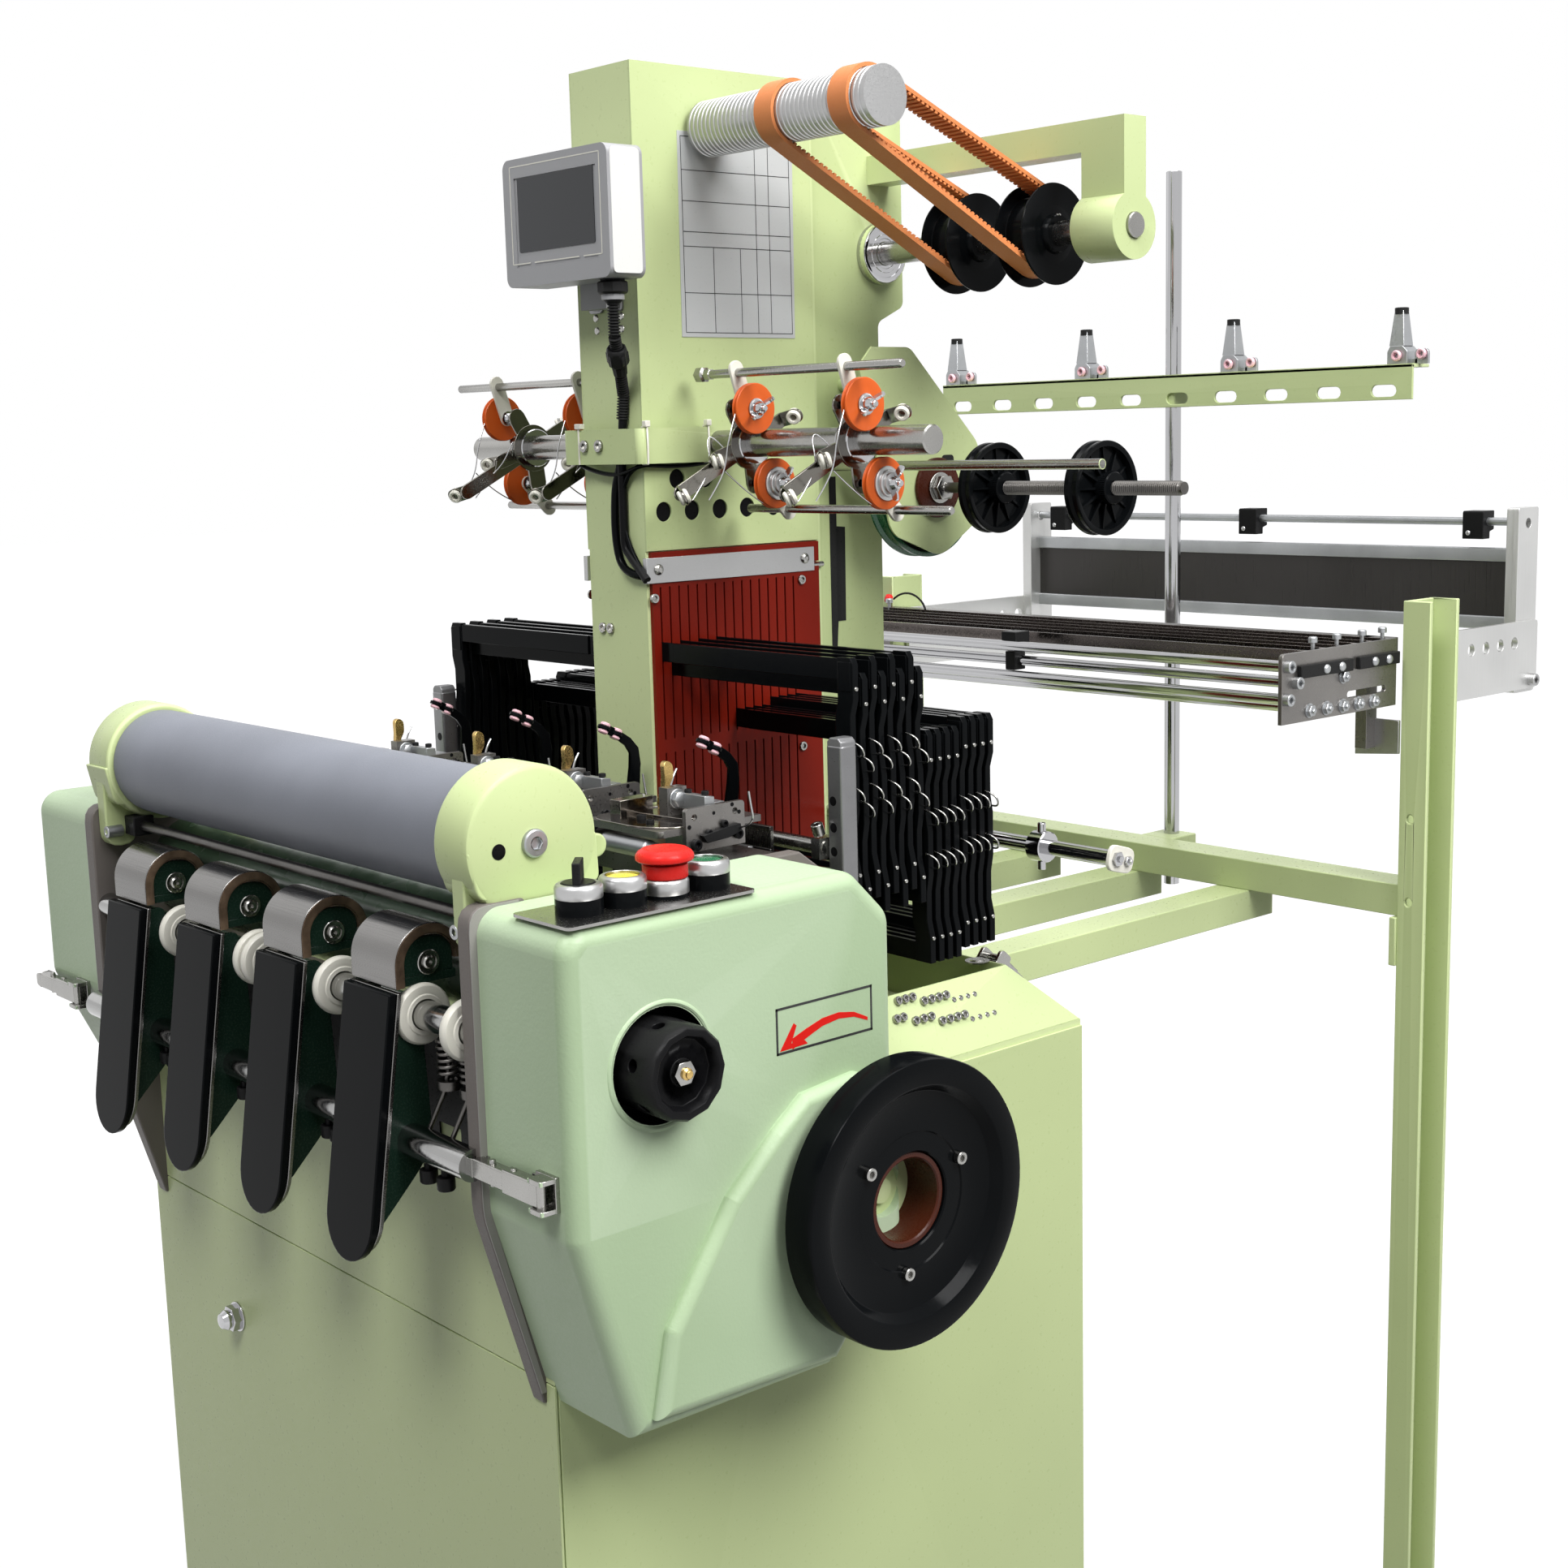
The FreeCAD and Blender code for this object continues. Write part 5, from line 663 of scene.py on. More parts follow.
# %% [markdown]
# ## Hand knob
# A twelve-sided knob with a blind hole in every second flat. Each flat is filled round its
# hole, so the hole has a real wall and floor.
# %% Hand knob
KNOB, HOLE_STEPS = (0, -232, 962), 16
KNOB_RADIUS, KNOB_SIDES, KNOB_BACK = 31, 12, 362


def flat_with_hole(mesh, corner, across, up, width, height, hole=None):
    """A flat face from one corner; hole gives its place on the face, radius and depth."""
    corner, across, up = Vector(corner), Vector(across).normalized(), Vector(up).normalized()
    inward = up.cross(across)

    def spot(u, v, deep=0.0):
        return mesh.verts.new((corner + across * u + up * v + inward * deep) * MM)

    outline = [spot(0, 0), spot(width, 0), spot(width, height), spot(0, height)]
    if not hole:
        mesh.faces.new(outline)
        return
    u, v, radius, depth = hole
    rings = [[spot(u + radius * cos(turn), v + radius * sin(turn), deep)
              for turn in (2 * pi * step / HOLE_STEPS for step in range(HOLE_STEPS))]
             for deep in (0, depth)]
    edges = [mesh.edges.new((loop[step], loop[(step + 1) % len(loop)]))
             for loop in (outline, rings[0]) for step in range(len(loop))]
    bmesh.ops.triangle_fill(mesh, use_beauty=True, edges=edges)
    for step in range(HOLE_STEPS):
        following = (step + 1) % HOLE_STEPS
        mesh.faces.new([rings[0][step], rings[0][following], rings[1][following],
                        rings[1][step]])
    mesh.faces.new(rings[1])

# %% [markdown]
# ## Hand knob, put together
# Twelve flats, a dished front, a nut and a brass nipple. The body of the knob is one mesh,
# because it is one casting on the real machine.
# %% Hand knob, put together
def hand_knob():
    mesh = bmesh.new()
    half = KNOB_RADIUS * cos(pi / KNOB_SIDES)
    width = 2 * KNOB_RADIUS * sin(pi / KNOB_SIDES)
    for side in range(KNOB_SIDES):
        turn = radians(15 + 30 * side)
        out = Vector((0, cos(turn), sin(turn)))
        along = Vector((0, -sin(turn), cos(turn)))
        corner = Vector(KNOB) + out * half - along * width / 2 + Vector((KNOB_BACK, 0, 0))
        hole = (width / 2, 31, 4.2, 9) if side % 2 else None
        flat_with_hole(mesh, corner, along, (1, 0, 0), width, 47, hole)
    lathe(mesh, [(31, 409), (29, 412), (25, 412), (24, 411), (22, 404.5), (9, 404)], KNOB, "X",
        12)
    lathe(mesh, [(31, 362), (0, 362)], KNOB, "X", 12)
    lathe(mesh, [(9, 404), (9, 405), (0, 405)], KNOB, "X", 24)
    lathe(mesh, [(10, 280), (10, 362)], KNOB, "X", 24)
    finish("hand_knob_body", mesh, "black_satin", "hand_knob_body", bevel=0.5,
        stands_for=("hand_knob",))
    mesh = bmesh.new()
    hex_nut(mesh, (405, -232, 962), "X", 8.5, 4.5)
    finish("hand_knob_nut", mesh, "steel", "hand_knob_body", bevel=0.3)
    turned("hand_knob_nipple", "brass", [(0, 409), (4, 409), (4, 411), (2.6, 412), (2.6, 413.4),
        (1.6, 414), (0, 414)], KNOB, "X", 20, "hand_knob_body")


hand_knob()

# %% [markdown]
# ## Right cover
# The moulded cover carries a blank label with a turning arrow. An image could draw it, but the
# marks are thin plates just proud of the moulding: they stay sharp at any distance.
# %% Right cover
FACE_X = 385.0


def label_mark(place, size):
    """The outline of a label's line: a ring of four thin strips."""
    mesh = bmesh.new()
    (y, z), (width, height) = place, size
    line = 1.7
    for corners in (((y, z), (y + width, z + line)),
                    ((y, z + height - line), (y + width, z + height)),
                    ((y, z), (y + line, z + height)),
                    ((y + width - line, z), (y + width, z + height))):
        (low_y, low_z), (high_y, high_z) = corners
        slab(mesh, oblong(low_y, low_z, high_y, high_z), "X", FACE_X - 0.2, FACE_X + 0.15)
    finish("label_frame", mesh, "label_ink")


def arrow_mark():
    """A tapering curved band with an open head."""
    middle = [(-54.5, 956), (-67, 961.5), (-81, 963.5), (-96, 962), (-110, 957.5), (-123, 952.5)]
    mesh = bmesh.new()
    upper, lower = [], []
    for step, (y, z) in enumerate(middle):
        half = 1.2 + 0.5 * step
        upper.append((y, z + half))
        lower.append((y, z - half))
    slab(mesh, lower[::-1] + upper, "X", FACE_X - 0.2, FACE_X + 0.2)
    slab(mesh, [(-134, 949.5), (-109.5, 950.2), (-112, 953), (-124, 953.2), (-119, 964.5),
        (-121.5, 966.5)], "X", FACE_X - 0.2, FACE_X + 0.22)
    finish("label_arrow", mesh, "arrow_red")

# %% [markdown]
# ## Lip and well of the knob
# The moulding rolls outwards round the knob and is dark inside. Two lathe profiles make both,
# and no cut in the cover is needed.
# %% Lip and well of the knob
def cover_details():
    turned("knob_lip", "mint_hammertone", [(38.4, 379), (38.4, 384.4), (39, 385.6), (40.2, 386.2),
        (41.5, 385.9), (42.6, 384.8), (42.8, 384)], KNOB, "X", 72)
    turned("knob_well", "black_satin", [(38.3, 384.6), (37.8, 384), (37.8, 352), (36, 350),
        (12, 350)], KNOB, "X", 48)
    label_mark((-136.9, 947.2), (86.9, 31.8))
    arrow_mark()


cover_details()

# %% [markdown]
# ## Switches
# Each bezel is a satin ring over a black collar, with the coloured cap let into it. Rings and
# collars stay with the plate, and each cap rides on its own body, so it can be pressed. The
# stop button is a hollow mushroom that closes over a fixed sleeve.
# %% Switches
PLATE_TOP = 1061.0
SWITCH_X = 353.0
SELECTOR_Y, YELLOW_Y, STOP_Y, GREEN_Y = SWITCH_Y = (-267, -233, -199, -165)


def switch_details():
    collars, rings = bmesh.new(), bmesh.new()
    for index, y in enumerate(SWITCH_Y):
        place = (SWITCH_X, y, PLATE_TOP)
        high = 10 if index != 2 else 2
        lathe(collars, [(15.2, 0), (15.2, high), (14.6, high + 0.3)], place, "Z", 48)
        top = 19 if index != 2 else 12
        lathe(rings, [(15.05, high), (15.3, high + 0.6), (15.3, top - 2.2), (14.4, top - 0.6),
            (13.2, top + 0.15), (11.4, top + 0.2), (11.1, top - 0.2)], place, "Z", 48)
    finish("switch_collars", collars, "black_gloss")
    finish("switch_rings", rings, "satin_ring")
    caps = (("yellow_button_body", "yellow_plastic", YELLOW_Y),
            ("green_button_body", "green_plastic", GREEN_Y))
    for body, look, y in caps:
        turned(body.replace("_body", "_cap"), look, [(0, 18.3), (6, 18.28), (9, 18.1),
            (10.4, 17.6), (10.9, 16.5), (10.9, 8), (3, 8), (3, -9), (0, -9)],
            (SWITCH_X, y, PLATE_TOP), "Z", 40, body, stands_for=(body.replace("_body", ""),))
    mesh = bmesh.new()
    lathe(mesh, [(0, -9), (3, -9), (3, 9), (10.7, 9), (10.7, 26.6), (15.2, 26.6), (15.5, 22.9),
        (17.8, 23), (18.8, 23.8), (19, 25.2), (18.8, 26.8), (17.4, 28.8), (14.6, 30.6),
        (13.4, 30.9), (12.6, 30.6), (11, 31), (6, 31.8), (0, 32)], (SWITCH_X, STOP_Y, PLATE_TOP),
        "Z", 56)
    turned("estop_sleeve", "red_plastic", [(11.4, 12.3), (14.5, 12.3), (14.8, 12.8), (14.8, 20.6),
        (14.2, 21.2), (11.4, 21.2), (11.4, 12.3)], (SWITCH_X, STOP_Y, PLATE_TOP), "Z", 56)
    finish("estop_mushroom", mesh, "red_plastic", "estop_button_body",
        stands_for=("estop_button",))
    mesh = bmesh.new()
    place = (SWITCH_X, SELECTOR_Y, PLATE_TOP)
    lathe(mesh, [(0, -9), (3, -9), (3, 3.2), (10.9, 3.2), (10.9, 19.2), (10.2, 19.8), (0, 20)],
        place, "Z", 40)
    along, across = Vector((-0.75, 0.66)), Vector((0.66, 0.75))
    corners = [along * u + across * v for u, v in ((-10.5, -2.8), (11.5, -2.8), (11.5, 2.8),
                                                   (-10.5, 2.8))]
    slab(mesh, rounded([(SWITCH_X + corner.x, SELECTOR_Y + corner.y) for corner in corners], 1.6),
         "Z", PLATE_TOP + 19.5, PLATE_TOP + 33)
    finish("selector_knob", mesh, "black_satin", "selector_switch_body", bevel=0.6,
        stands_for=("selector_switch",))


switch_details()

# %% [markdown]
# ## Fasteners on the deck's shoulder
# Rows of adjusting screws come out of the sloping side of the deck. They are set out on its
# plane, which drops half as fast as it goes out, so a table of heights and places is enough.
# %% Fasteners on the deck's shoulder
SLOPE_OUT = Vector((2, 0, 1)).normalized()
SCREW_ROWS = [(274.6, 920, (81, 88.5, 96), 3.4), (276.9, 915.3, (106.5, 114.5, 122.5, 130.3),
    3.4), (279.2, 910.7, (138.5, 146.2, 154, 161.8), 2.2), (280.3, 908.4, (73.5, 80.4), 3.4),
    (282.6, 903.8, (91.7, 100.1, 108.2), 3.4), (285.1, 898.8, (118, 126.4, 134.6, 142.4), 3.4),
    (287.3, 894.4, (150.5, 159, 167.2, 175.4), 2.2)]


def shoulder_screws():
    mesh = bmesh.new()
    for x, z, spots, radius in SCREW_ROWS:
        for y in spots:
            on_plane = 298 - (z - 873) / 2
            socket_screw(mesh, (on_plane - 0.2, y, z), SLOPE_OUT, radius, 3.6 if radius > 3 else 1)
    round_screw(mesh, (248, 197.8, 925), "Z", 7, 2.5)
    washer(mesh, (248, 197.8, 924.8), "Z", 4, 10, 1.2)
    for side in (-1, 1):
        for y in (70, 230):
            washer(mesh, (side * 160, y, 924.9), "Z", 4, 9, 1.0)
            socket_screw(mesh, (side * 160, y, 925.6), "Z", 6, 6)
    finish("shoulder_screws", mesh, "steel")


shoulder_screws()

# %% [markdown]
# ## Toggle latches
# Each latch is folded from bright sheet: a channel with pins, a catch and a small base. It is
# built flat along its own length and then turned to its place, because one flat drawing then
# serves all four.
# %% Toggle latches
TOGGLE_PLACES = {
    "toggle_1": ((370, -303, 892), (-1, 0, 0), (0, -1, 0), 88),
    "toggle_2": ((-320, -303, 892), (-1, 0, 0), (0, -1, 0), 88),
    "toggle_3": ((345, -28, 985), (0, 0, -1), (0, 1, 0), 60),
    "toggle_4": ((245, 210, 921.5), (0, 0.7557, -0.6549), (0, 0.6549, 0.7557), 60)}


def local_matrix(place, along, outward):
    along, outward = Vector(along).normalized(), Vector(outward).normalized()
    turn = Matrix((along, outward.cross(along), outward)).transposed().to_4x4()
    return Matrix.Translation(Vector(place) * MM) @ turn


def toggle(name, place, along, outward, length):
    turn = local_matrix(place, along, outward)
    lever = bmesh.new()
    section = [(-8, 3.5), (-8, 11), (-7, 12), (7, 12), (8, 11), (8, 3.5), (7.1, 3.5), (7.1, 10.6),
        (6.6, 11.1), (-6.6, 11.1), (-7.1, 10.6), (-7.1, 3.5)]
    slab(lever, section, "X", 8, length * 0.52)
    narrow = [(u * 0.8, v - 0.4) for u, v in section]
    slab(lever, narrow, "X", length * 0.52, length - 8)
    slab(lever, rounded([(length - 8, -6.4), (length, -5), (length, 5), (length - 8, 6.4)],
        [0, 3, 3, 0]), "Z", 10.7, 11.6)
    lathe(lever, rod(2.9, -9.5, 9.5), (7, 0, 9), "Y", 16)
    for u in (length * 0.45, length * 0.72):
        lathe(lever, [(0, -9), (1.8, -9), (2.2, -8.2), (2.2, 8.2), (1.8, 9), (0, 9)], (u, 0, 6.5),
            "Y", 14)
    bmesh.ops.transform(lever, matrix=turn, verts=lever.verts)
    finish(name + "_lever", lever, "steel", name + "_body", bevel=0.3, stands_for=(name,))
    seat = bmesh.new()
    block(seat, (-0.4, -11.5, -0.2), (20.6, 11.5, 3.3))
    for low in (-11.3, 8.1):
        slab(seat, rounded(oblong(-0.3, 0, 14.3, 14.4), [0, 0, 4, 4]), "Y", low, low + 3.2)
    block(seat, (14, -8, 0.2), (27, 8, 1.6))
    round_screw(seat, (23, 0, 1.5), "Z", 3, 1.6)
    bmesh.ops.transform(seat, matrix=turn, verts=seat.verts)
    finish(name + "_base", seat, "steel", bevel=0.3)
    hook = bmesh.new()
    block(hook, (length - 12, -6, -0.2), (length - 0.1, 6, 1.4))
    block(hook, (length - 4, -6, 1.4), (length - 2.6, 6, 7))
    bmesh.ops.transform(hook, matrix=turn, verts=hook.verts)
    finish(name + "_catch", hook, "steel", bevel=0.3)


for toggle_name, toggle_place in TOGGLE_PLACES.items():
    toggle(toggle_name, *toggle_place)

# %% [markdown]
# ## Presser fingers
# A finger is a glossy black pad on a steel strip, hung from a rolled steel saddle whose inner
# face has gone brown. The pad's outline is a long tongue with a round tip. It is drawn on the
# leaning face itself, which is simpler than turning a flat one.
# %% Presser fingers
STATION_X = [-187.5, -62.5, 62.5, 187.5]
FINGER_TOP, FINGER_TIP = 995.0, 811.0
SADDLE = (-291, 1010)


def leaning_y(z):
    """The y of the leaning front of the pads at a height."""
    return -324 - 28 * (FINGER_TOP - z) / (FINGER_TOP - FINGER_TIP)


def tongue(mesh, centre, width, top, tip, front, back):
    """A leaning strip with a round tip; front and back are set off the leaning plane."""
    radius = width / 2
    outline = [(-radius, top), (-radius, tip + radius)]
    outline += [(-radius * cos(pi * step / 16),
                 tip + radius - radius * sin(pi * step / 16)) for step in range(1, 16)]
    outline += [(radius, tip + radius), (radius, top)]
    levels = [[mesh.verts.new(((centre + u) * MM, (leaning_y(z) + off) * MM, z * MM))
               for u, z in outline] for off in (front, back)]
    mesh.faces.new(levels[0])
    mesh.faces.new(reversed(levels[1]))
    for step in range(len(outline)):
        following = (step + 1) % len(outline)
        mesh.faces.new([levels[0][step], levels[1][step], levels[1][following],
                        levels[0][following]])


def saddle(mesh, centre, outer, inner, half_width):
    """The rolled saddle: an arch from the front of the pad over the guide shaft."""
    y, z = SADDLE
    steps = 28
    rings = []
    for radius in (outer, inner):
        for x in (centre - half_width, centre + half_width):
            loop = [mesh.verts.new((x * MM, (y - radius) * MM, (FINGER_TOP + 1) * MM))]
            loop += [mesh.verts.new((x * MM, (y - radius * cos(turn)) * MM,
                                     (z + radius * sin(turn)) * MM))
                     for turn in (pi * step / steps for step in range(steps + 1))]
            rings.append(loop)
    outer_low, outer_high, inner_low, inner_high = rings
    for step in range(len(outer_low) - 1):
        following = step + 1
        for first, second in ((outer_low, outer_high), (inner_high, inner_low),
                              (outer_high, inner_high), (inner_low, outer_low)):
            mesh.faces.new([first[step], second[step], second[following], first[following]])
    for end in (0, -1):
        mesh.faces.new([outer_low[end], outer_high[end], inner_high[end], inner_low[end]])

# %% [markdown]
# ## One finger, put together
# Pad, strip, saddle and cheeks ride on the finger's own body, so that they swing together. The
# four fingers differ only in their place, and one loop makes them.
# %% One finger, put together
def finger(index, centre):
    body, node = "finger_%d_body" % index, "finger_%d" % index
    pad = bmesh.new()
    tongue(pad, centre - 1.5, 59, FINGER_TOP - 1.2, FINGER_TIP, 0, 6)
    finish(node + "_pad", pad, "black_gloss", body, bevel=0.9, stands_for=(node,), segments=3)
    strip = bmesh.new()
    tongue(strip, centre + 0.6, 56, FINGER_TOP - 1.2, FINGER_TIP + 4, 6.2, 9.4)
    saddle(strip, centre - 2, 27, 20.4, 28)
    lathe(strip, tube(11.05, 15, -20, 20), (centre, -311, 892), "X", 32)
    finish(node + "_saddle", strip, "brushed_x", body, bevel=0.5)
    lining = bmesh.new()
    saddle(lining, centre - 2, 20.3, 19.6, 28.2)
    saddle(lining, centre + 26.4, 26.2, 20.6, 0.35)
    saddle(lining, centre - 30.4, 26.2, 20.6, 0.35)
    finish(node + "_lining", lining, "rust_brown", body)
    cheeks, screws = bmesh.new(), bmesh.new()
    line = [(leaning_y(964) + 9.4, 964), (leaning_y(836) + 9.4, 836), (-307, 868), (-294, 884),
        (-298, 972), (-303, 992), (-318, 992)]
    for side in (-1, 1):
        x = centre + side * 20
        low, high = (x, x + 4) if side > 0 else (x - 4, x)
        slab(cheeks, rounded(line, [0, 6, 8, 6, 4, 4, 0]), "X", low, high)
        if side > 0:
            lathe(screws, [(8.5, 0), (8.5, 0.8), (8, 1.2), (6.2, 1.3), (6.2, 0.4), (4.6, 0.4),
                (4.6, 1.6), (3.6, 2.6), (1.6, 2.8), (1.6, 1), (0, 1)], (high, -291, 1010), "X",
                28)
    block(cheeks, (centre - 20, -312, 996), (centre + 24, -270, 1002))
    slab(cheeks, rounded([(-310, 1002), (-272, 1002), (-272, 1024), (-291, 1029), (-310, 1024)],
        [0, 0, 10, 12, 10]), "X", centre + 20, centre + 24)
    finish(node + "_cheeks", cheeks, "dark_green", body, bevel=0.5)
    finish(node + "_rivets", screws, "steel", body)


surface("rust_brown", "dark_steel", (0.20, 0.135, 0.09), 0.40, 0.8, tone=0.5, tone_scale=60,
    grain=0.00004)
for finger_number, finger_centre in enumerate(STATION_X, 1):
    finger(finger_number, finger_centre)

# %% [markdown]
# ## Shafts and rings at the front
# White nylon rings guide the cloth, black screws hold the pivot shaft, and two springs stand
# on thin rods. Rings and screws are lathe profiles; the springs are wires along a helix.
# %% Shafts and rings at the front
RING_X = (-138, -15, -3, 104, 212, 268)


def front_details():
    rings = bmesh.new()
    for x in RING_X:
        lathe(rings, [(10.6, -5), (13.5, -5), (14, -4.2), (17.8, -4.2), (19.4, -3.8),
            (20.7, -2.2), (21, 0), (20.7, 2.2), (19.4, 3.8), (17.8, 4.2), (14, 4.2), (13.5, 5),
            (10.6, 5), (10.6, -5)], (x, -298, 976), "X", 56)
    finish("guide_rings", rings, "white_nylon", bevel=0.3)
    screws = bmesh.new()
    for x in (-158, -147, -27, 0, 100, 112, 231, 252):
        lathe(screws, [(0, 0), (3, 0), (3, 6), (6, 6), (6.2, 7), (6.2, 14), (5.6, 15), (3, 15),
            (3, 11), (0, 11)], (x, -311, 882), (0, 0, -1), 20)
    finish("shaft_screws", screws, "black_satin")
    rods = [[(x, -305, 896), (x + 9, -302, 915), (x + 17, -297, 934), (x + 18, -294, 968)]
            for x in (222, 250)]
    wires("spring_rods", rods, 1.8, "dark_steel")
    coils = []
    for x in (239, 267):
        coils.append([(x + 7.5 * cos(turn), -296 + 7.5 * sin(turn),
                       938 + 26 * turn / (12 * pi))
                      for turn in (pi * step / 5 for step in range(61))])
    wires("tension_springs", coils, 1.3, "dark_steel")
    seats = bmesh.new()
    for x in (239, 267):
        lathe(seats, [(2, 0), (8.5, 0), (8.8, 1), (8.8, 5), (8.5, 6), (2, 6)], (x, -296, 930),
            "Z", 24)
    finish("spring_seats", seats, "dark_steel")


front_details()

# %% [markdown]
# ## The black guard behind the fingers
# A toothed black sheet hangs behind the pivot shaft, and the green panel shows between its
# teeth. The teeth are separate small plates at one pitch, so no cut is needed.
# %% The black guard behind the fingers
def toothed_guard():
    guard = bmesh.new()
    slab(guard, oblong(-262, 887, 262, 972), "Y", -269.4, -268)
    x = 262.0
    while x > -250:
        slab(guard, oblong(x - 14, 870, x, 887), "Y", -269.4, -268)
        x -= 41.5
    finish("toothed_guard", guard, "black_satin")
    panel = bmesh.new()
    slab(panel, oblong(-262, 868, 262, 889), "Y", -267.6, -266.2)
    finish("panel_upstand", panel, "green_enamel")


toothed_guard()

# %% [markdown]
# ## Bars at the front
# The guide shaft, the pivot shaft and the thin rod below the roller are plain turned bars. The
# finish is ground steel, with its grain running round the bar.
# %% Bars at the front
def front_bars():
    mesh = bmesh.new()
    for radius, y, z, half in ((10, -298, 976, 278), (11, -311, 892, 286)):
        lathe(mesh, rod(radius, -half, half), (0, y, z), "X", 40)
    finish("front_bars", mesh, "brushed_ring", stands_for=("front_shafts",))
    turned("thin_rod", "dark_steel", rod(4, -262.5, 262.5), (0, -277, 1044), "X", 24)
    mesh = bmesh.new()
    block(mesh, (-263, -286, 1036), (-245, -268, 1052))
    finish("thin_rod_clamp", mesh, "black_satin", bevel=1)


surface("brushed_ring", "bright_steel", (0.36, 0.36, 0.355), 0.16, 1.0, tone=0.08, grain=0.00001,
    grain_scale=1500, stretch=(1, 0.03, 0.03))
front_bars()

# %% [markdown]
# ## Cap nut of the front panel
# One chromed nut with a domed end holds the panel. It is small, but it is the only bright spot
# on the large green front, and the eye looks for it.
# %% Cap nut of the front panel
panel_nut = bmesh.new()
hex_nut(panel_nut, (-160, -266, 638), (0, -1, 0), 11, 9)
lathe(panel_nut, [(10, 0), (12.5, 0), (12.5, 1.6), (0, 1.6)], (-160, -266, 638), (0, -1, 0), 32)
lathe(panel_nut, [(8, 9), (8.4, 12), (6, 16), (0, 17.6)], (-160, -266, 638), (0, -1, 0), 32)
finish("panel_cap_nut", panel_nut, "chrome", bevel=0.3)

# %% [markdown]
# ## Side frames
# The side frames show a brown-grey edge with a light strip, which is a painted highlight, and
# carry two holed uprights. The frame is one rounded outline drawn out across its thickness, as
# the real casting is; the outline's narrow tail at the foot is a painted shadow line.
# %% Side frames
surface("upright_grey", "dark_steel", (0.20, 0.20, 0.205), 0.42, 0.6, tone=0.15, tone_scale=12,
    grain=0.00002)
# The outline's narrow tail from z 858 down to 716 is a painted shadow: a dark strip where only a
# thin shadow line lies between the cover's slanted side and the panel.
FRAME_WITH_SHADOW_TAIL = [(-308.5, 1061), (-308.5, 858), (-268, 716), (-262, 716), (-262, 873), (46, 873),
    (46, 1000), (-28, 1055), (-262, 1055), (-266, 1061)]
UPRIGHT_HOLES = [1114, 1099, 1075, 1056, 1042, 1024, 1009]


def side_plates():
    """The two side frames with their holed uprights; the edge stands proud of the cover, with a
    painted highlight strip on it.
    """
    plates, light, uprights = bmesh.new(), bmesh.new(), bmesh.new()
    line = rounded(FRAME_WITH_SHADOW_TAIL, [15, 10, 0, 0, 0, 0, 0, 0, 0, 2])
    # This strip is a painted highlight: a lighter copy of the frame colour along its front edge,
    # down the tail too.
    edge = rounded([(-308.2, 1060.6), (-308.2, 858), (-270, 724), (-266, 724), (-302, 858),
        (-302, 1054), (-270, 1054), (-270, 1060.6)], [15, 10, 0, 0, 8, 9, 0, 0])
    for side in (-1, 1):
        slab(plates, line, "X", side * 277, side * 290.4)
        slab(light, edge, "X", side * 290.4, side * 291.2)
        low, high = sorted((side * 262, side * 277))
        holes = [circle(side * 269.5, z, 3, 20) for z in UPRIGHT_HOLES]
        holed_plate(uprights, [(low, 873), (high, 873), (high, 1126), (high - 3, 1129),
            (low + 3, 1129), (low, 1126)], holes, "Y", 26, 41)
    finish("frame_plates", plates, "edge_trim", bevel=1.2, stands_for=("side_frames",))
    finish("frame_painted_highlight", light, "edge_painted_highlight")
    finish("frame_uprights", uprights, "upright_grey", bevel=0.8)


side_plates()

# %% [markdown]
# ## Caps of the roller
# Each cap is a drum with a flat foot and a lug. The left drum is a little smaller, as the
# photograph shows, so both come from one loop with a radius for each side.
# %% Caps of the roller
def roller_caps():
    """The drum, its flat foot and the lug; the left drum is a little smaller, as seen."""
    mesh = bmesh.new()
    foot = rounded([(-298, 1062), (-203, 1062), (-204.5, 1095), (-305, 1095)], [9, 6, 0, 0])
    lug = rounded([(-302, 1095), (-302, 1027), (-276, 1027), (-276, 1050), (-250, 1050),
        (-235, 1062), (-235, 1095)], [0, 12, 12, 5, 3, 0, 0])
    for side, radius in ((-1, 48), (1, 51)):
        out = (side, 0, 0)
        lathe(mesh, [(10.3, 0), (radius - 2, 0), (radius, 2), (radius, 35), (radius - 1.2, 38),
            (radius - 4, 39.8), (0, 40)], (side * 249, -255, 1095), out, 96)
        for outline, start, end in ((foot, 250, 288), (lug, 263, 277)):
            slab(mesh, outline, "X", side * start, side * end)
        lathe(mesh, rod(8, 0, 14), (side * 267, -199, 1084), out, 32)
    finish("roller_end_caps", mesh, "green_enamel", bevel=1.6, stands_for=("roller_caps",),
        segments=3)


roller_caps()


def cap_details():
    bolts, holes = bmesh.new(), bmesh.new()
    for side in (-1, 1):
        out = (side, 0, 0)
        lathe(bolts, [(9.4, -0.3), (9.6, 0.8), (9.2, 2.6), (8.2, 3.4), (4.6, 3.5)],
            (side * 289, -255, 1095), out, 40)
        lathe(bolts, [(4.6, 3.5), (4.2, 3), (4.2, 0.8), (0, 0.6)], (side * 289, -255, 1095), out,
            6)
        lathe(holes, [(5.2, 0.12), (4.8, 0.2), (0, 0.15)], (side * 289, -282, 1093), out, 28)
        socket_screw(bolts, (side * 263, -289, 1040), (0, -1, 0), 5, 13.4)
    finish("cap_bolts", bolts, "sheet_zinc", bevel=0.2)
    finish("cap_holes", holes, "black_satin")


cap_details()

# %% [markdown]
# ## Slotted guides
# The harness frames run in red resin plates with fine slots. The slots are real cuts, because
# light falls through them, and one outline a slot is enough.
# %% Slotted guides
FIRST_FRAME, FRAME_PITCH, FRAMES = 48, 9.6, 16


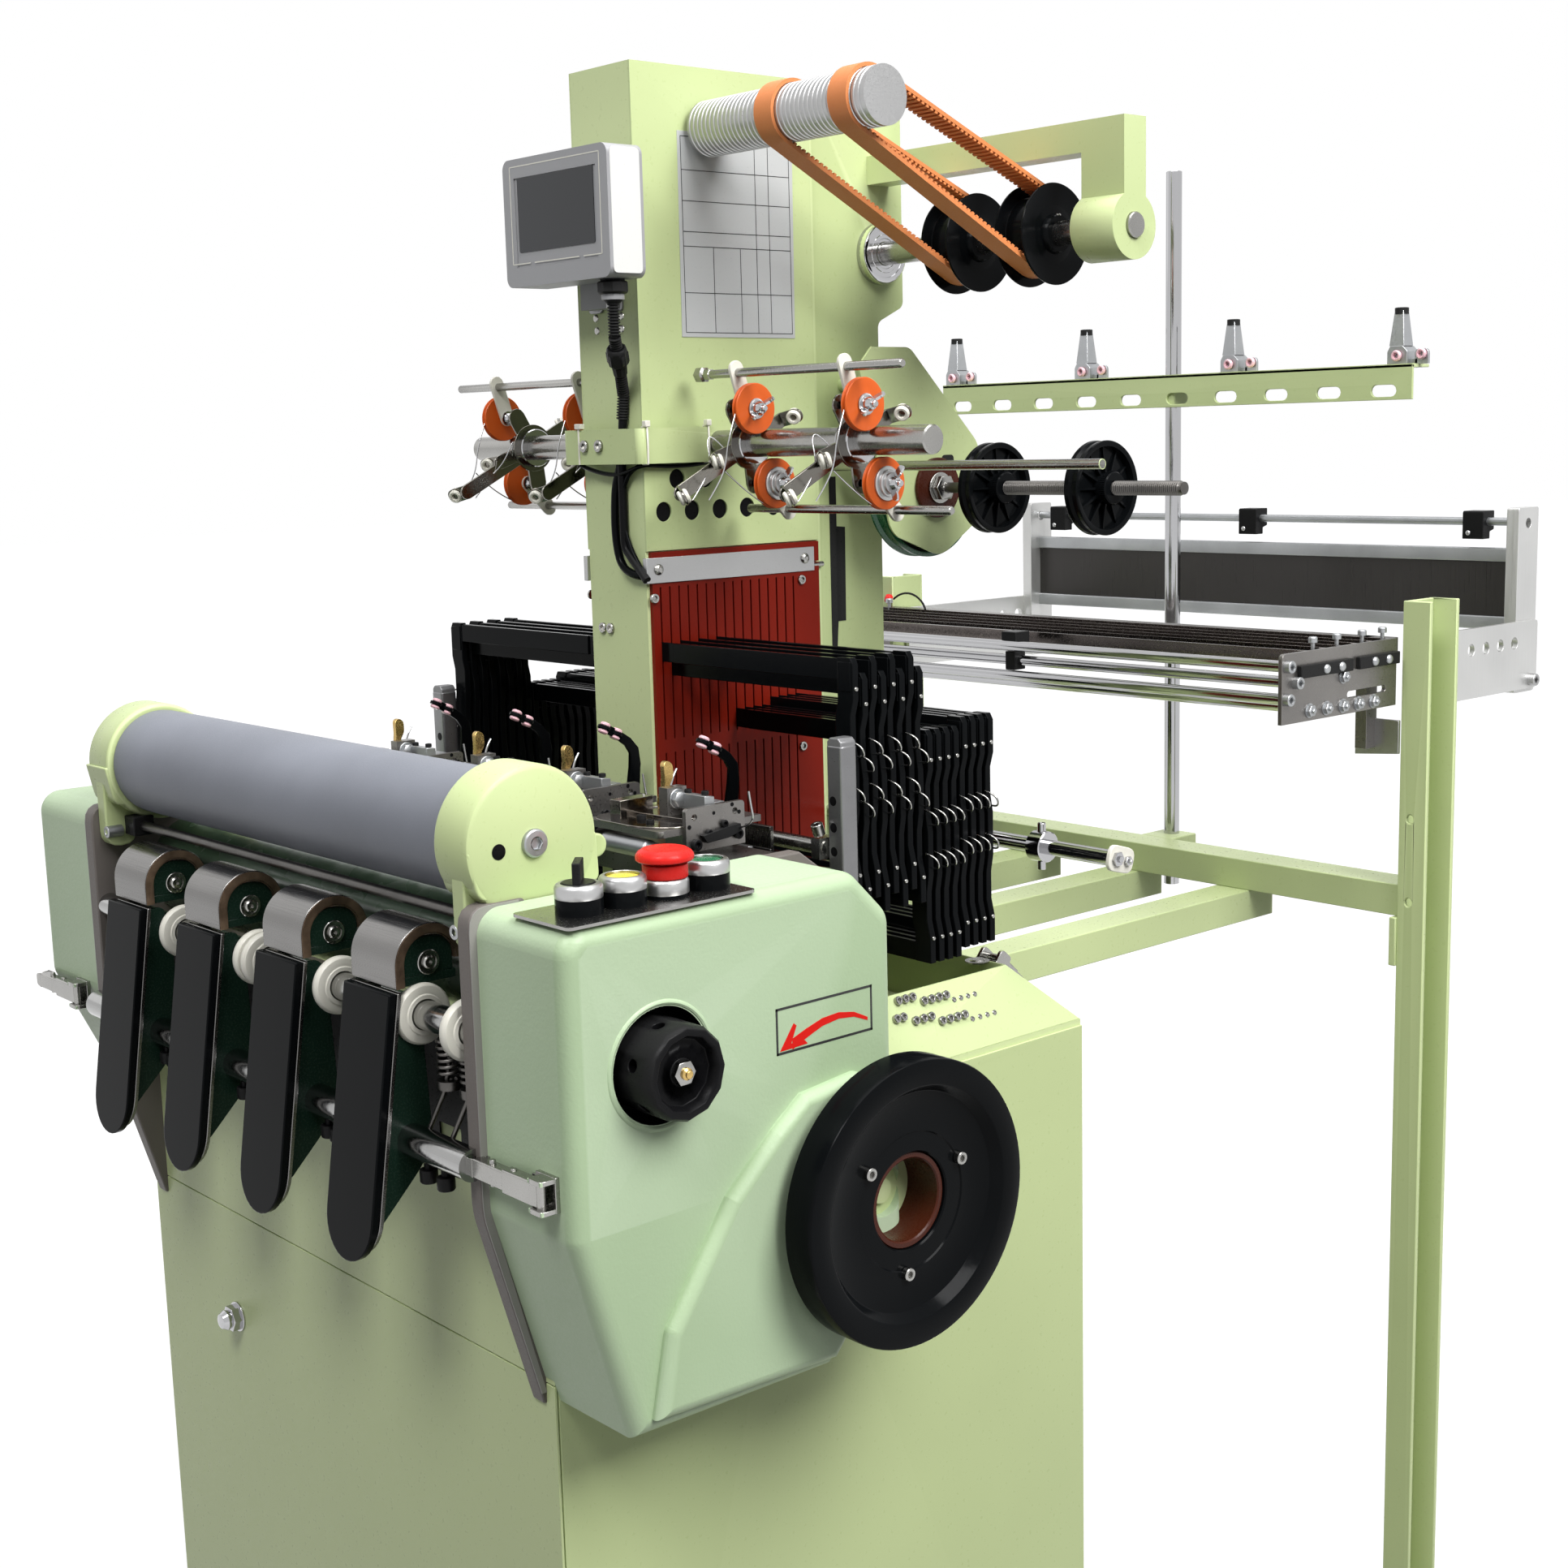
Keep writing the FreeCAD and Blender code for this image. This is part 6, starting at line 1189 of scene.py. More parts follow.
def frame_y(number_of):
    """The place of a harness frame along the machine."""
    return FIRST_FRAME + FRAME_PITCH * (number_of - 1)


def guide_slot(y, low, high, half=0.8):
    return [(y - half, low + half), (y, low), (y + half, low + half), (y + half, high - half),
            (y, high), (y - half, high - half)]


def guides():
    mesh = bmesh.new()
    slots = []
    for number_of in range(1, FRAMES + 1):
        y = frame_y(number_of)
        slots += [guide_slot(y, 920, 1094), guide_slot(y, 1104, 1230)]
    outline = [(40, 905), (203, 905), (203, 925.6), (222, 925.6), (222, 1240), (40, 1240)]
    for side in (-1, 1):
        holed_plate(mesh, outline, slots, "X", side * 38, side * 42)
        slab(mesh, oblong(40, 1241, 222, 1258), "X", side * 38, side * 42)
    finish("guide_plates", mesh, "resin_red", stands_for=("slotted_guides",))


guides()

# %% [markdown]
# ## Weaving heads
# Each head has a polished table, a side wall with screws, a brass latch on a bolt, and a
# curved black thread arm with a pair of pink eyes. The latch comes first: an outline, which is
# then bent sideways by moving its points along a sine.
# %% Weaving heads
ARM_LINE = [(-13, 1121), (-2, 1115), (9, 1107.5), (16, 1099.5), (20.5, 1086), (23, 1068),
    (25, 1050)]
ARM_WIDTHS = [7, 7, 7.5, 8.5, 10.5, 11, 8]
LATCH_OUTLINE = [(-70, 1113.5), (-66, 1115.8), (-61.7, 1113), (-62.3, 1104), (-66.2, 1096.5),
    (-61.5, 1092), (-61.5, 1086), (-65, 1079), (-70, 1078.4), (-72.4, 1085), (-70.4, 1098)]


def head_details(index, centre):
    latch = bmesh.new()
    slab(latch, rounded(LATCH_OUTLINE, 2.5, 3), "X", centre - 3.6, centre + 1)
    for vert in latch.verts:
        height = vert.co.z / MM - 1090
        vert.co.x += (2.6 * sin(height / 26 * pi)) * MM
    lathe(latch, rod(3.98, -3.8, 11), (centre, -66, 1090), "X", 24)
    finish("head_latch_lever_%d" % index, latch, "brass", "head_latch_%d_body" % index, bevel=1.0,
        stands_for=("head_latch_%d" % index,), segments=3)

# %% [markdown]
# ## Thread arms
# Each arm is a black strip that curves back over its head and carries two ceramic eyes. It is
# drawn as a ribbon along a centre line, then bent sideways by its height.
# %% Thread arms
def thread_arm(arms, eyes, centre):
    part = bmesh.new()
    slab(part, ribbon(ARM_LINE, ARM_WIDTHS), "X", -1.5, 1.5)
    for vert in part.verts:
        climb = min(1, max(0, (vert.co.z / MM - 1060) / 50))
        vert.co.x += (centre - 36 + 15 * climb * climb * (3 - 2 * climb)) * MM
    add_part(arms, part, Matrix.Identity(4))
    across = Vector((0, 0.479, 0.878))
    for y, z, shift in ((-13, 1121, -22), (-2, 1115, -21.4)):
        for low, high in ((-4.4, -1.4), (1.4, 4.4)):
            lathe(eyes, [(1.6, low), (3.4, low), (4.3, low + 0.8), (4.3, high - 0.8), (3.4, high),
                (1.6, high), (1.6, low)], (centre + shift, y, z), across, 24)
        lathe(arms, [(5.6, -1.3), (5.6, 1.3), (0, 1.3)], (centre + shift, y, z), across, 24)
        lathe(arms, [(5.6, -1.3), (0, -1.3)], (centre + shift, y, z), across, 24)
    lathe(arms, tube(6.05, 9.4, -7, 7), (centre - 36, 25, 1046), "X", 24)

# %% [markdown]
# ## Fittings of a head
# Screws, bosses and small plates sit on the side wall and on the table. They share a mesh by
# finish, so that four heads need only a few pieces.
# %% Fittings of a head
def head_fittings(black, bright, tables, centre):
    wall = centre + 46
    for y, z, radius in ((-78.4, 1060.2, 4.2), (-66, 1067, 3), (-51.4, 1072, 3),
                         (-38.8, 1063, 3.8)):
        socket_screw(black, (wall, y, z), "X", radius, radius)
    for y, z, radius in ((-83, 1073.5, 1.7), (-42.6, 1085, 1.6), (-36.2, 1078.7, 1.6),
                         (-60, 1081, 1.4)):
        lathe(black, [(0, 0.15), (radius, 0.15)], (wall, y, z), "X", 16)
    slab(black, [(-74, 1066.6), (-51, 1070), (-38.6, 1071), (-37.4, 1065.5), (-50, 1062),
        (-70, 1060.7)], "X", wall, wall + 4.5)
    lathe(bright, rod(7.4, 0, 1.2), (centre + 11.5, -66, 1088.5), "X", 28)
    lathe(bright, [(0, 1.2), (6.2, 1.2), (6.2, 4.8), (5.2, 5.4), (0, 5.4)],
        (centre + 11.5, -66, 1088.5), "X", 6)
    slab(bright, [(-64, 1081), (-55, 1081), (-55, 1092), (-64, 1093)], "X", centre + 11.5,
        centre + 41)
    block(bright, (centre + 3, -60, 1080), (centre + 34, -40, 1086))
    for x, y in ((centre + 17, -60), (centre + 33, -57)):
        socket_screw(black, (x, y, 1092.5), "Z", 2.8, 3)
    block(bright, (centre + 11, -17.8, 1029), (centre + 33, -13, 1048))
    block(bright, (centre + 33, -17.8, 1031), (centre + 62, -9, 1044))
    hex_nut(bright, (centre + 20, -17.8, 1039), (0, -1, 0), 7.5, 5)
    hex_nut(bright, (centre + 50, -17.8, 1038), (0, -1, 0), 5.5, 4)
    outline = rounded([(centre - 46.3, -108.3), (centre + 20, -108.3), (centre + 41.9, -92),
        (centre + 41.9, -30), (centre - 46.3, -30)], [24, 18, 10, 0, 0], 8)
    slab(tables, outline, "Z", 1073.05, 1074.2)
    slab(tables, rounded([(centre - 26, -80), (centre + 30, -74), (centre + 34, -44),
        (centre - 20, -40)], 8), "Z", 1074.2, 1076.4)
    block(tables, (centre - 30.4, -96.3, 1073), (centre - 17.8, -65.8, 1087.4))
    lathe(bright, [(0, 0), (6, 0), (7, 1), (7, 52), (5.8, 53), (5.8, 66), (4, 67), (0, 67)],
        (centre - 26, -104, 1058), "X", 28)
    socket_screw(black, (centre - 6, -86, 1073.8), "Z", 3.6, 3.6)
    socket_screw(black, (centre + 12, -92, 1073.8), "Z", 3.0, 3)

# %% [markdown]
# ## Four heads, put together
# The heads are alike, so one loop places them. Their fine needles are wires.
# %% Four heads, put together
def heads():
    arms, eyes, black, bright, tables = (bmesh.new() for _ in range(5))
    needles = []
    for index, centre in enumerate(STATION_X, 1):
        head_details(index, centre)
        thread_arm(arms, eyes, centre)
        head_fittings(black, bright, tables, centre)
        needles.append([(centre + 62, -40, 1096), (centre + 64, -40, 1086),
                        (centre + 67, -40, 1074.5), (centre + 55, -40, 1069),
                        (centre + 40, -40, 1064)])
        needles.append([(centre - 40, -74, 1075), (centre - 10, -70, 1080),
                        (centre + 4, -62, 1082), (centre + 30, -50, 1079)])
        needles.append([(centre - 20, -50, 1076), (centre - 19, -48, 1096),
                        (centre - 21, -40, 1104)])
    finish("thread_arm_bars", arms, "black_gloss", bevel=0.3, stands_for=("thread_arms",))
    finish("thread_arm_eyes", eyes, "ceramic")
    finish("head_black_fittings", black, "black_satin", bevel=0.3)
    finish("head_bright_fittings", bright, "sheet_zinc", bevel=0.4)
    finish("head_tables", tables, "polished_table", bevel=0.3)
    wires("head_needles", needles, 0.8, "chrome")
    shaft = bmesh.new()
    lathe(shaft, rod(6, -262, 262), (0, 25, 1046), "X", 32)
    for side in (-1, 1):
        block(shaft, (side * 252, 17, 1038), (side * 261, 33, 1054))
        socket_screw(shaft, (side * 256, 22, 1056), (0, -0.35, 1), 4.6, 9)
    finish("cross_shaft", shaft, "steel")


surface("polished_table", "bright_steel", (0.29, 0.265, 0.24), 0.14, 1.0, tone=0.30,
    tone_scale=40)
surface("cast_grey", "bright_steel", (0.21, 0.21, 0.215), 0.36, 0.85, tone=0.10, tone_scale=20,
    grain=0.00004, grain_scale=900)
heads()

# %% [markdown]
# ## Posts of the cross shaft
# Two grey posts with chamfered tops hold the cross shaft. The chamfer is a second, smaller
# ring of points, since a bevel would round all the other edges too.
# %% Posts of the cross shaft
def uprights():
    """The grey posts that carry the cross shaft; they sleeve the CAD ones."""
    mesh, holes = bmesh.new(), bmesh.new()
    for side in (-1, 1):
        low, high = sorted((side * 261.4, side * 277.6))
        outline = rounded(oblong(low, 25.4, high, 41.6), 2.5, 3)
        slab(mesh, outline, "Z", 1000, 1122)
        inner = rounded(oblong(low + 3, 29, high - 3, 38), 2, 3)
        rings = [[mesh.verts.new((u * MM, v * MM, z * MM)) for u, v in loop]
                 for loop, z in ((outline, 1122), (inner, 1127.4))]
        for step in range(len(outline)):
            following = (step + 1) % len(outline)
            mesh.faces.new([rings[0][step], rings[0][following], rings[1][following],
                            rings[1][step]])
        mesh.faces.new(rings[1])
        for z in (1082, 1062, 1044):
            lathe(holes, [(3.6, 0.1), (2.4, 0.2), (0, 0.12)], (side * 268, 25.4, z), (0, -1, 0),
                24)
    finish("uprights", mesh, "cast_grey")
    finish("upright_holes", holes, "black_satin")


uprights()

# %% [markdown]
# ## Sley with its reeds
# The sley swings on its shaft and carries a low reed at each head: two bands with the fine
# dents between them. The dents are real thin blocks, since a pattern would not let light by.
# %% Sley with its reeds
DENTS, DENT_PITCH = 45, 1.5


def sley():
    frame_mesh, dents = bmesh.new(), bmesh.new()
    lathe(frame_mesh, rod(7, -283, 283), (0, 6, 978), "X", 32)
    block(frame_mesh, (-236, 1, 1028), (236, 11, 1040))
    for centre in STATION_X:
        for x in (centre - 33, centre + 33):
            block(frame_mesh, (x - 6, 2, 978), (x + 6, 10, 1030))
        for low, high in ((1040, 1043), (1057, 1060)):
            block(frame_mesh, (centre - 33, 4, low), (centre + 33, 8, high))
        for step in range(DENTS):
            x = centre - 33 + DENT_PITCH * step
            block(dents, (x - 0.25, 4.6, 1043), (x + 0.25, 7.4, 1057))
    finish("sley_bar", frame_mesh, "dark_steel", "reed_sley_body", bevel=0.4,
        stands_for=("reed_sley",))
    finish("sley_reeds", dents, "steel", "reed_sley_body")


sley()

# %% [markdown]
# ## Harness frames
# Sixteen black frames. The end bar of each one weaves in and out, as the folded steel does,
# with a rail at the top and one at the foot. Its outline is a list of steps out and in, and
# mirrored for the other side.
# %% Harness frames
GROUPS = [(1, 3), (5, 7), (2, 4), (6, 8), (9, 10), (11, 12), (13, 14), (15, 16)]


def frame_rest(number_of):
    if number_of > 8:
        return 941 if number_of < 13 else 947
    return 1003 if number_of % 2 else 991


def harness_frame(black, number_of):
    y = frame_y(number_of)
    rest = frame_rest(number_of)
    for low, high in ((0, 15), (166, 182)):
        block(black, (-60, y - 0.7, rest + low), (60, y + 0.7, rest + high))
        for start, end in ((-264, -58), (58, 264)):
            block(black, (start, y - 2.2, rest + low), (end, y + 2.2, rest + high))
    block(black, (-15, y - 2.2, rest + 15), (15, y + 2.2, rest + 166))
    for side in (-1, 1):
        outer = [(side * (271 + shift), rest + height) for shift, height in
                 ((0, 0), (0, 20), (-3.5, 34), (-3.5, 56), (-1, 70), (-1, 104), (-3.5, 118),
                  (-3.5, 140), (0, 152), (0, 178), (-3, 183))]
        inner = [(side * (254 + shift), rest + height) for shift, height in
                 ((0, 183), (0, 150), (-3, 140), (-3, 118), (-1, 104), (-1, 70), (-3, 56),
                  (-3, 34), (0, 20), (0, 0))]
        slab(black, outer + inner, "Y", y - 2.9, y + 2.9)
        slab(black, oblong(side * 255, rest + 158, side * 269, rest + 180), "Y", y - 3.6, y + 3.6)

# %% [markdown]
# ## Hooks, screws and bodies of the frames
# Frames that lift together share a body. Each group is built as one mesh for its black parts,
# one for its screws and one curve for its hooks.
# %% Hooks, screws and bodies of the frames
def harness():
    for index, group in enumerate(GROUPS, 1):
        black, bright = bmesh.new(), bmesh.new()
        hooks = []
        for number_of in group:
            harness_frame(black, number_of)
            y, rest = frame_y(number_of), frame_rest(number_of)
            for side in (-1, 1):
                for height in (20, 160):
                    round_screw(bright, (side * 271, y, rest + height), (side, 0, 0), 1.8, 1.5)
                for height in (82, 116):
                    x = side * 271
                    hooks.append([(x - side * 4, y - 3, rest + height + 5),
                                  (x + side * 1.5, y - 2.2, rest + height + 4),
                                  (x + side * 6, y - 0.4, rest + height + 0.5),
                                  (x + side * 6.5, y + 1.2, rest + height - 4),
                                  (x + side * 3, y + 2.6, rest + height - 7.5),
                                  (x - side * 4, y + 2.8, rest + height - 7)])
        body = "harness_%d_body" % index
        finish("harness_frames_%d" % index, black, "black_gloss", body, bevel=0.5,
            stands_for=("harness_%d" % index,))
        finish("harness_screws_%d" % index, bright, "steel", body)
        wires("harness_hooks_%d" % index, hooks, 0.8, "steel", body)


harness()

# %% [markdown]
# ## Weft feeders
# Four stations sit on the main rod, two a side. Each is a bent steel spider with ceramic
# eyes, two orange discs, and nylon links to the thin rods. A station is drawn once and set
# out on both sides: `side` is -1 or 1, and x grows away from the column.
# %% Weft feeders
ROD_AXIS = (0, 107, 1343)
STATIONS = [(-1, 90), (-1, 215), (1, 90), (1, 215)]
surface("polished_dark", "dark_steel", (0.20, 0.19, 0.17), 0.16, 1.0, tone=0.15, tone_scale=25)


def folded_end(mesh, eyes, side, x, bend, heading, width):
    """The end of an arm, folded outwards, with a ceramic eye in it."""
    heading = Vector((0, heading[0], heading[1])).normalized()
    along = (Vector((side, 0, 0)) * 0.86 + heading * 0.5).normalized()
    across = Vector((1, 0, 0)).cross(heading).normalized()
    outward = along.cross(across)
    part = bmesh.new()
    outline = rounded(oblong(0, -width / 2, 19, width / 2), [0, 7, 7, 0], 6)
    slab(part, outline, "Z", -0.8, 0.8)
    place = Vector((side * x, bend[0], bend[1]))
    turn = Matrix((along, across, outward)).transposed().to_4x4()
    add_part(mesh, part, Matrix.Translation(place * MM) @ turn)
    ceramic_eye(eyes, place + along * 11.5, outward)

# %% [markdown]
# ## Wing nuts
# Wing nuts clamp the discs on their studs. The wings are flat parts that are turned round the
# axis of the nut, one on each side.
# %% Wing nuts
def wing_nut(mesh, place, direction, turn):
    lathe(mesh, [(0, 0), (6.5, 0), (6.8, 1.2), (5.6, 1.4), (5.4, 4), (4.2, 7), (2.6, 7.4),
        (2.6, 10), (2, 10.8), (0, 10.8)], place, direction, 24)
    across, up, along = axes(direction)
    for way in (0, pi):
        heading = across * cos(turn + way) + up * sin(turn + way)
        sideways = along.cross(heading)
        part = bmesh.new()
        slab(part, rounded([(2, 0), (5, 0), (14, 6), (13, 10.5), (8, 8.5), (3, 4.5)],
            [0, 0, 2.5, 3, 2, 0]), "Y", -1.1, 1.1)
        matrix = Matrix((heading, sideways, along)).transposed().to_4x4()
        add_part(mesh, part, Matrix.Translation(Vector(place) * MM) @ matrix)

# %% [markdown]
# ## One feeder station
# A collar on the main rod carries flat arms, two white links and two orange discs. The arms
# lie in layers of a few hundredths of a millimetre, so that their faces never coincide.
# %% One feeder station
def station(side, x, parts):
    steel, bright, eyes, links, discs, caps = parts
    out = (side, 0, 0)
    lathe(bright, [(11.05, -7), (16.2, -7), (17, -6.4), (17, 6.4), (16.2, 7), (11.05, 7)],
        (side * x, 107, 1343), out, 40)
    arms = [((107, 1343), (91, 1370), 17), ((107, 1343), (34, 1306), 13), ((107, 1343),
        (141, 1361), 12), ((107, 1343), (111, 1311), 17), ((107, 1343), (70, 1331), 12)]
    for index, (start, end, width) in enumerate(arms):
        low, high = side * (x - 1.0 - 0.06 * index), side * (x + 0.9 + 0.06 * index)
        slab(steel, bar_outline(start, end, width), "X", min(low, high), max(low, high))
    lathe(steel, tube(11.2, 21, -1.4, 1.4), (side * x, 107, 1343), out, 40)
    folded_end(steel, eyes, side, x, (34, 1306), (-0.87, -0.5), 13)
    folded_end(steel, eyes, side, x, (141, 1361), (0.88, 0.46), 12)
    folded_end(steel, eyes, side, x, (70, 1331), (-0.95, -0.3), 12)
    for rod_end, stud in (((82, 1398), (91, 1370)), ((131, 1290), (111, 1311))):
        reach = Vector(stud) - Vector(rod_end)
        far = Vector(rod_end) - reach.normalized() * 3
        low, high = side * (x + 14), side * (x + 17)
        slab(links, bar_outline(tuple(far), stud, 13.5, 10), "X", min(low, high), max(low, high))
        lathe(bright, [(0, -4.2), (3.2, -4.2), (4.6, -3), (4.9, -1.6), (6.6, -1.4), (6.6, 0),
            (0, 0)], (side * (x + 14), stud[0], stud[1]), out, 24)
        lathe(bright, [(2.9, 0), (2.9, 18)], (side * (x + 3), stud[0], stud[1]), out, 16)
        start = x + 21
        lathe(discs, [(0, 0), (19.4, 0), (20, 0.8), (19.6, 1.7), (17.6, 2.6), (17.6, 3.4),
            (19.6, 4.3), (20, 5.2), (19.4, 6), (15, 6.5), (6, 6), (0, 6)],
            (side * start, stud[0], stud[1]), out, 56)
    lathe(caps, [(0, 6), (13, 6), (13, 8), (12.4, 8.6), (10.5, 8.8), (10.2, 11), (9.6, 11.6),
        (8.4, 11.8), (8, 14), (4, 14.4), (0, 14.4)], (side * (x + 21), 111, 1311), out, 48)
    lathe(caps, [(0, 6), (7.5, 6), (8, 6.6), (8, 7.6), (5, 8)], (side * (x + 21), 91, 1370), out,
        32)
    wing_nut(bright, (side * (x + 28), 91, 1370), out, 0.65 if side > 0 else 2.2)
    wing_nut(bright, (side * (x + 33), 111, 1311), out, 1.3)

# %% [markdown]
# ## Four stations and their rods
# Stations stand in two pairs left and right of the column. The crossing rods run through all
# of them, and thin bent wires hang from the arms.
# %% Four stations and their rods
def feeders():
    parts = [bmesh.new() for _ in range(6)]
    for side, x in STATIONS:
        station(side, x, parts)
    steel, bright, eyes, links, discs, caps = parts
    finish("feeder_spiders", steel, "polished_dark", bevel=0.25, stands_for=("feeder_arms",))
    finish("feeder_fittings", bright, "chrome")
    finish("feeder_eyes", eyes, "white_nylon")
    finish("feeder_links", links, "white_nylon", bevel=0.4)
    finish("feeder_wheels", discs, "orange", stands_for=("feeder_discs",))
    finish("feeder_caps", caps, "alloy")
    turned("main_rod", "steel", [(0, -297), (9.8, -297), (11, -295.8), (11, 295.8), (9.8, 297),
        (0, 297)], ROD_AXIS, "X", 48, stands_for=("feeder_rods",))
    thin = bmesh.new()
    for side in (-1, 1):
        for y, z in ((82, 1398), (131, 1290)):
            lathe(thin, [(0, 60), (3.5, 60), (3.5, 290), (2.6, 291.6), (0, 292)], (0, y, z),
                (side, 0, 0), 20)
        lathe(thin, [(0, 58), (6, 58), (6.4, 60), (6.4, 66), (4.6, 67), (4.6, 74), (3.5, 75)],
            (0, 82, 1398), (side, 0, 0), 6)
    finish("thin_rods", thin, "steel")
    loops = []
    for side, x in STATIONS:
        at = side * (x + 24)
        loops.append([(at, 72, 1366), (at + 2, 62, 1345), (at + 1, 60, 1326), (at - 4, 56, 1312),
                      (at - 9, 50, 1300)])
        loops.append([(at - side * 24, 84, 1336), (at - side * 36, 78, 1350),
                      (at - side * 39, 74, 1347), (at - side * 30, 70, 1330),
                      (at - side * 22, 60, 1318), (at - side * 22, 44, 1300)])
        loops.append([(at, 60, 1322), (at + side * 3, 80, 1304), (at, 98, 1296)])
    wires("weft_wires", loops, 0.55, "chrome")


feeders()

# %% [markdown]
# ## Column details
# Dark vents, the alloy strip over the guides, the screws, the cable ties and the cables.
# %% Column details
def column_details():
    holes = bmesh.new()
    vents = [(56 + 29.5 * step, 1290) for step in range(5)]
    vents += [(56 + 29.5 * (step + 0.5), 1316) for step in (0, 1, 3)]
    for side in (-1, 1):
        for y, z in vents:
            lathe(holes, [(0, 0.15), (8.3, 0.15)], (side * 38, y, z), (side, 0, 0), 32)
        slit = [(243, 1312), (243, 1161), (249, 1161), (251, 1186), (260, 1186), (261, 1268),
            (251, 1269), (251, 1312)]
        slab(holes, slit, "X", side * 34.1 if side > 0 else -34.4, 34.4 if side > 0 else -34.1)
    finish("column_openings", holes, "black_satin")
    strip = bmesh.new()
    for side in (-1, 1):
        slab(strip, oblong(34, 1233, 216, 1253.6), "X", side * 37.9, side * 43)
    finish("guide_strip", strip, "alloy", bevel=0.3)
    screws = bmesh.new()
    for side in (-1, 1):
        out = (side, 0, 0)
        for y, z in ((46, 1244), (205, 1244)):
            round_screw(screws, (side * 43, y, z), out, 4.6, 2.6)
            lathe(screws, [(0, 2.7), (1.6, 2.7)], (side * 43, y, z), out, 6)
        for y, z in ((41, 1221), (201, 1226), (198, 998), (198, 1082), (42, 998)):
            socket_screw(screws, (side * 42, y, z), out, 4.0, 2.2)
        lathe(screws, rod(2.4, 0, 12), (side * 40, 216, 1238), (0, 1, 0), 14)
        socket_screw(screws, (side * 40, 353.5, 1368), out, 5.2, 3)
    for x in (-20.4, -0.7):
        socket_screw(screws, (x, 24, 1343.8), (0, -1, 0), 5.0, 2.6)
    for x in (-22.4, -11.9):
        socket_screw(screws, (x, 37, 1194.5), (0, -1, 0), 4.4, 2.4)
    for x, z in ((-16, 1446), (-15, 1436), (18, 1446), (18, 1436)):
        round_screw(screws, (x, 37, z), (0, -1, 0), 3.2, 1.6)
    finish("column_screws", screws, "steel")
    ties = []
    for y in (32, 95):
        ties.append([(52.6, y, 1329), (52.9, y, 1343), (52.6, y, 1357.6), (46, y, 1358),
                     (45, y, 1343), (46, y, 1328.6), (52.6, y, 1329)])
    ties.append([(-28, 23.4, 1357.6), (-28, 23.4, 1343), (-28, 23.4, 1329)])
    wires("cable_ties", ties, 0.9, "white_nylon", soft=False)
    knots = bmesh.new()
    for y in (32, 95):
        block(knots, (49, y - 2.5, 1358), (54, y + 2.5, 1363))
    block(knots, (-32, 22, 1357.6), (-24, 27, 1362))
    finish("tie_heads", knots, "white_nylon", bevel=0.6)


column_details()

# %% [markdown]
# ## Cables under the display
# The cables are held, so they follow clamps and corners in short smooth bends. The sleeve is a
# row of small rings along the route, which reads as corrugated hose.
# %% Cables under the display
def cables():
    wires("thick_cable", [[(16, 33, 1334), (14, 33, 1326), (6.8, 33, 1312), (4, 33, 1287),
        (5.7, 32.6, 1263), (12, 32.2, 1247), (27, 32, 1240), (37, 33, 1239.5)]], 3.4,
        "black_gloss")
    wires("thin_cables", [[(45, 33.4, 1330), (34, 33, 1326), (23.5, 33, 1319.8), (15, 33, 1305),
        (15, 33, 1283), (23, 33, 1261), (36, 33.5, 1246)], [(-44, 30, 1332), (-37, 30, 1328.5),
        (-13, 31, 1322.3), (12, 31, 1320), (30, 31, 1323.6), (46, 31.5, 1328.5), (44.5, 50, 1327),
        (44, 66, 1326.4), (44, 90, 1327), (44, 108, 1330)]], 1.8, "black_gloss")
    mesh = bmesh.new()
    route = [(49, 6, 1456), (49, 6, 1428), (36, 19.5, 1406), (22, 33, 1384), (19, 33, 1362)]
    heights = []
    for start, end in zip(route, route[1:]):
        steps = int((Vector(end) - Vector(start)).length / 2.2)
        heights += [Vector(start).lerp(Vector(end), step / steps) for step in range(steps)]
    for first, second in zip(heights, heights[1:]):
        lathe(mesh, [(3.4, 0), (5.0, 0.5), (5.0, 1.4), (3.4, 1.9)], first, second - first, 16)
    finish("corrugated_sleeve", mesh, "black_satin")
    mesh = bmesh.new()
    down = Vector((-0.45, 0.46, -0.77))
    lathe(mesh, [(3, 0), (7, 0), (8, 1), (8.4, 3), (8.4, 15), (7.4, 16), (6.4, 17), (5.6, 26),
        (3, 27)], (44, 11, 1420), down, 10)
    lathe(mesh, [(8.8, 4), (9.2, 4.6), (9.2, 13.4), (8.8, 14), (8, 14)], (44, 11, 1420), down, 6)
    finish("cable_coupling", mesh, "black_satin", bevel=0.3)


cables()

# %% [markdown]
# ## Belt guard and pulley shaft
# Two black spoked pulleys with knurled hubs turn on a threaded shaft; a brown phenolic disc
# and a hexagon nut close it by the guard, and a green pulley shows behind the guard.
# %% Belt guard and pulley shaft
PULLEY_AXIS = (0, 318, 1300)
SPOKES, KNURLS = 12, 48


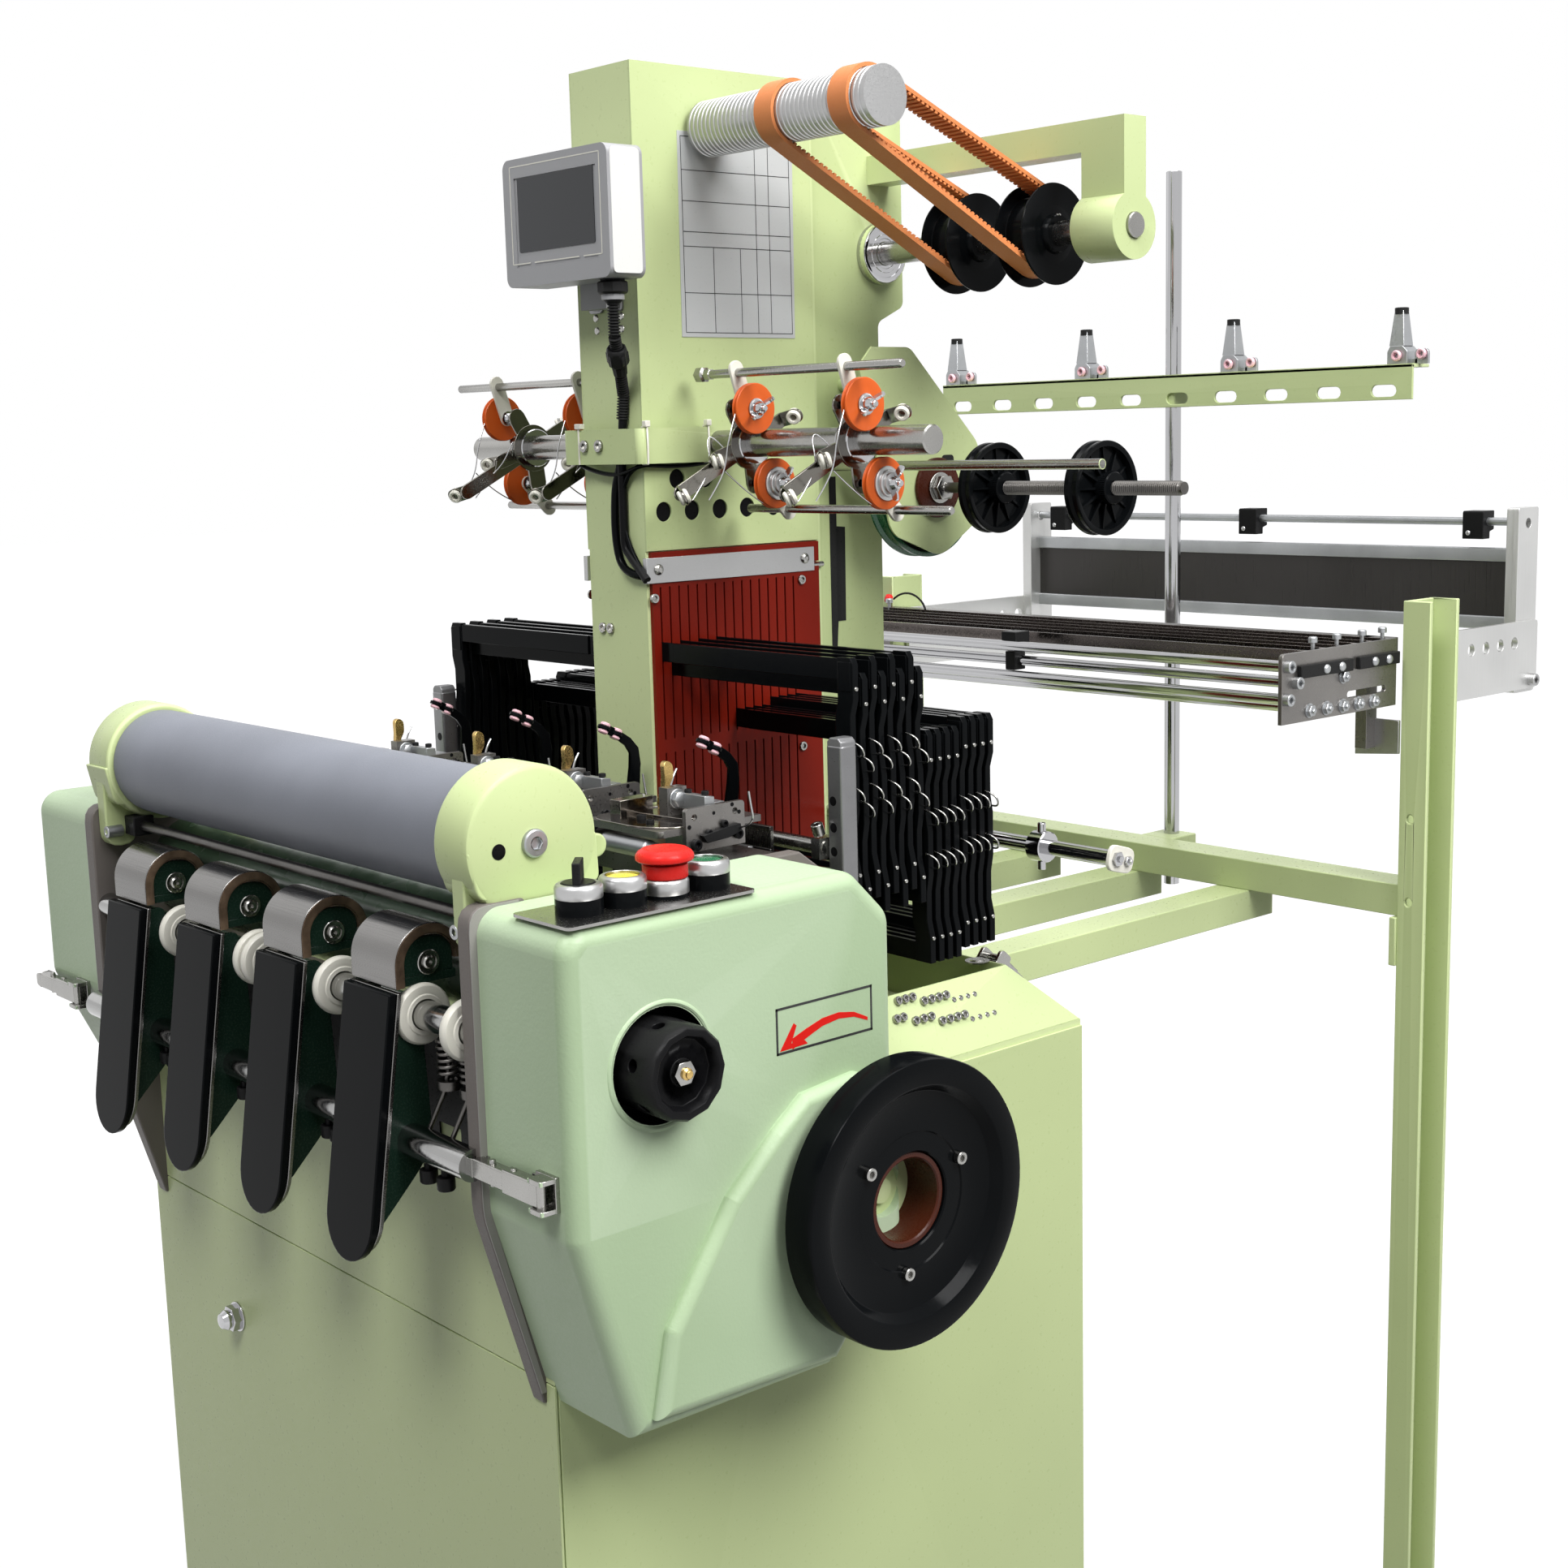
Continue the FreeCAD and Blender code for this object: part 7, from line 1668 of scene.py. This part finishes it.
def spoked_pulley(mesh, x):
    centre = (x, 318, 1300)
    lathe(mesh, [(12, -2), (31, -1.4), (33, -6.4), (36, -7), (37.4, -7), (38, -6), (37.6, -2.6),
        (35.4, -0.6), (35.4, 0.6), (37.6, 2.6), (38, 6), (37.4, 7), (36, 7), (33.4, 6.4),
        (32, 0.8), (12, 1.2)], centre, "X", 72)
    for index in range(SPOKES):
        turn = 2 * pi * index / SPOKES
        heading = Vector((0, cos(turn), sin(turn)))
        across = Vector((0, -sin(turn), cos(turn)))
        part = bmesh.new()
        slab(part, [(10, -5.6), (30, -2.6), (33, -2.6), (33, 2.6), (30, 2.6), (10, 5.6)], "Y",
            -0.9, 0.9)
        matrix = Matrix((heading, across, Vector((1, 0, 0)))).transposed().to_4x4()
        add_part(mesh, part, Matrix.Translation(Vector(centre) * MM) @ matrix)
    profile = [(6, -9), (11.6, -9), (12, -8.4)]
    profile += [(12.2, 8.2), (13.2, 8.8), (13.2, 14), (12.2, 15), (9, 15.2), (6, 15)]
    lathe(mesh, profile, centre, "X", 48)
    for index in range(KNURLS):
        turn = 2 * pi * index / KNURLS
        lathe(mesh, [(0.45, 9), (0.45, 14)], (x, 318 + 13.2 * cos(turn),
            1300 + 13.2 * sin(turn)), "X", 4)

# %% [markdown]
# ## Shaft, nuts and hidden pulley
# The thread is a row of small ridges in the lathe profile and not a true helix: at this size
# nobody can tell, and the mesh stays light.
# %% Shaft, nuts and hidden pulley
def drives():
    wheels = bmesh.new()
    for x in (160, 277):
        spoked_pulley(wheels, x)
    finish("spoked_pulleys", wheels, "black_gloss", "pulley_shaft_body",
        stands_for=("pulley_shaft",))
    shaft = bmesh.new()
    profile = [(0, 0), (4.6, 0), (4.6, 172)]
    x = 172.0
    while x < 358:
        profile += [(5.3, x + 0.2), (5.9, x + 1.0), (5.3, x + 1.8)]
        x += 2.0
    profile += [(5, 361), (0, 362)]
    lathe(shaft, profile, PULLEY_AXIS, "X", 20)
    finish("threaded_shaft", shaft, "dark_steel", "pulley_shaft_body")
    nuts = bmesh.new()
    hex_nut(nuts, (97, 318, 1300), "X", 11.5, 7)
    lathe(nuts, rod(13.5, 0, 1.8), (95, 318, 1300), "X", 32)
    for x in (160, 277):
        round_screw(nuts, (x - 3, 318 - 13, 1311), (-1, -0.2, 0.6), 2.4, 2)
    finish("pulley_nuts", nuts, "steel", "pulley_shaft_body", bevel=0.4)
    turned("phenolic_disc", "brown_phenolic", [(0, 90.5), (25.4, 90.5), (26, 91.2), (26, 93.8),
        (25.4, 94.5), (0, 94.6)], PULLEY_AXIS, "X", 72, "pulley_shaft_body")
    turned("hidden_pulley_rim", "pulley_green", [(56, 66), (60, 66), (60, 68), (57, 70), (57, 78),
        (60, 80), (60, 82), (56, 82), (56, 66)], PULLEY_AXIS, "X", 96)
    turned("hidden_pulley_web", "black_satin", rod(56.5, 72, 76), PULLEY_AXIS, "X", 64)
    turned("rest_rod", "steel", [(0, -34), (4.05, -34), (4.05, 345.4), (3.4, 346), (0, 346)],
        (0, 238, 1321), "X", 32)
    slit = bmesh.new()
    slab(slit, rounded(oblong(326, 1328, 341, 1318), 4), "X", 90, 90.25)
    slab(slit, bar_outline((358, 1352), (360, 1346), 8), "X", 36, 36.4)
    slab(slit, bar_outline((353.5, 1367), (358, 1350), 3.4), "X", 36.4, 38.4)
    finish("guard_slit", slit, "black_satin")


surface("pulley_green", "dark_green_paint", (0.012, 0.11, 0.045), 0.3, tone=0.1, coat=0.2)
drives()

# %% [markdown]
# ## Display, info plate and top shafts
# The display has a dark screen in a ruled frame; the plate on the column is left bare but
# for its ruled table. The orange belts get their teeth, the spools their flanges.
# %% Display, info plate and top shafts
surface("case_side", "grey_plastic", (0.66, 0.66, 0.64), 0.35, tone=0.02)
surface("lcd", "black_plastic", (0.004, 0.006, 0.010), 0.05, tone=0.2, swing=0.02)


def display():
    mesh = bmesh.new()
    slab(mesh, rounded(oblong(-51, 1499, 51, 1560), 1.5), "Y", -10.6, -9.4)
    finish("display_screen", mesh, "lcd")
    mesh = bmesh.new()
    for low, high in (((-60, 1489.6), (-36, 1490.4)), ((-30, 1489.6), (30, 1490.4)),
                      ((36, 1489.6), (60, 1490.4)), ((-60.4, 1490), (-59.6, 1566)),
                      ((59.6, 1490), (60.4, 1566)), ((-60, 1565.6), (60, 1566.4))):
        slab(mesh, [low, (high[0], low[1]), high, (low[0], high[1])], "Y", -11.15, -10.9)
    finish("display_line", mesh, "white_nylon")
    mesh = bmesh.new()
    slab(mesh, rounded(oblong(-8, 1475, 20, 1569), 4), "X", 69.8, 70.3)
    slab(mesh, rounded(oblong(-8, 1475, 20, 1569), 4), "X", -70.3, -69.8)
    finish("display_side", mesh, "case_side", bevel=0.1)
    turned("cable_gland", "black_satin", [(3.6, -19), (6, -18.4), (8, -16), (8.6, -12),
        (11.6, -11), (12.4, -10), (12.4, -3), (11.6, -2), (10, -1.6), (10, 0.1)], (49, 6, 1472),
        "Z", 10, bevel=0.4)
    mesh = bmesh.new()
    slab(mesh, rounded(oblong(-22, 1476, -4, 1449.6), [0, 0, 4, 4]), "Y", 34, 37)
    slab(mesh, rounded(oblong(4, 1476, 22, 1449.6), [0, 0, 4, 4]), "Y", 34, 37)
    finish("display_tab", mesh, "cast_grey", bevel=0.8)
    mesh = bmesh.new()
    for x in (-15, 13):
        socket_screw(mesh, (x, 34, 1458.8), (0, -1, 0), 4.6, 2.6)
    finish("display_tab_screws", mesh, "steel")


display()

# %% [markdown]
# ## Plate on the column
# The plate is bare but for a ruled table, drawn as thin strips just proud of the metal.
# %% Plate on the column
def info_plate():
    mesh = bmesh.new()
    slab(mesh, [(80.6, 1429), (202.4, 1429), (204, 1590), (82, 1590)], "X", 40, 40.5)
    finish("info_plate", mesh, "plate_grey", bevel=0.1)
    mesh = bmesh.new()
    uprights_at = [(85, 1432.5, 1586), (116, 1432.5, 1500), (144.6, 1432.5, 1500),
        (162.3, 1432.5, 1586), (176.6, 1432.5, 1586), (199.6, 1432.5, 1586)]
    for y, low, high in uprights_at:
        slab(mesh, oblong(y - 0.3, low, y + 0.3, high), "X", 40.5, 40.6)
    for z in (1432.6, 1464, 1500.5, 1512, 1536, 1560, 1586):
        slab(mesh, oblong(85, z - 0.3, 199.6, z + 0.3), "X", 40.5, 40.6)
    finish("info_plate_lines", mesh, "label_ink")


info_plate()

# %% [markdown]
# ## Shafts at the top of the column
# Two spools on the head shaft drive the long drum in front by flat belts. Flanges, bearings
# and the drum's shallow rings all come from lathe profiles.
# %% Shafts at the top of the column
TOP_AXIS, DRUM_AXIS = (0, 308, 1502), (0, 110, 1592)


def top_shafts():
    spools = bmesh.new()
    for start in (126, 209):
        lathe(spools, [(10, 0), (15, 0), (16, 1), (38, 0.2), (39.6, 0), (40, 0.8), (39.8, 1.8),
            (30.6, 3), (30, 3.6), (30, 26.4), (30.6, 27), (39.8, 28.2), (40, 29.2), (39.6, 30),
            (38, 29.8), (24, 28), (22, 28.4), (16, 29), (15, 33), (14, 34), (10, 34)],
            (start, 308, 1502), "X", 72)
    finish("belt_spools", spools, "black_gloss", "head_shaft_body", stands_for=("head_shaft",))
    shaft = bmesh.new()
    lathe(shaft, [(0, -34), (9.9, -34), (9.9, 321), (9, 322), (0, 322)], TOP_AXIS, "X", 40)
    for start in (126, 209):
        socket_screw(shaft, (start + 32, 308, 1516), "Z", 2.6, 1.4)
    finish("top_shaft", shaft, "steel", "head_shaft_body")
    turned("bearing_ring", "chrome", [(10.3, 42.4), (12.6, 42.4), (13, 43), (16, 43),
        (16.4, 42.6), (20, 42.6), (20.4, 43.4), (23.4, 43.6), (24.6, 43), (25.6, 41), (26.2, 36),
        (26.2, 34)], TOP_AXIS, "X", 64)
    front = bmesh.new()
    profile = [(0, 20), (8, 20), (8, 46), (21.9, 46)]
    x = 46.0
    while x < 246:
        profile += [(21.95, x + 2.4), (21.2, x + 3), (21.2, x + 4.4), (21.95, x + 5)]
        x += 5
    profile += [(21.9, 249.6), (0, 250)]
    lathe(front, profile, DRUM_AXIS, "X", 48)
    finish("front_drum", front, "alloy", "front_feed_shaft_body",
        stands_for=("front_feed_shaft",))


top_shafts()

# %% [markdown]
# ## Teeth of the belts
# The belts are toothed on the inside. The teeth are small blocks along the two straight runs,
# set out from the tangent of the two wheels.
# %% Teeth of the belts
def belt_teeth():
    """Teeth along the straight inner sides of the two flat belts."""
    mesh = bmesh.new()
    first, second = Vector((110, 1592)), Vector((308, 1502))
    across = second - first
    lean = asin((30.3 - 22.3) / across.length)
    heading = atan2(across.y, across.x)
    for turn in (heading + pi / 2 + lean, heading - pi / 2 - lean):
        out = Vector((cos(turn), sin(turn)))
        start, end = first + out * 22.3, second + out * 30.3
        steps = int((end - start).length / 5)
        along = (end - start).normalized()
        for step in range(1, steps):
            middle = start.lerp(end, step / steps) - out * 0.9
            corners = [middle + along * u * 1.3 + out * v * 1.1
                       for u, v in ((-1, -1), (1, -1), (1, 1), (-1, 1))]
            for middle_x in (141, 224):
                slab(mesh, [tuple(corner) for corner in corners], "X", middle_x - 9.8,
                     middle_x + 9.8)
    finish("belt_teeth", mesh, "orange_belt")


belt_teeth()

# %% [markdown]
# ## Slotted rail and thread tensioners
# A rail with rounded slots stands on a chromed pole; four tensioners sit on its flange.
# %% Slotted rail and thread tensioners
def slotted_rail():
    mesh = bmesh.new()
    slots = [bar_outline((60 * step + 22, 1374.5), (60 * step + 38, 1374.5), 11)
             for step in range(-5, 5)]
    holed_plate(mesh, oblong(-300, 1366, 300, 1398), slots, "Y", 728, 731)
    block(mesh, (-300, 728, 1395), (300, 756, 1398))
    finish("slotted_rail_bar", mesh, "green_enamel", bevel=0.5, stands_for=("slotted_rail",))
    turned("rail_pole", "chrome", [(0, 868), (8, 868), (8, 1599.4), (7.4, 1600), (0, 1600)],
        (12, 745, 0), "Z", 40)
    clamps = bmesh.new()
    block(clamps, (0, 731, 1366), (24, 758, 1394.6))
    block(clamps, (-8, 719, 892), (32, 761, 922))
    finish("pole_clamps", clamps, "green_enamel", bevel=1.2)


slotted_rail()

# %% [markdown]
# ## Tensioners
# A tensioner is a pressed bracket with a square tapering neck, a spring and two eyes. The
# spring is a wire along a helix that narrows upwards.
# %% Tensioners
def tensioners():
    grey, eyes, black, coils = bmesh.new(), bmesh.new(), bmesh.new(), []
    for x in (-291, -101, 89, 279):
        base = 1398
        slab(grey, rounded([(x - 9, base), (x + 12, base), (x + 12, base + 12),
            (x + 7, base + 17), (x - 6, base + 17), (x - 9, base + 12)], 1), "Y", 733, 752)
        slab(grey, rounded(oblong(x + 17, base, x + 31, base + 14), [0, 0, 5, 5]), "Y", 738, 741)
        block(grey, (x + 9, 738, base), (x + 20, 748, base + 5))
        lathe(grey, [(11, base + 17), (6.4, base + 50), (5.4, base + 50), (9.4, base + 17)],
            (x, 742, 0), "Z", 4, pi / 4)
        for place in ((x + 2, 733, base + 8), (x + 25, 738, base + 9)):
            ceramic_eye(eyes, place, (0, -1, 0), 5)
        lathe(eyes, [(3, base + 18), (7.4, base + 18), (6.8, base + 26), (3, base + 26)],
            (x, 742, 0), "Z", 24)
        lathe(black, [(0, base + 46), (6.4, base + 46), (6.4, base + 51.6), (5, base + 52),
            (0, base + 52)], (x, 742, 0), "Z", 20)
        coils.append([(x + (5.6 - 0.2 * turn) * cos(turn * 2 * pi),
                       742 + (5.6 - 0.2 * turn) * sin(turn * 2 * pi),
                       base + 26 + 2.4 * turn) for turn in (step / 8 for step in range(65))])
        hex_nut(grey, (x + 1, 742, base - 3.2), (0, 0, -1), 5, 4)
    finish("tensioner_frames", grey, "sheet_zinc", bevel=0.4, stands_for=("thread_tensioners",))
    finish("tensioner_eyes", eyes, "ceramic")
    finish("tensioner_tops", black, "black_satin")
    wires("tensioner_springs", coils, 0.7, "dark_steel")


tensioners()

# %% [markdown]
# ## Stop motion
# Two end plates carry bright tubes and a stack of dark dropper rails.
# %% Stop motion
def stop_motion():
    ends, tubes, rails, black, bright = (bmesh.new() for _ in range(5))
    outline = rounded(oblong(490, 1092, 664, 1153), [0, 0, 0, 5])
    slot = bar_outline((590, 1109), (644, 1109), 6)
    for side in (-1, 1):
        holed_plate(ends, outline, [slot], "X", side * 327, side * 331)
        out = (side, 0, 0)
        for y, z in ((497, 1142), (509.4, 1127), (496, 1113.6)):
            socket_screw(bright, (side * 331, y, z), out, 5.4, 6)
        for y, z in ((530, 1101), (555, 1100.6), (580, 1100), (603.5, 1099.8), (627, 1099.5),
                     (580, 1126)):
            lathe(bright, rod(6.4, 0, 0.9), (side * 331, y, z), out, 24)
            hex_nut(bright, (side * 331.9, y, z), out, 5.4, 3.6)
        for start, end in ((512, 590), (600, 663)):
            block(black, (side * 331, start, 1130.5), (side * 335.5, end, 1141.6))
            for y in ((549, 572) if start == 512 else (623, 645)):
                round_screw(bright, (side * 335.5, y, 1135.8), out, 4.2, 2.6)
        for y in (550, 586, 625, 657):
            lathe(bright, [(0, 1136), (1.8, 1136), (1.8, 1158), (4, 1158), (4, 1162), (3.2, 1163),
                (0, 1163)], (side * 320, y, 0), "Z", 16)
    for y, z in ((497, 1142), (509.4, 1127), (496, 1113.6), (522, 1104)):
        lathe(tubes, rod(5, -327, 327), (0, y, z), "X", 28)
    for index in range(5):
        y = 562 + 24 * index
        slab(rails, rounded(oblong(y, 1133, y + 4, 1152.4), [0, 0, 1.5, 1.5], 2), "X", -327, 327)
        slab(rails, oblong(y - 2.4, 1149, y - 1.6, 1153), "X", -320, 320)
    block(rails, (-327, 536, 1138), (327, 540, 1152))
    block(ends, (-327, 656, 1133), (327, 672, 1153))
    block(ends, (294, 655.8, 1050), (306, 672.2, 1153))
    block(black, (-3, 500, 1144), (16, 520, 1155))
    block(black, (2, 500, 1118), (14, 516, 1136))
    finish("stop_motion_ends", ends, "plate_steel", bevel=0.3, stands_for=("stop_motion",))
    finish("stop_motion_tubes", tubes, "chrome")
    finish("stop_motion_rails", rails, "rail_dark", bevel=0.2)
    finish("stop_motion_blocks", black, "black_satin", bevel=0.8)
    finish("stop_motion_fixings", bright, "sheet_zinc")


surface("rail_dark", "dark_steel", (0.16, 0.14, 0.13), 0.22, 1.0, tone=0.2, tone_scale=8)
stop_motion()

# %% [markdown]
# ## Back reed and rear frame
# The dark reed hangs between alloy posts from a rod, held by three black clips.
# %% Back reed and rear frame
surface("brushed_alloy", "alloy", (0.60, 0.60, 0.59), 0.38, 0.85, tone=0.08, tone_scale=8,
    grain=0.00003, grain_scale=700, stretch=(1, 1, 0.03))


def back_reed():
    bands, posts, black, bright = (bmesh.new() for _ in range(4))
    for low, high in ((1139.8, 1153), (1207, 1220.4)):
        slab(bands, rounded(oblong(897.4, low, 906.6, high), 1.5), "X", -310, 310)
    lathe(bands, [(4.05, -309), (4.05, 309)], (0, 902, 1246), "X", 24)
    for side in (-1, 1):
        outline = rounded(oblong(883.6, 1079.6, 920.4, 1260.4), 3)
        holed_plate(posts, outline, [circle(902, 1245, 5)], "X", side * 309.6, side * 322.4)
        plate_line = rounded(oblong(689.6, 1083.6, 916.4, 1150.4), [0, 4, 4, 0])
        holes = [circle(796 + 26 * step, 1130, 6) for step in range(4)]
        holed_plate(posts, plate_line, holes, "X", side * 322, side * 327.3)
        socket_screw(bright, (side * 327.3, 905, 1092), (side, 0, 0), 6, 7)
    for x in (-275, -3, 268):
        slab(black, rounded([(892, 1255), (892, 1229), (905, 1229), (905, 1236), (912.6, 1238),
            (912.6, 1256.6), (893, 1256.6)], 1), "X", x - 11.4, x + 11.4)
        round_screw(bright, (x - 5, 892, 1235), (0, -1, 0), 2.6, 1.4)
    finish("reed_bands", bands, "sheet_zinc")
    finish("reed_posts", posts, "brushed_alloy", bevel=0.5, stands_for=("back_reed_frame",))
    finish("reed_clips", black, "black_satin", bevel=0.6)
    finish("reed_screws", bright, "alloy")
    spacers = bmesh.new()
    for side in (-1, 1):
        block(spacers, (side * 327, 699, 1094), (side * 331, 719, 1140))
    finish("reed_spacers", spacers, "alloy")


back_reed()

# %% [markdown]
# ## Rear stand
# Two channel posts on feet, a rail and three bearers. The channels are open plates and not
# solid bars, since their inside shows from behind.
# %% Rear stand
POST_X, POST_Y, POST_TOP, PLATE = 331, 673, 1186, 4


def rear_stand():
    """Two channel posts on feet, the rail between them and three bearers to the cabinet."""
    mesh = bmesh.new()
    outer = POST_X + 28
    web = oblong(POST_Y + PLATE, 6, POST_Y + 44, POST_TOP)
    web_holes = [circle(POST_Y + 24, z, 6) for z in (899, 977, 1055)]
    for side in (-1, 1):
        low, high = sorted((side * POST_X, side * outer))
        flange = oblong(low, 6, high, POST_TOP)
        holes = [circle(side * (POST_X + 11.5), z, 4) for z in (986, 908)]
        holed_plate(mesh, flange, holes, "Y", POST_Y, POST_Y + PLATE)
        block(mesh, (low, POST_Y + 44, 6), (high, POST_Y + 48, POST_TOP))
        holed_plate(mesh, web, web_holes, "X", side * POST_X, side * (POST_X + PLATE))
        block(mesh, (side * 300, POST_Y - 21, 0), (side * 390, POST_Y + 69, 6))
    block(mesh, (-POST_X, POST_Y + 6, 892), (POST_X, POST_Y + 46, 922))
    for x in (-160, -20, 120):
        block(mesh, (x, 266, 862), (x + 40, POST_Y + 46, 892))
    block(mesh, (POST_X - 7, POST_Y - 2, 846), (POST_X, POST_Y + 44, 892))
    finish("rear_stand", mesh, "green_enamel", bevel=0.9, stands_for=("rear_frame",))


rear_stand()

# %% [markdown]
# ## Collar rod, lamp and hanger
# Small things that the eye finds behind the frames: a chromed rod with a collar, a red lamp on
# its lead, and the plates that hang the stop motion.
# %% Collar rod, lamp and hanger
COLLAR_AXIS = (0, 236, 1019)


def rear_details():
    chrome, white, red = bmesh.new(), bmesh.new(), bmesh.new()
    lathe(chrome, rod(6.1, -34, 358), COLLAR_AXIS, "X", 32)
    lathe(chrome, [(6.1, 276.6), (9, 276.6), (12.4, 277.4), (12.4, 290.6), (11.6, 291.4),
        (6.1, 291.4)], COLLAR_AXIS, "X", 32)
    for turn in (-1, 1):
        socket_screw(chrome, (284, 236, 1019 + turn * 12), (0, 0, turn), 3.4, 7)
    hex_nut(chrome, (361.4, 236, 1019), "X", 6, 3.2)
    hex_nut(chrome, (361.4, 248, 1015.6), "X", 4, 3)
    slab(white, rounded(ribbon([(227.5, 1021.5), (256, 1013.4)], [21, 20]), 8), "X", 357.8, 361.5)
    finish("collar_tube", chrome, "chrome")
    finish("collar_end", white, "white_nylon", bevel=0.6)
    lathe(red, [(0, 0), (4, 0), (5.4, 2), (5.6, 5), (4, 8), (0, 9)], (-330, 671, 1160),
        (-0.6, -0.7, 0.3), 20)
    finish("stop_lamp", red, "red_plastic")
    wires("lamp_cable", [[(-328, 672, 1161), (-315, 668, 1168), (-290, 664, 1170),
        (-268, 660, 1160), (-262, 656, 1153)]], 1.2, "black_satin")
    mesh = bmesh.new()
    for side in (-1, 1):
        low, high = sorted((side * 285, side * 331))
        slab(mesh, [(low, 1042), (high, 1046), (high, 1077), (low, 1077)], "Y", 669.6, 672.8)
    finish("hanger_plates", mesh, "alloy", bevel=0.5)


rear_details()
